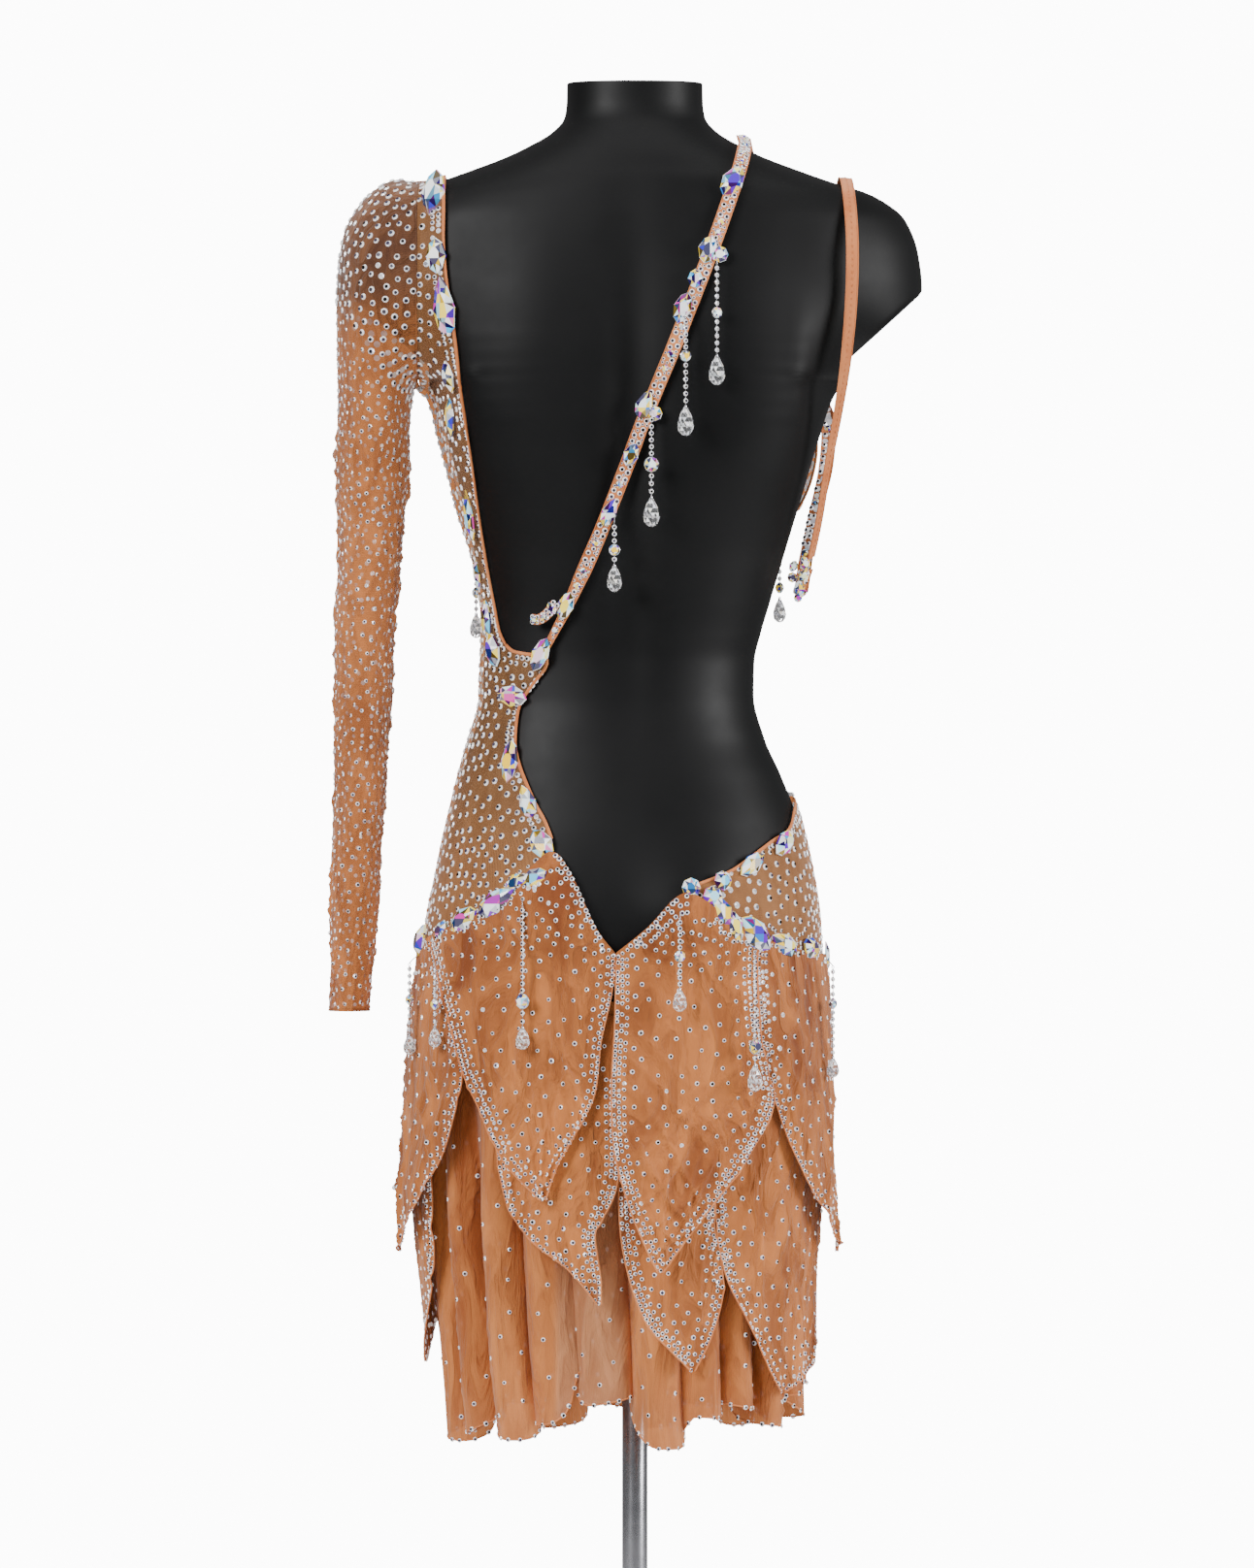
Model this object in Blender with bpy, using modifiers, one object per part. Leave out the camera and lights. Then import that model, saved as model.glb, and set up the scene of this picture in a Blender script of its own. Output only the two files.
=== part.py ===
"""A one-sleeved salsa dance dress on a limbless torso form.

Metres, +Z up. The wearer's front faces -Y and the wearer's left is +X. The origin is the middle of the
underside of the stand's base. Angles go round the body seen from above: 0 is the left side seam (+X),
90 the centre back, 180 the right side and 270 the centre front.
"""

import math
from collections import namedtuple

import bpy
import numpy as np
from mathutils import Vector

# ---- Driving sizes -------------------------------------------------------------------------------

CLOTH_WALL = 0.0012  # thickness of a cloth piece
PANEL_LIFT = 0.0030  # inner face of a panel above the form
SEAM_GAP = 0.0003  # between two pieces that are sewn together
SEAM_Z = 0.498  # height where the skirt leaves the form

FORM_SQUARENESS = 0.16  # fullness of the section between side and centre
FORM_COLUMNS = 44
ARM_CENTRE_Z = 1.012
ARM_RADIUS = 0.078
ARMPIT_FULLNESS = 0.7  # how much squarer the back gets just below the arms, and the front half as much
ARMPIT_WIDTH, STUMP_WIDTH = 0.1495, 0.2120  # half widths below the armpit and through the shoulders
STUMP_FOOT = (0.1530, 0.9442)  # x and z of the lower end of the slanted shoulder cut
STUMP_SLOPE = 1.113  # x gained for each unit of height along the cut
ARMHOLE_X = 0.160
YOKE_ROWS = ((0.900, 0.1500), (0.915, 0.1515), (0.931, 0.1580), (0.950, 0.1620), (1.200, 0.1620))

BASE_RADIUS = 0.145
BASE_HEIGHT = 0.012
POLE_RADIUS = 0.0095
FORM_BOTTOM = 0.387

STRAP_WIDTH = 0.0135
PLAIN_STRAP_WIDTH = 0.010
BINDING_WIDTH = 0.0025
BINDING_GAP = 0.0008
DROP_STEPS = 8

Section = namedtuple("Section", "height centre_x half_width front back")

FORM_ROWS = (
    Section(1.1545, 0.0000, 0.0505, 0.046, 0.056),
    Section(1.1400, 0.0000, 0.0508, 0.046, 0.057),
    Section(1.1290, 0.0000, 0.0525, 0.048, 0.060),
    Section(1.1180, 0.0000, 0.0620, 0.052, 0.067),
    Section(1.1080, 0.0000, 0.0790, 0.057, 0.074),
    Section(1.0998, 0.0000, 0.0960, 0.061, 0.079),
    Section(1.0911, 0.0000, 0.1190, 0.065, 0.083),
    Section(1.0825, 0.0000, 0.1430, 0.069, 0.087),
    Section(1.0710, 0.0000, 0.1780, 0.073, 0.090),
    Section(1.0530, 0.0000, 0.2015, 0.079, 0.094),
    Section(1.0278, 0.0000, 0.2112, 0.084, 0.098),
    Section(1.0033, 0.0000, 0.2140, 0.089, 0.100),
    Section(0.9774, 0.0000, 0.2140, 0.094, 0.102),
    Section(0.9442, 0.0000, 0.2100, 0.100, 0.103),
    Section(0.9270, 0.0000, 0.1515, 0.104, 0.102),
    Section(0.8924, 0.0010, 0.1390, 0.108, 0.099),
    Section(0.8600, 0.0018, 0.1300, 0.107, 0.095),
    Section(0.8262, 0.0032, 0.1213, 0.100, 0.089),
    Section(0.7988, 0.0040, 0.1138, 0.092, 0.083),
    Section(0.7686, 0.0058, 0.1066, 0.086, 0.077),
    Section(0.7448, 0.0088, 0.1026, 0.083, 0.073),
    Section(0.7239, 0.0115, 0.1006, 0.081, 0.071),
    Section(0.6980, 0.0122, 0.1008, 0.080, 0.072),
    Section(0.6678, 0.0122, 0.1085, 0.082, 0.077),
    Section(0.6390, 0.0100, 0.1190, 0.085, 0.085),
    Section(0.6051, 0.0078, 0.1295, 0.088, 0.096),
    Section(0.5670, 0.0076, 0.1378, 0.088, 0.106),
    Section(0.5310, 0.0086, 0.1440, 0.085, 0.110),
    Section(0.4980, 0.0100, 0.1462, 0.082, 0.108),
    Section(0.4590, 0.0100, 0.1430, 0.078, 0.101),
    Section(0.4200, 0.0095, 0.1370, 0.073, 0.093),
    Section(0.3960, 0.0090, 0.1320, 0.069, 0.087),
    Section(FORM_BOTTOM, 0.0090, 0.1240, 0.063, 0.080),
)

# The mean surface of the fluted underskirt, below the seam height.
SKIRT_ROWS = (
    Section(0.4590, 0.0102, 0.1470, 0.0860, 0.1090),
    Section(0.4200, 0.0106, 0.1462, 0.0890, 0.1080),
    Section(0.3600, 0.0118, 0.1430, 0.0900, 0.1060),
    Section(0.3200, 0.0122, 0.1410, 0.0900, 0.1050),
    Section(0.2500, 0.0100, 0.1350, 0.0890, 0.1030),
    Section(0.1300, 0.0040, 0.1300, 0.0880, 0.1010),
)

Swell = namedtuple("Swell", "side x height reach_x reach_z rise")

SWELLS = (
    Swell("front", 0.068, 0.868, 0.040, 0.036, 0.024),
    Swell("front", -0.066, 0.868, 0.040, 0.036, 0.024),
    Swell("back", 0.078, 0.985, 0.042, 0.050, 0.007),
    Swell("back", -0.078, 0.985, 0.042, 0.050, 0.007),
    Swell("back", 0.070, 0.540, 0.042, 0.044, 0.013),
    Swell("back", -0.052, 0.540, 0.042, 0.044, 0.013),
    Swell("back", 0.004, 0.860, 0.018, 0.140, -0.008),
)

# How far each layer stands off the mean surface, by height.
FRONT_LIFT = ((0.958, PANEL_LIFT), (0.926, 0.0072), (0.850, 0.0072), (0.800, PANEL_LIFT))
TOP_LIFT = ((0.600, 0.0056), (0.530, 0.0078), (0.505, 0.0062), (0.465, 0.0100), (0.420, 0.0130))
TOP_LIFT += ((0.360, 0.0170), (0.290, 0.0220))
LOWER_LIFT = ((0.465, 0.0054), (0.420, 0.0080), (0.320, 0.0105), (0.180, 0.0125))
FLUTE_LIFT = ((0.480, 0.0020), (0.400, 0.0010), (0.130, 0.0010))
FLUTE_DEPTH = ((0.480, 0.0003), (0.400, 0.0030), (0.300, 0.0055), (0.130, 0.0075))
FLUTES = 22
FLUTE_TOP = 0.472
COLUMNS_A_FLUTE = 4
DEGREES_A_COLUMN = 10.0

# ---- Tables and smooth columns ---------------------------------------------------------------------


class SmoothColumn:
    """A monotone cubic through the values of one table column."""

    def __init__(self, places, values):
        order = np.argsort(places)
        self.places = np.asarray(places, float)[order]
        self.values = np.asarray(values, float)[order]
        secants = np.diff(self.values) / np.diff(self.places)
        slopes = np.zeros(len(self.places))
        before, after = secants[:-1], secants[1:]
        same = before * after > 0
        slopes[1:-1][same] = 2 * before[same] * after[same] / (before[same] + after[same])
        slopes[0], slopes[-1] = secants[0], secants[-1]
        self.slopes = slopes

    def __call__(self, place):
        place = np.clip(place, self.places[0], self.places[-1])
        index = np.clip(np.searchsorted(self.places, place) - 1, 0, len(self.places) - 2)
        width = self.places[index + 1] - self.places[index]
        s = (place - self.places[index]) / width
        start = (1 + 2 * s) * (1 - s) ** 2 * self.values[index]
        end = s * s * (3 - 2 * s) * self.values[index + 1]
        bend = s * (1 - s) ** 2 * self.slopes[index] - s * s * (1 - s) * self.slopes[index + 1]
        return start + end + bend * width


def column_of(pairs):
    places, values = zip(*pairs)
    return SmoothColumn(places, values)


def smoothstep(low, high, value):
    s = np.clip((value - low) / (high - low), 0.0, 1.0)
    return s * s * (3 - 2 * s)


class Body:
    """The surface given by a table of sections: the form itself, or the mean surface of the cloth."""

    def __init__(self, rows):
        heights = [row.height for row in rows]
        self.centre_x = SmoothColumn(heights, [row.centre_x for row in rows])
        self.half_width = SmoothColumn(heights, [row.half_width for row in rows])
        self.front = SmoothColumn(heights, [row.front for row in rows])
        self.back = SmoothColumn(heights, [row.back for row in rows])
        self.yoke = column_of(YOKE_ROWS)

    def depth_at(self, x, z, side):
        """The surface's y at x and z, on the back (side +1) or the front (side -1)."""
        half_width = self.half_width(z)
        across = np.clip((x - self.centre_x(z)) / half_width, -1.0, 1.0)
        narrow = np.clip((STUMP_WIDTH - half_width) / (STUMP_WIDTH - ARMPIT_WIDTH), 0.0, 1.0) * (z < 0.96)
        fullness = np.where(side > 0, ARMPIT_FULLNESS, 0.5 * ARMPIT_FULLNESS)
        power = 2 + fullness * smoothstep(0.800, 0.920, z) * narrow
        rim = (1 - np.abs(across) ** power) ** (1 / power)
        depth = np.where(side > 0, self.back(z), self.front(z)) * rim * (1 + FORM_SQUARENESS * across**2)
        for swell in SWELLS:
            faces = np.where(side > 0, swell.side == "back", swell.side == "front")
            offset = ((x - swell.x) / swell.reach_x) ** 2 + ((z - swell.height) / swell.reach_z) ** 2
            depth = depth + faces * swell.rise * rim * np.exp(-offset)
        below = np.clip((ARM_CENTRE_Z - z) / ARM_RADIUS, 0.0, 1.0)
        arm = smoothstep(0.120, 0.165, np.abs(x)) * smoothstep(0.860, 0.930, z)
        return side * depth * (1 - arm * (1 - np.sqrt(1 - below**2)))

    def form_point(self, angle, z):
        """A point of the solid form, whose shoulder ends are cut on a slant."""
        x = self.centre_x(z) + self.half_width(z) * np.cos(angle)
        y = self.depth_at(x, z, np.where(np.sin(angle) >= 0, 1.0, -1.0))
        foot_x, foot_z = STUMP_FOOT
        limit = np.maximum(foot_x, foot_x + (z - foot_z) * STUMP_SLOPE)
        return np.stack([np.clip(x, -limit, limit), y, z], axis=-1)

    def cloth_x(self, angle, z):
        return self.centre_x(z) + np.minimum(self.half_width(z), self.yoke(z)) * np.cos(angle)

    def cloth_base(self, angle, z):
        x = self.cloth_x(angle, z)
        side = np.where(np.sin(angle) >= 0, 1.0, -1.0)
        return np.stack([x, self.depth_at(x, z, side), z], axis=-1)

    def cloth_normal(self, angle, z):
        turn, climb = 0.01, 0.002
        round_it = self.cloth_base(angle + turn, z) - self.cloth_base(angle - turn, z)
        up_it = self.cloth_base(angle, z + climb) - self.cloth_base(angle, z - climb)
        normal = np.cross(round_it, up_it)
        return normal / np.linalg.norm(normal, axis=-1, keepdims=True)

    def cloth_point(self, angle, z, lift):
        """A point of the cloth surface, moved out along its normal."""
        lift = np.broadcast_to(lift, np.shape(z))[..., None]
        return self.cloth_base(angle, z) + self.cloth_normal(angle, z) * lift

    def angle_at(self, x, z, side):
        """The angle of the cloth point at x and z on the back (+1) or the front (-1)."""
        across = (x - self.centre_x(z)) / np.minimum(self.half_width(z), self.yoke(z))
        angle = math.acos(float(np.clip(across, -1.0, 1.0)))
        return angle if side > 0 else 2 * math.pi - angle


FORM = Body(FORM_ROWS)
CLOTH = Body(tuple(row for row in FORM_ROWS if row.height >= SEAM_Z) + SKIRT_ROWS)

# ---- Making meshes ---------------------------------------------------------------------------------

COLLECTION = "salsa_dance_dress"


def clear_scene():
    for obj in list(bpy.data.objects):
        bpy.data.objects.remove(obj, do_unlink=True)


def make_material(name, colour, roughness, metallic=0.0, transmission=0.0):
    material = bpy.data.materials.new(name)
    material.use_nodes = True
    shader = material.node_tree.nodes["Principled BSDF"]
    shader.inputs["Base Color"].default_value = (*colour, 1.0)
    shader.inputs["Roughness"].default_value = roughness
    shader.inputs["Metallic"].default_value = metallic
    shader.inputs["Transmission Weight"].default_value = transmission
    material.diffuse_color = (*colour, 1.0)
    return material


FINISHES = {
    "mesh_fabric": ((0.42, 0.22, 0.11), 0.75),
    "skirt_fabric": ((0.58, 0.27, 0.12), 0.70),
    "binding_fabric": ((0.50, 0.20, 0.08), 0.65),
    "crystal": ((0.85, 0.90, 1.00), 0.05, 0.0, 0.9),
    "form_gloss": ((0.012, 0.012, 0.013), 0.28),
    "stand_steel": ((0.55, 0.55, 0.57), 0.30, 1.0),
}


def add_object(name, mesh, finish):
    obj = bpy.data.objects.new(name, mesh)
    bpy.data.collections[COLLECTION].objects.link(obj)
    obj.data.materials.append(make_material(name + "_finish", *FINISHES[finish]))
    return obj


def smooth_shade(obj, sharp_degrees=50):
    obj.data.shade_smooth()
    obj.data.set_sharp_from_angle(angle=math.radians(sharp_degrees))


def grid_faces(rows, columns, closed=False):
    """The quads of a grid of points, stored row by row."""
    faces = []
    for row in range(rows - 1):
        for column in range(columns if closed else columns - 1):
            right = (column + 1) % columns
            low, high = row * columns, (row + 1) * columns
            faces.append((low + column, low + right, high + right, high + column))
    return faces


def add_wall(name, points, finish, closed=False, outward=None, wall=CLOTH_WALL):
    """A cloth wall on a grid of inner points, thickened outwards by Solidify."""
    rows, columns = points.shape[:2]
    mesh = bpy.data.meshes.new(name)
    mesh.from_pydata(points.reshape(-1, 3).tolist(), [], grid_faces(rows, columns, closed))
    mesh.update()
    facing = sum(poly.normal.dot(Vector(outward(poly.center))) for poly in mesh.polygons)
    if facing < 0:
        mesh.flip_normals()
    obj = add_object(name, mesh, finish)
    solidify = obj.modifiers.new("wall", "SOLIDIFY")
    solidify.thickness = wall
    solidify.offset = 1.0
    solidify.use_even_offset = True
    smooth_shade(obj)
    return obj


def from_axis(centre):
    """Outward direction from the body's vertical axis."""
    return (centre.x - 0.008, centre.y - 0.005, 0.15 if centre.z > 1.06 else 0.0)


def loft_solid(name, rings, finish):
    """A closed solid through a stack of rings, with flat ends."""
    rows, columns = rings.shape[:2]
    faces = grid_faces(rows, columns, closed=True)
    faces.append(tuple(reversed(range(columns))))
    faces.append(tuple((rows - 1) * columns + column for column in range(columns)))
    mesh = bpy.data.meshes.new(name)
    mesh.from_pydata(rings.reshape(-1, 3).tolist(), [], faces)
    mesh.update()
    obj = add_object(name, mesh, finish)
    smooth_shade(obj, 40)
    return obj


def add_turned(name, profile, finish, steps=DROP_STEPS, place=(0, 0, 0)):
    """A turned solid: a profile of (radius, z) from top to bottom, closed on its axis."""
    mesh = bpy.data.meshes.new(name)
    points = [(radius, 0.0, z) for radius, z in profile]
    edges = [(index, index + 1) for index in range(len(points) - 1)]
    mesh.from_pydata(points, edges, [])
    obj = add_object(name, mesh, finish)
    obj.location = place
    screw = obj.modifiers.new("turn", "SCREW")
    screw.steps = screw.render_steps = steps
    screw.use_merge_vertices = True
    screw.merge_threshold = 0.0001
    screw.use_normal_calculate = False
    screw.use_smooth_shade = True
    return obj


# ---- Outlines and patches --------------------------------------------------------------------------


def back(x, z):
    """An outline point on the back, as its angle and height."""
    return (CLOTH.angle_at(x, z, 1), z)


def front(x, z):
    """An outline point on the front, as its angle and height."""
    return (CLOTH.angle_at(x, z, -1), z)


def turn(degrees, z):
    """An outline point at an angle round the body."""
    return (math.radians(degrees), z)


def along(points, count):
    """Count places spread evenly by index along an outline."""
    points = np.array(points, float)
    places = np.linspace(0, len(points) - 1, count)
    low = np.minimum(places.astype(int), len(points) - 2)
    share = (places - low)[:, None]
    return points[low] * (1 - share) + points[low + 1] * share


def patch(top, bottom, left, right, columns, rows):
    """A grid of (angle, height) that fills four edges. Left and right run downwards from the top."""
    u = np.linspace(0, 1, columns)[None, :, None]
    v = np.linspace(0, 1, rows)[:, None, None]
    top_edge, bottom_edge = along(top, columns)[None], along(bottom, columns)[None]
    left_edge, right_edge = along(left, rows)[:, None], along(right, rows)[:, None]
    rails = (1 - v) * top_edge + v * bottom_edge + (1 - u) * left_edge + u * right_edge
    upper = (1 - u) * top_edge[:, :1] + u * top_edge[:, -1:]
    lower = (1 - u) * bottom_edge[:, :1] + u * bottom_edge[:, -1:]
    return rails - (1 - v) * upper - v * lower


def add_panel(name, edges, lift, finish, columns=None):
    """One cut piece of cloth on the body's cloth surface: one row of points for each left edge point."""
    top, _, left, _ = edges
    grid = patch(*edges, columns or len(top), len(left))
    angle, z = grid[..., 0], grid[..., 1]
    points = CLOTH.cloth_point(angle, z, lift(z) if callable(lift) else lift)
    return add_wall(name, points, finish, outward=from_axis)


# ---- The stand and the form ------------------------------------------------------------------------


def build_stand():
    edge = 0.003
    base = [(0.0, BASE_HEIGHT), (BASE_RADIUS - edge, BASE_HEIGHT), (BASE_RADIUS, BASE_HEIGHT - edge)]
    base += [(BASE_RADIUS, 0.0), (0.0, 0.0)]
    add_turned("stand_base", base, "stand_steel", steps=32)
    top, bottom = FORM_BOTTOM - SEAM_GAP, BASE_HEIGHT + SEAM_GAP
    pole = [(0.0, top), (POLE_RADIUS, top), (POLE_RADIUS, bottom), (0.0, bottom)]
    add_turned("stand_pole", pole, "stand_steel", steps=16)


def build_form():
    heights = np.array([row.height for row in reversed(FORM_ROWS)])
    angles = np.linspace(0, 2 * math.pi, FORM_COLUMNS, endpoint=False)
    grid_angle, grid_z = np.meshgrid(angles, heights)
    loft_solid("form_torso", FORM.form_point(grid_angle, grid_z), "form_gloss")


# ---- Bodice, sleeve and hip panels -----------------------------------------------------------------

SIDE = math.radians(0.12)  # half the gap at a side seam, as an angle

# A row of a panel from its outer edge (armhole, then side seam) to its free edge.
Row = namedtuple("Row", "outer_z free_x free_z")
ARMHOLE_ROWS = 10  # the first rows of both bodice panels end at the armhole

BACK_LEFT_ROWS = (
    Row(1.0778, 0.1405, 1.0822), Row(1.0735, 0.1405, 1.0775), Row(1.0660, 0.1405, 1.0690),
    Row(1.0530, 0.1405, 1.0550), Row(1.0330, 0.1405, 1.0340), Row(1.0080, 0.1385, 1.0080),
    Row(0.9820, 0.1345, 0.9820), Row(0.9580, 0.1305, 0.9570), Row(0.9410, 0.1285, 0.9400),
    Row(0.9310, 0.1270, 0.9280), Row(0.9080, 0.1238, 0.9050), Row(0.8750, 0.1190, 0.8720),
    Row(0.8400, 0.1140, 0.8350), Row(0.8050, 0.1085, 0.8000), Row(0.7750, 0.1025, 0.7680),
    Row(0.7550, 0.0980, 0.7450), Row(0.7430, 0.0905, 0.7330), Row(0.7360, 0.0820, 0.7300),
    Row(0.7290, 0.0725, 0.7285), Row(0.7220, 0.0645, 0.7255), Row(0.7110, 0.0660, 0.7180),
    Row(0.6980, 0.0749, 0.7060), Row(0.6830, 0.0842, 0.6900), Row(0.6650, 0.0871, 0.6650),
    Row(0.6480, 0.0850, 0.6490), Row(0.6280, 0.0790, 0.6320), Row(0.6050, 0.0725, 0.6170),
    Row(0.5750, 0.0665, 0.6060), Row(0.5400, 0.0625, 0.5960), Row(0.5070, 0.0600, 0.5880),
)
NOTCH_ROWS = slice(4, 18)  # the opening edge beside the upper back
WAIST_ROWS = slice(21, 30)  # the opening edge below the strap
RIGHT_HIP_EDGE = ((-0.0690, 0.5675), (-0.0850, 0.5785), (-0.1000, 0.5900), (-0.1116, 0.5980))
LEFT_HIP = ((0.12, 0.5070), (9.6, 0.5140), (19, 0.5210), (28.5, 0.5290), (38, 0.5350), (48, 0.5450))
LEFT_HIP += ((57.5, 0.5640),)

# The front's free edge runs along the neckline, round the right cup and round the cut-out waist.
FRONT_ROWS = (
    Row(1.0778, 0.1405, 1.0822), Row(1.0735, 0.1400, 1.0770), Row(1.0660, 0.1380, 1.0680),
    Row(1.0530, 0.1340, 1.0540), Row(1.0330, 0.1270, 1.0360), Row(1.0080, 0.1150, 1.0140),
    Row(0.9820, 0.0980, 0.9920), Row(0.9580, 0.0740, 0.9740), Row(0.9410, 0.0420, 0.9630),
    Row(0.9310, 0.0050, 0.9580), Row(0.9080, -0.0400, 0.9590), Row(0.8800, -0.0820, 0.9620),
    Row(0.8550, -0.1120, 0.9420), Row(0.8350, -0.1270, 0.9100), Row(0.8150, -0.1290, 0.8780),
    Row(0.7950, -0.1180, 0.8450), Row(0.7750, -0.0930, 0.8130), Row(0.7550, -0.0640, 0.7820),
    Row(0.7350, -0.0420, 0.7490), Row(0.7130, -0.0335, 0.7150), Row(0.6900, -0.0370, 0.6860),
    Row(0.6680, -0.0540, 0.6620), Row(0.6450, -0.0780, 0.6430), Row(0.6280, -0.0960, 0.6325),
    Row(0.6150, -0.1060, 0.6285), Row(0.6030, -0.1120, 0.6252), Row(0.5900, -0.1500, 0.6210),
    Row(0.5650, -0.1500, 0.5850), Row(0.5380, -0.1500, 0.5450), Row(0.5070, -0.1500, 0.5070),
)
FRONT_HIP = ((180.12, 0.5070), (202.5, 0.4980), (225, 0.4900), (247.5, 0.4840), (270, 0.4820))
FRONT_HIP += ((292.5, 0.4840), (315, 0.4900), (337.5, 0.4980), (359.88, 0.5070))


def outer_edge(rows, point, side_angle):
    """The armhole and the side seam of a bodice panel."""
    armhole = [point(ARMHOLE_X, row.outer_z) for row in rows[:ARMHOLE_ROWS]]
    return armhole + [(side_angle, row.outer_z) for row in rows[ARMHOLE_ROWS:]]


def build_back_left():
    left = outer_edge(BACK_LEFT_ROWS, back, SIDE)
    right = [back(row.free_x, row.free_z) for row in BACK_LEFT_ROWS]
    bottom = [turn(*place) for place in LEFT_HIP] + [right[-1]]
    edges = ([left[0], right[0]], bottom, left, right)
    add_panel("back_left_panel", edges, PANEL_LIFT, "mesh_fabric", columns=len(bottom))


def build_right_hip():
    """The mesh triangle between the open back, the right side seam and the hip seam."""
    left = [back(-0.0410, 0.5560), back(-0.0440, 0.5500), back(-0.0455, 0.5530)]
    right = [turn(179.88, 0.6210), turn(179.88, 0.5650), turn(179.88, 0.5075)]
    top = [left[0]] + [back(x, z) for x, z in RIGHT_HIP_EDGE] + [back(-0.1160, 0.6120), right[0]]
    bottom = [left[-1], back(-0.0626, 0.5390), back(-0.0857, 0.5235), back(-0.1070, 0.5150), right[-1]]
    edges = (top, bottom, left, right)
    columns = 2 * len(top) - 1
    add_panel("right_hip_panel", edges, PANEL_LIFT, "mesh_fabric", columns)


def build_front_bodice():
    left = outer_edge(FRONT_ROWS, front, 2 * math.pi - SIDE)
    right = [front(row.free_x, row.free_z) for row in FRONT_ROWS]
    right = [(max(angle, math.pi + SIDE), z) for angle, z in right]
    bottom = [turn(*place) for place in reversed(FRONT_HIP)]
    edges = ([left[0], right[0]], bottom, left, right)
    columns = 2 * len(bottom) - 1
    add_panel("front_bodice", edges, column_of(FRONT_LIFT), "mesh_fabric", columns)


Cut = namedtuple("Cut", "inner_x inner_z outer_x outer_z half_depth")

# Sections of the sleeve: they fan round the armpit, then step down the arm to the cuff.
SLEEVE_ROWS = (
    Cut(0.1650, 0.9262, 0.1790, 1.0830, 0.0740),
    Cut(0.1655, 0.9230, 0.1960, 1.0740, 0.0730),
    Cut(0.1662, 0.9200, 0.2090, 1.0590, 0.0715),
    Cut(0.1668, 0.9165, 0.2180, 1.0380, 0.0690),
    Cut(0.1674, 0.9120, 0.2220, 1.0026, 0.0655),
    Cut(0.1680, 0.9030, 0.2220, 0.9620, 0.0610),
    Cut(0.1690, 0.8860, 0.2211, 0.9120, 0.0575),
    Cut(0.1706, 0.8550, 0.2211, 0.8680, 0.0540),
    Cut(0.1750, 0.8118, 0.2211, 0.8118, 0.0505),
    Cut(0.1807, 0.7540, 0.2225, 0.7540, 0.0480),
    Cut(0.1836, 0.6973, 0.2225, 0.6973, 0.0460),
    Cut(0.1858, 0.6397, 0.2232, 0.6397, 0.0440),
    Cut(0.1902, 0.5670, 0.2246, 0.5670, 0.0410),
    Cut(0.1944, 0.5140, 0.2261, 0.5140, 0.0385),
    Cut(0.1980, 0.4640, 0.2268, 0.4640, 0.0360),
)
ARMHOLE_GAP = 0.0026


def armhole_ring():
    """The sleeve's first ring: the armhole edges of both bodice panels, from the shoulder seam round."""
    heights = [row.outer_z for row in BACK_LEFT_ROWS[:ARMHOLE_ROWS]]
    rear = [back(ARMHOLE_X, z) for z in heights]
    ahead = [front(ARMHOLE_X, z) for z in reversed(heights)]
    places = np.array(rear + ahead)
    return CLOTH.cloth_point(places[:, 0], places[:, 1], PANEL_LIFT) + np.array([ARMHOLE_GAP, 0, 0])


def build_sleeve():
    first = armhole_ring()
    middle_z = (first[:, 2].max() + first[:, 2].min()) / 2
    reach_z = (first[:, 2].max() - first[:, 2].min()) / 2
    angles = np.arctan2(first[:, 1] / SLEEVE_ROWS[0].half_depth, (first[:, 2] - middle_z) / reach_z)
    rings = [first]
    for cut in SLEEVE_ROWS:
        middle = np.array([(cut.inner_x + cut.outer_x) / 2, 0.0, (cut.inner_z + cut.outer_z) / 2])
        reach = np.array([(cut.outer_x - cut.inner_x) / 2, 0.0, (cut.outer_z - cut.inner_z) / 2])
        ring = middle + np.cos(angles)[:, None] * reach
        side = np.sign(np.sin(angles))
        stump = np.abs(FORM.depth_at(ring[:, 0], ring[:, 2], side)) + 1.4 * PANEL_LIFT
        stump *= (ring[:, 2] > STUMP_FOOT[1]) & (ring[:, 0] < FORM.half_width(ring[:, 2]))
        ring[:, 1] = side * np.maximum(np.abs(np.sin(angles)) * cut.half_depth, stump)
        rings.append(ring)
    centres = [ring.mean(axis=0) for ring in rings]

    def outward(centre):
        nearest = min(centres, key=lambda at: abs(at[2] - centre.z) + abs(at[0] - centre.x))
        return (centre.x - nearest[0], centre.y - nearest[1], centre.z - nearest[2])

    add_wall("left_sleeve", np.array(rings), "mesh_fabric", closed=True, outward=outward)


# ---- Straps, tab and bindings ----------------------------------------------------------------------


def smooth_route(points, count):
    """A Catmull-Rom curve through a route's own points, spread evenly along its length."""
    points = np.array(points, float)
    padded = np.vstack([2 * points[0] - points[1], points, 2 * points[-1] - points[-2]])
    s = np.linspace(0, 1, 12, endpoint=False)[:, None]
    fine = []
    for a, b, c, d in zip(padded, padded[1:], padded[2:], padded[3:]):
        square, cube = 2 * a - 5 * b + 4 * c - d, 3 * b - a - 3 * c + d
        fine.append((2 * b + (c - a) * s + square * s**2 + cube * s**3) / 2)
    fine = np.vstack(fine + [points[-1:]])
    lengths = np.concatenate([[0], np.cumsum(np.linalg.norm(np.diff(fine, axis=0), axis=1))])
    places = np.linspace(0, lengths[-1], count)
    return np.stack([np.interp(places, lengths, fine[:, axis]) for axis in range(3)], axis=-1)


def ribbon(route, facing, width):
    """A three-point-wide strip along a route. Facing gives each point's outward direction."""
    tangents = np.gradient(route, axis=0)
    across = np.cross(tangents, facing)
    across /= np.linalg.norm(across, axis=1, keepdims=True)
    return np.stack([route - across * width / 2, route, route + across * width / 2], axis=1)


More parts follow.
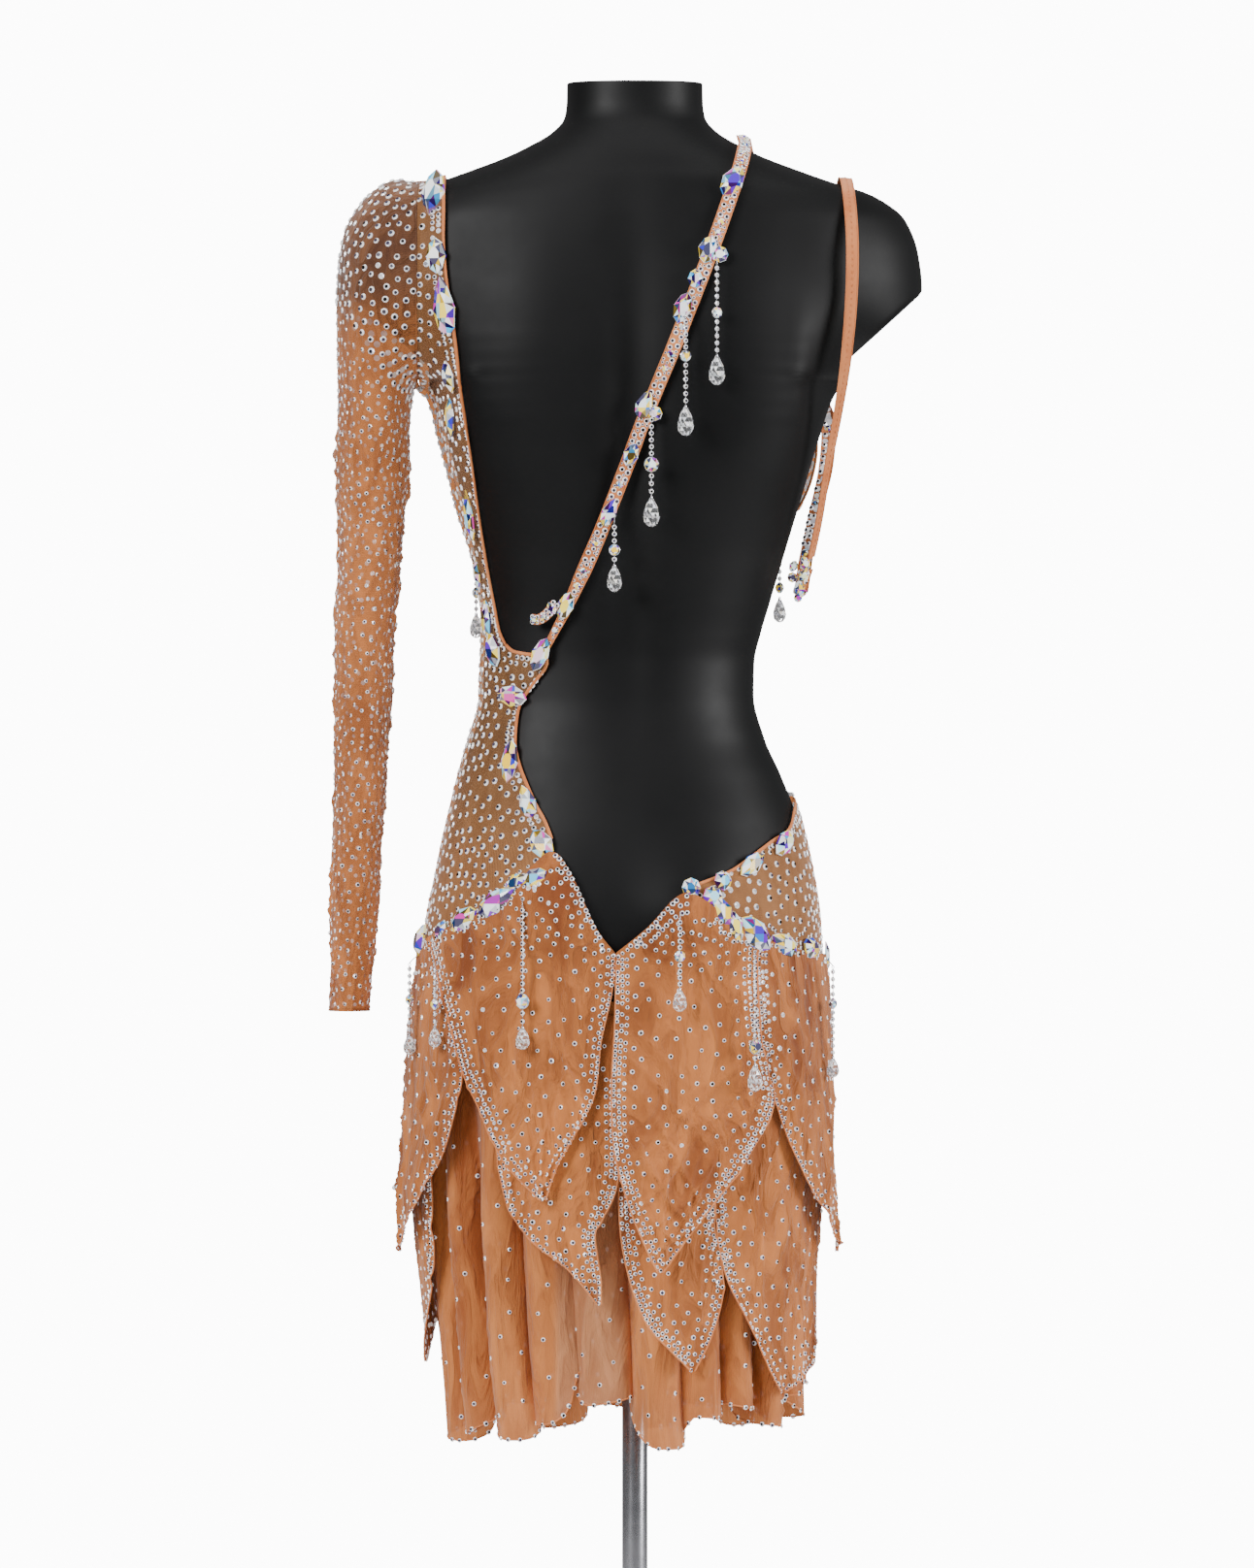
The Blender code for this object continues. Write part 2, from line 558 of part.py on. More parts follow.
def add_ribbon(name, route, facing, width, finish):
    lookup = list(zip(route, facing))

    def outward(centre):
        return min(lookup, key=lambda pair: (Vector(pair[0]) - centre).length)[1]

    return add_wall(name, ribbon(route, facing, width), finish, outward=outward)


def surface_route(places, count, lift):
    """Points and outward directions along a smooth route through (angle, height) places on the cloth."""
    places = np.array(places, float)
    points = CLOTH.cloth_point(places[:, 0], places[:, 1], lift)
    facing = CLOTH.cloth_normal(places[:, 0], places[:, 1])
    facing = smooth_route(facing, count)
    return smooth_route(points, count), facing / np.linalg.norm(facing, axis=1, keepdims=True)


def pull_taut(route):
    """Lets a strap bridge the hollows under it: y becomes the tightest line over the route's own y."""
    length = np.concatenate([[0], np.cumsum(np.linalg.norm(np.diff(route[:, [0, 2]], axis=0), axis=1))])
    hull = [0]
    for index in range(1, len(route)):
        while len(hull) > 1:
            a, b = hull[-2], hull[-1]
            rise = (route[b, 1] - route[a, 1]) * (length[index] - length[a])
            if rise > (route[index, 1] - route[a, 1]) * (length[b] - length[a]):
                break
            hull.pop()
        hull.append(index)
    taut = route.copy()
    taut[:, 1] = np.interp(length, length[hull], route[hull, 1])
    return taut


# The diagonal strap's centre line, as x and height: down the back to the left waist, and down the front.
STRAP_LINE = (
    (-0.0800, 1.1045), (-0.0785, 1.0950), (-0.0740, 1.0780), (-0.0565, 1.0270), (-0.0320, 0.9630),
    (-0.0095, 0.9060), (0.0075, 0.8670), (0.0250, 0.8230), (0.0400, 0.7850), (0.0530, 0.7560),
    (0.0640, 0.7340),
)
STRAP_FRONT = (
    (-0.0815, 1.1045), (-0.0820, 1.0980), (-0.0830, 1.0800), (-0.0830, 1.0400), (-0.0815, 1.0000),
    (-0.0800, 0.9600),
)
STRAP_LIFT = 0.0048
STRAP_CROWN = (-0.0810, 0.0000, 1.1150)
TAB_RISE = 0.0045  # the tab lies over the strap


def build_diagonal_strap():
    rear, rear_facing = surface_route([back(x, z) for x, z in STRAP_LINE], 16, STRAP_LIFT)
    rear = pull_taut(rear)
    ahead, ahead_facing = surface_route([front(x, z) for x, z in STRAP_FRONT], 9, STRAP_LIFT)
    route = np.vstack([ahead[::-1], STRAP_CROWN, rear])
    facing = np.vstack([ahead_facing[::-1], [[-0.25, 0.0, 0.97]], rear_facing])
    add_ribbon("diagonal_strap", route, facing, STRAP_WIDTH, "binding_fabric")


def build_strap_tab():
    """The flat hook tab that closes the strap, lying across its lower end."""
    route = ((0.0735, 0.7575), (0.0680, 0.7560), (0.0620, 0.7600), (0.0560, 0.7680))
    points, facing = surface_route([back(x, z) for x, z in route], 5, STRAP_LIFT + TAB_RISE)
    add_ribbon("strap_tab", points, facing, 0.007, "binding_fabric")


# The right shoulder strap's route: from the right cup over the shoulder, then down free of the form.
PLAIN_ROUTE = (
    (-0.1042, -0.0962, 0.9487), (-0.1132, -0.0910, 0.9650), (-0.1260, -0.0885, 0.9980), (-0.1420, -0.0760, 1.0330),
    (-0.1530, -0.0500, 1.0690), (-0.1565, 0.0020, 1.0845), (-0.1590, 0.0560, 1.0675),
    (-0.1610, 0.0790, 1.0320), (-0.1600, 0.0820, 0.9900), (-0.1560, 0.0760, 0.9450),
    (-0.1500, 0.0620, 0.9050), (-0.1435, 0.0480, 0.8700), (-0.1370, 0.0330, 0.8300),
    (-0.1310, 0.0180, 0.8010),
)
LOOP_ROUTE = (
    (-0.1280, 0.0100, 0.7930), (-0.1240, 0.0030, 0.7800), (-0.1235, -0.0060, 0.7760),
    (-0.1250, -0.0140, 0.7830), (-0.1280, -0.0220, 0.8030), (-0.1345, -0.0290, 0.8340),
    (-0.1425, -0.0385, 0.8680), (-0.1450, -0.0590, 0.9000), (-0.1400, -0.0775, 0.9180),
    (-0.1248, -0.0918, 0.9320),
)


def route_facing(route, centre):
    """Outward directions of a loop that runs round the arm, seen from its middle."""
    away = route - np.array(centre)
    away[:, 0] *= 0.2
    return away / np.linalg.norm(away, axis=1, keepdims=True)


def build_arm_loop():
    middle = (-0.100, 0.0, 0.930)
    plain = smooth_route(PLAIN_ROUTE, 30)
    facing = route_facing(plain, middle)
    add_ribbon("shoulder_strap", plain, facing, PLAIN_STRAP_WIDTH, "binding_fabric")
    loop = smooth_route(LOOP_ROUTE, 14)
    add_ribbon("arm_loop_front", loop, route_facing(loop, middle), STRAP_WIDTH, "binding_fabric")


def add_binding(name, outline):
    """A narrow binding beside a panel's free edge, on the opening's side of it."""
    places = np.array(outline, float)
    edge = CLOTH.cloth_point(places[:, 0], places[:, 1], PANEL_LIFT)
    facing = CLOTH.cloth_normal(places[:, 0], places[:, 1])
    sideways = np.cross(facing, np.gradient(edge, axis=0))
    sideways /= np.linalg.norm(sideways, axis=1, keepdims=True)
    near, far = edge + sideways * BINDING_GAP, edge + sideways * (BINDING_GAP + BINDING_WIDTH)
    return add_wall(name, np.stack([near, far], axis=1), "binding_fabric", outward=from_axis)


def build_bindings():
    for name, rows in (("binding_upper", NOTCH_ROWS), ("binding_waist", WAIST_ROWS)):
        edge = [back(row.free_x, row.free_z) for row in BACK_LEFT_ROWS[rows]]
        add_binding(name, edge)
    add_binding("binding_hip", [back(x, z) for x, z in RIGHT_HIP_EDGE])


# ---- Skirt -----------------------------------------------------------------------------------------

Petal = namedtuple("Petal", "name layer top left right")

UPPER_PETALS = (
    Petal("petal_back_left", "top",
          ((20, 0.5194), (35, 0.5290), (49, 0.5410), (57, 0.5580),
           (66, 0.5800), (72, 0.5690), (81, 0.5290), (87.9, 0.5080)),
          ((20, 0.5194), (35, 0.4618), (42, 0.4208), (49, 0.3913),
           (56, 0.3582), (63, 0.3387), (68.4, 0.3265)),
          ((87.9, 0.5080), (87.4, 0.4800), (84.5, 0.4430), (83.3, 0.4093),
           (80.5, 0.3884), (73, 0.3520), (69.6, 0.3265))),
    Petal("petal_back_right", "top",
          ((88.4, 0.5080), (98, 0.5280), (106, 0.5480), (111, 0.5500), (119, 0.5380), (131.3, 0.5205)),
          ((88.4, 0.5080), (88.3, 0.4600), (87.6, 0.4100), (88.8, 0.3620),
           (93, 0.3220), (98, 0.2880), (100.6, 0.2735)),
          ((131.3, 0.5205), (131.2, 0.4546), (133.9, 0.4194), (135.5, 0.3950),
           (124, 0.3450), (112, 0.3080), (102, 0.2735))),
    Petal("petal_side_right", "top",
          ((131.7, 0.5200), (145, 0.5130), (160, 0.5070), (180, 0.5060), (197, 0.5030), (214.8, 0.4930)),
          ((131.7, 0.5200), (131.6, 0.4546), (134.6, 0.4170), (141, 0.3780),
           (150.8, 0.3344), (162.6, 0.3034), (168.6, 0.2875)),
          ((214.8, 0.4930), (213, 0.4500), (207, 0.4100), (198, 0.3700),
           (188, 0.3300), (176, 0.2990), (170, 0.2875))),
    Petal("petal_side_left", "top",
          ((-34.8, 0.4930), (-17, 0.5020), (0, 0.5060), (12, 0.5110), (19.6, 0.5185)),
          ((-34.8, 0.4930), (-33, 0.4500), (-27, 0.4100), (-18, 0.3700),
           (-9, 0.3300), (2, 0.3000), (6.5, 0.2895)),
          ((19.6, 0.5185), (34.5, 0.4610), (41.4, 0.4208), (38, 0.3850),
           (32, 0.3500), (20, 0.3120), (8, 0.2895))),
    Petal("petal_front_left", "top",
          ((270.3, 0.4815), (285, 0.4830), (300, 0.4850), (313, 0.4890), (324.8, 0.4930)),
          ((270.3, 0.4815), (271, 0.4500), (273, 0.4150), (278, 0.3750),
           (285, 0.3420), (293, 0.3150), (297.4, 0.3005)),
          ((324.8, 0.4930), (324, 0.4550), (321, 0.4200), (317, 0.3850),
           (311, 0.3500), (304, 0.3200), (299, 0.3005))),
    Petal("petal_front_right", "top",
          ((215.2, 0.4930), (228, 0.4890), (242, 0.4850), (256, 0.4830), (269.7, 0.4815)),
          ((215.2, 0.4930), (216, 0.4550), (219, 0.4200), (223, 0.3850),
           (229, 0.3480), (236, 0.3150), (240.4, 0.2965)),
          ((269.7, 0.4815), (269, 0.4500), (267, 0.4150), (262, 0.3750),
           (255, 0.3400), (247, 0.3120), (242, 0.2965))),
)

LOWER_PETALS = (
    Petal("lower_petal_back_left", "lower",
          ((47, 0.4620), (60, 0.4620), (75, 0.4620), (89.7, 0.4620)),
          ((47, 0.4620), (50, 0.4200), (52.7, 0.3654), (56, 0.3250),
           (64, 0.2960), (74.8, 0.2746), (82.8, 0.2490)),
          ((89.7, 0.4620), (89.7, 0.4000), (89.8, 0.3400), (85.5, 0.3120),
           (83.2, 0.3000), (84.2, 0.2700), (84.0, 0.2490))),
    Petal("lower_petal_back_right", "lower",
          ((90.3, 0.4620), (100, 0.4620), (110, 0.4620), (118.2, 0.4620)),
          ((90.3, 0.4620), (90.3, 0.4000), (90.2, 0.3200), (92.1, 0.2746),
           (97, 0.2360), (104.5, 0.2140), (110.4, 0.1995)),
          ((118.2, 0.4620), (118.2, 0.3900), (118.5, 0.3120), (121.0, 0.2847),
           (121.8, 0.2560), (117.5, 0.2250), (111.6, 0.1995))),
    Petal("lower_petal_far_right", "lower",
          ((118.8, 0.4620), (140, 0.4620), (165, 0.4620), (196, 0.4620)),
          ((118.8, 0.4620), (118.9, 0.3900), (119.4, 0.3120), (122.8, 0.2700),
           (130, 0.2360), (137.5, 0.2000), (142, 0.1825)),
          ((196, 0.4620), (194, 0.4000), (190, 0.3200), (185, 0.2600),
           (174, 0.2214), (158, 0.1970), (143.4, 0.1825))),
    Petal("lower_petal_far_left", "lower",
          ((-60, 0.4620), (-30, 0.4620), (0, 0.4620), (24, 0.4620)),
          ((-60, 0.4620), (-56, 0.4000), (-48, 0.3300), (-36, 0.2800),
           (-22, 0.2420), (-8, 0.2160), (0, 0.2045)),
          ((24, 0.4620), (24, 0.4000), (24, 0.3300), (22, 0.2800),
           (16, 0.2450), (7, 0.2180), (1.5, 0.2045))),
    Petal("lower_petal_front_left", "lower",
          ((254, 0.4620), (268, 0.4620), (284, 0.4620), (299.5, 0.4620)),
          ((254, 0.4620), (254, 0.4000), (256, 0.3200), (261, 0.2700),
           (267, 0.2350), (274, 0.2120), (278.6, 0.2000)),
          ((299.5, 0.4620), (299.5, 0.4000), (298, 0.3200), (294, 0.2700),
           (289, 0.2350), (283, 0.2120), (279.8, 0.2000))),
    Petal("lower_petal_front_right", "lower",
          ((196.5, 0.4620), (215, 0.4620), (235, 0.4620), (253.5, 0.4620)),
          ((196.5, 0.4620), (198, 0.4000), (203, 0.3200), (210, 0.2700),
           (218, 0.2350), (226, 0.2140), (231.4, 0.2040)),
          ((253.5, 0.4620), (253, 0.4000), (250, 0.3200), (246, 0.2700),
           (241, 0.2350), (236, 0.2140), (232.6, 0.2040))),
)


def build_petals():
    lifts = {"top": column_of(TOP_LIFT), "lower": column_of(LOWER_LIFT)}
    for petal in UPPER_PETALS + LOWER_PETALS:
        top, left, right = ([turn(*place) for place in edge] for edge in petal[2:])
        bottom = [left[-1], right[-1]]
        span = math.degrees(top[-1][0] - top[0][0])
        columns = math.ceil(span / (len(top) - 1) / DEGREES_A_COLUMN) * (len(top) - 1) + 1
        add_panel(petal.name, (top, bottom, left, right), lifts[petal.layer], "skirt_fabric", columns)


# The underskirt's uneven hem: angle and height.
HEM = (
    (0, 0.158), (6.6, 0.1566), (17, 0.1443), (27, 0.150), (34.4, 0.1602), (40, 0.176), (42.5, 0.158),
    (48, 0.149), (52.9, 0.1472), (60, 0.156), (65, 0.160), (67, 0.168), (69.5, 0.194), (72, 0.192),
    (74, 0.178), (78.6, 0.1717), (86.3, 0.178), (90, 0.176), (93.8, 0.1638), (99.9, 0.1418), (103.5, 0.1415),
    (107.7, 0.153), (110.6, 0.148), (113.5, 0.153), (115.5, 0.165), (122, 0.1616), (125.5, 0.177),
    (134.4, 0.1674), (150.3, 0.155), (155, 0.1746), (166, 0.184), (180, 0.187), (190, 0.176), (200, 0.160),
    (215, 0.172), (232, 0.152), (248, 0.168), (262, 0.150), (278, 0.168), (295, 0.150), (312, 0.170),
    (330, 0.152), (347, 0.168), (360, 0.158),
)


def flute_wave(angle):
    """Side to side swing of the flutes, uneven in width round the skirt."""
    return np.cos(FLUTES * angle + 0.9 * np.sin(3 * angle) + 0.5 * np.sin(5 * angle + 1.0))


def build_underskirt():
    hem = column_of(HEM)
    lift, depth = column_of(FLUTE_LIFT), column_of(FLUTE_DEPTH)
    halves = (("underskirt_back", 0.15, 179.85), ("underskirt_front", 180.15, 359.85))
    for name, start, end in halves:
        angles = np.radians(np.linspace(start, end, COLUMNS_A_FLUTE * FLUTES // 2 + 1))
        share = np.linspace(0, 1, 6)[:, None]
        z = FLUTE_TOP + (hem(np.degrees(angles))[None] - FLUTE_TOP) * share
        angle = np.broadcast_to(angles[None], z.shape)
        points = CLOTH.cloth_point(angle, z, lift(z) + depth(z) * flute_wave(angle))
        add_wall(name, points, "skirt_fabric", outward=from_axis)


# ---- Crystal drops ---------------------------------------------------------------------------------

Drop = namedtuple("Drop", "name x y top bead tip tear_radius tear_length")

# Each hangs plumb from its top. y is where its axis hangs; bead is the round stone's height on the chain.
DROPS = (
    Drop("drop_strap_1", -0.0605, 0.1140, 1.0180, 0.9810, 0.9275, 0.0061, 0.0220),
    Drop("drop_strap_2", -0.0374, 0.1170, 0.9780, 0.9490, 0.8900, 0.0061, 0.0220),
    Drop("drop_strap_3", -0.0122, 0.1105, 0.9060, 0.8690, 0.8230, 0.0061, 0.0220),
    Drop("drop_strap_4", 0.0151, 0.0980, 0.8270, 0.8060, 0.7750, 0.0056, 0.0200),
    Drop("drop_hip_left", 0.0828, 0.1190, 0.5440, 0.4726, 0.4370, 0.0053, 0.0165),
    Drop("drop_hip_right", -0.0331, 0.1290, 0.5350, 0.5060, 0.4650, 0.0053, 0.0170),
    Drop("drop_hip_far_right", -0.0886, 0.1150, 0.5060, 0.4390, 0.4060, 0.0056, 0.0200),
    Drop("drop_side_left_back", 0.1480, 0.0790, 0.4990, 0.4700, 0.4380, 0.0048, 0.0150),
    Drop("drop_side_left", 0.1672, 0.0460, 0.5000, 0.4730, 0.4320, 0.0048, 0.0150),
    Drop("drop_side_right", -0.1470, 0.0460, 0.4980, 0.4700, 0.4150, 0.0048, 0.0150),
    Drop("drop_waist_right", -0.1085, -0.0660, 0.8280, 0.7800, 0.7540, 0.0050, 0.0180),
    Drop("drop_waist_left", 0.1185, -0.0350, 0.8000, 0.7760, 0.7420, 0.0050, 0.0180),
)
CHAIN_RADIUS = 0.0014
BEAD_RADIUS = 0.0042


def drop_profile(drop):
    """Radius and height below the drop's top: cup chain, round stone, cup chain, teardrop."""
    bead = drop.bead - drop.top
    tear_top = drop.tip + drop.tear_length - drop.top
    tip = drop.tip - drop.top
    profile = [(0.0, 0.0), (CHAIN_RADIUS, -0.0006), (CHAIN_RADIUS, bead + BEAD_RADIUS)]
    profile += [(BEAD_RADIUS, bead), (CHAIN_RADIUS, bead - BEAD_RADIUS), (CHAIN_RADIUS, tear_top)]
    profile += [(drop.tear_radius * 0.55, tear_top - drop.tear_length * 0.30)]
    profile += [(drop.tear_radius, tear_top - drop.tear_length * 0.68)]
    profile += [(drop.tear_radius * 0.62, tip + drop.tear_length * 0.08), (0.0, tip)]
    return profile


def build_drops():
    for drop in DROPS:
        add_turned(drop.name, drop_profile(drop), "crystal", place=(drop.x, drop.y, drop.top))


def main():
    clear_scene()
    collection = bpy.data.collections.new(COLLECTION)
    bpy.context.scene.collection.children.link(collection)
    build_stand()
    build_form()
    build_front_bodice()
    build_back_left()
    build_right_hip()
    build_sleeve()
    build_diagonal_strap()
    build_strap_tab()
    build_arm_loop()
    build_bindings()
    build_underskirt()
    build_petals()
    build_drops()


main()
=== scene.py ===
"""Cloth, stones, drops, form and stand of a one-sleeved salsa dance dress.

Metres, +Z up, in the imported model's frame. The wearer's front faces -Y and the wearer's left is +X. Angles go
round the body seen from above: 0 is the left side seam, 90 the centre back, 180 the right side and 270 the
centre front.
"""

import logging
import math
from dataclasses import dataclass, field
from enum import Enum
from typing import Callable, Iterable, Sequence

import bpy
import numpy as np
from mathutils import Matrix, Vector


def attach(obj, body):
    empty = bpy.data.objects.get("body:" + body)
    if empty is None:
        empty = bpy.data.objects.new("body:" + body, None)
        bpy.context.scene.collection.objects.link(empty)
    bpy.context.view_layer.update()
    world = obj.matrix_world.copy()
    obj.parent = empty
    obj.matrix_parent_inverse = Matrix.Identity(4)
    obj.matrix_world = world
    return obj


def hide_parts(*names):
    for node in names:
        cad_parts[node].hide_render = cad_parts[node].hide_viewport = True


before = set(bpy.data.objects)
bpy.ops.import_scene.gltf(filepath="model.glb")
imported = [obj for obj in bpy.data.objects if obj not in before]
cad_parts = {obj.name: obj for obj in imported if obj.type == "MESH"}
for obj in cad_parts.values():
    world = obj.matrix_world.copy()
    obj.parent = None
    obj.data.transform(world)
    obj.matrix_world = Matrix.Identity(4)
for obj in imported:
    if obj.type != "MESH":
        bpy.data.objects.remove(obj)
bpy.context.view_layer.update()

logging.basicConfig(level=logging.INFO, format="%(message)s")
LOG = logging.getLogger("dress")

Array = np.ndarray
Place = tuple[float, float]
ROOT_BODY = "dress_on_form"

# ---- Sizes shared with the solids ----

PANEL_LIFT = 0.0030
FORM_BOTTOM = 0.387
SEAM_Z = 0.498
ARMHOLE_X = 0.160
STUMP_FOOT = (0.1530, 0.9442)
STUMP_SLOPE = 1.113
ARMPIT_FULLNESS = 0.7
ARMPIT_WIDTH, STUMP_WIDTH = 0.1495, 0.2120
FLUTES = 22
FLUTE_TOP = 0.472
SLIT_ANGLE = 76.0


@dataclass(frozen=True)
class Section:
    """One level section of the body: its middle, half its width, and its depth in front and behind."""

    height: float
    centre_x: float
    half_width: float
    front: float
    back: float


FORM_ROWS = tuple(Section(*row) for row in (
    (1.1545, 0.0000, 0.0505, 0.046, 0.056), (1.1400, 0.0000, 0.0508, 0.046, 0.057),
    (1.1290, 0.0000, 0.0525, 0.048, 0.060), (1.1180, 0.0000, 0.0620, 0.052, 0.067),
    (1.1080, 0.0000, 0.0790, 0.057, 0.074), (1.0998, 0.0000, 0.0960, 0.061, 0.079),
    (1.0911, 0.0000, 0.1190, 0.065, 0.083), (1.0825, 0.0000, 0.1430, 0.069, 0.087),
    (1.0710, 0.0000, 0.1780, 0.073, 0.090), (1.0530, 0.0000, 0.2015, 0.079, 0.094),
    (1.0278, 0.0000, 0.2112, 0.084, 0.098), (1.0033, 0.0000, 0.2140, 0.089, 0.100),
    (0.9774, 0.0000, 0.2140, 0.094, 0.102), (0.9442, 0.0000, 0.2100, 0.100, 0.103),
    (0.9270, 0.0000, 0.1515, 0.104, 0.102), (0.8924, 0.0010, 0.1390, 0.108, 0.099),
    (0.8600, 0.0018, 0.1300, 0.107, 0.095), (0.8262, 0.0032, 0.1213, 0.100, 0.089),
    (0.7988, 0.0040, 0.1138, 0.092, 0.083), (0.7686, 0.0058, 0.1066, 0.086, 0.077),
    (0.7448, 0.0088, 0.1026, 0.083, 0.073), (0.7239, 0.0115, 0.1006, 0.081, 0.071),
    (0.6980, 0.0122, 0.1008, 0.080, 0.072), (0.6678, 0.0122, 0.1085, 0.082, 0.077),
    (0.6390, 0.0100, 0.1190, 0.085, 0.085), (0.6051, 0.0078, 0.1295, 0.088, 0.096),
    (0.5670, 0.0076, 0.1378, 0.088, 0.106), (0.5310, 0.0086, 0.1440, 0.085, 0.110),
    (0.4980, 0.0100, 0.1462, 0.082, 0.108), (0.4590, 0.0100, 0.1430, 0.078, 0.101),
    (0.4200, 0.0095, 0.1370, 0.073, 0.093), (0.3960, 0.0090, 0.1320, 0.069, 0.087),
    (FORM_BOTTOM, 0.0090, 0.1240, 0.063, 0.080),
))
SKIRT_ROWS = tuple(Section(*row) for row in (
    (0.4590, 0.0102, 0.1470, 0.0860, 0.1090), (0.4200, 0.0106, 0.1462, 0.0890, 0.1080),
    (0.3600, 0.0118, 0.1430, 0.0900, 0.1060), (0.3200, 0.0122, 0.1410, 0.0900, 0.1050),
    (0.2500, 0.0100, 0.1350, 0.0890, 0.1030), (0.1300, 0.0040, 0.1300, 0.0880, 0.1010),
))
YOKE_ROWS = ((0.900, 0.1500), (0.915, 0.1515), (0.931, 0.1580), (0.950, 0.1620), (1.200, 0.1620))

# Side, x, height, reach across, reach up and rise of each swell of the body.
SWELLS = (
    (-1, 0.068, 0.868, 0.040, 0.036, 0.024), (-1, -0.066, 0.868, 0.040, 0.036, 0.024),
    (1, 0.078, 0.985, 0.042, 0.050, 0.007), (1, -0.078, 0.985, 0.042, 0.050, 0.007),
    (1, 0.070, 0.540, 0.042, 0.044, 0.013), (1, -0.052, 0.540, 0.042, 0.044, 0.013),
    (1, 0.004, 0.860, 0.018, 0.140, -0.008),
)

FRONT_LIFT = ((0.958, PANEL_LIFT), (0.926, 0.0072), (0.850, 0.0072), (0.800, PANEL_LIFT))
TOP_LIFT = ((0.600, 0.0056), (0.530, 0.0078), (0.505, 0.0062), (0.465, 0.0100), (0.420, 0.0130))
TOP_LIFT += ((0.360, 0.0170), (0.290, 0.0220))
LOWER_LIFT = ((0.465, 0.0054), (0.420, 0.0080), (0.320, 0.0105), (0.180, 0.0125))
FLUTE_LIFT = ((0.480, 0.0020), (0.400, 0.0010), (0.130, 0.0010))

# ---- Smooth columns and the body's surface ----


class SmoothColumn:
    """A monotone cubic through the values of one table column."""

    def __init__(self, places: Sequence[float], values: Sequence[float]) -> None:
        """Takes the places and their values, in any order.

        Args:
            places: where each value holds.
            values: the value at each place.
        """
        order = np.argsort(places)
        self.places = np.asarray(places, float)[order]
        self.values = np.asarray(values, float)[order]
        secants = np.diff(self.values) / np.diff(self.places)
        slopes = np.zeros(len(self.places))
        before, after = secants[:-1], secants[1:]
        same = before * after > 0
        slopes[1:-1][same] = 2 * before[same] * after[same] / (before[same] + after[same])
        slopes[0], slopes[-1] = secants[0], secants[-1]
        self.slopes = slopes

    def __call__(self, place: Array | float) -> Array:
        """The value at each place, held level past the ends.

        Args:
            place: one place, or an array of them.

        Returns:
            The values, in the places' shape.
        """
        place = np.clip(place, self.places[0], self.places[-1])
        index = np.clip(np.searchsorted(self.places, place) - 1, 0, len(self.places) - 2)
        width = self.places[index + 1] - self.places[index]
        s = (place - self.places[index]) / width
        start = (1 + 2 * s) * (1 - s) ** 2 * self.values[index]
        end = s * s * (3 - 2 * s) * self.values[index + 1]
        bend = s * (1 - s) ** 2 * self.slopes[index] - s * s * (1 - s) * self.slopes[index + 1]
        return start + end + bend * width


def column_of(pairs: Iterable[Place]) -> SmoothColumn:
    """A smooth column from (place, value) pairs."""
    places, values = zip(*pairs)
    return SmoothColumn(places, values)


def smoothstep(low: float, high: float, value: Array | float) -> Array:
    """0 below low, 1 above high, and smooth between."""
    s = np.clip((value - low) / (high - low), 0.0, 1.0)
    return s * s * (3 - 2 * s)


def unit(vectors: Array) -> Array:
    """The vectors at length 1."""
    return vectors / np.maximum(np.linalg.norm(vectors, axis=-1, keepdims=True), 1e-12)


EASE_STEPS = (-0.030, -0.018, -0.006, 0.006, 0.018, 0.030)


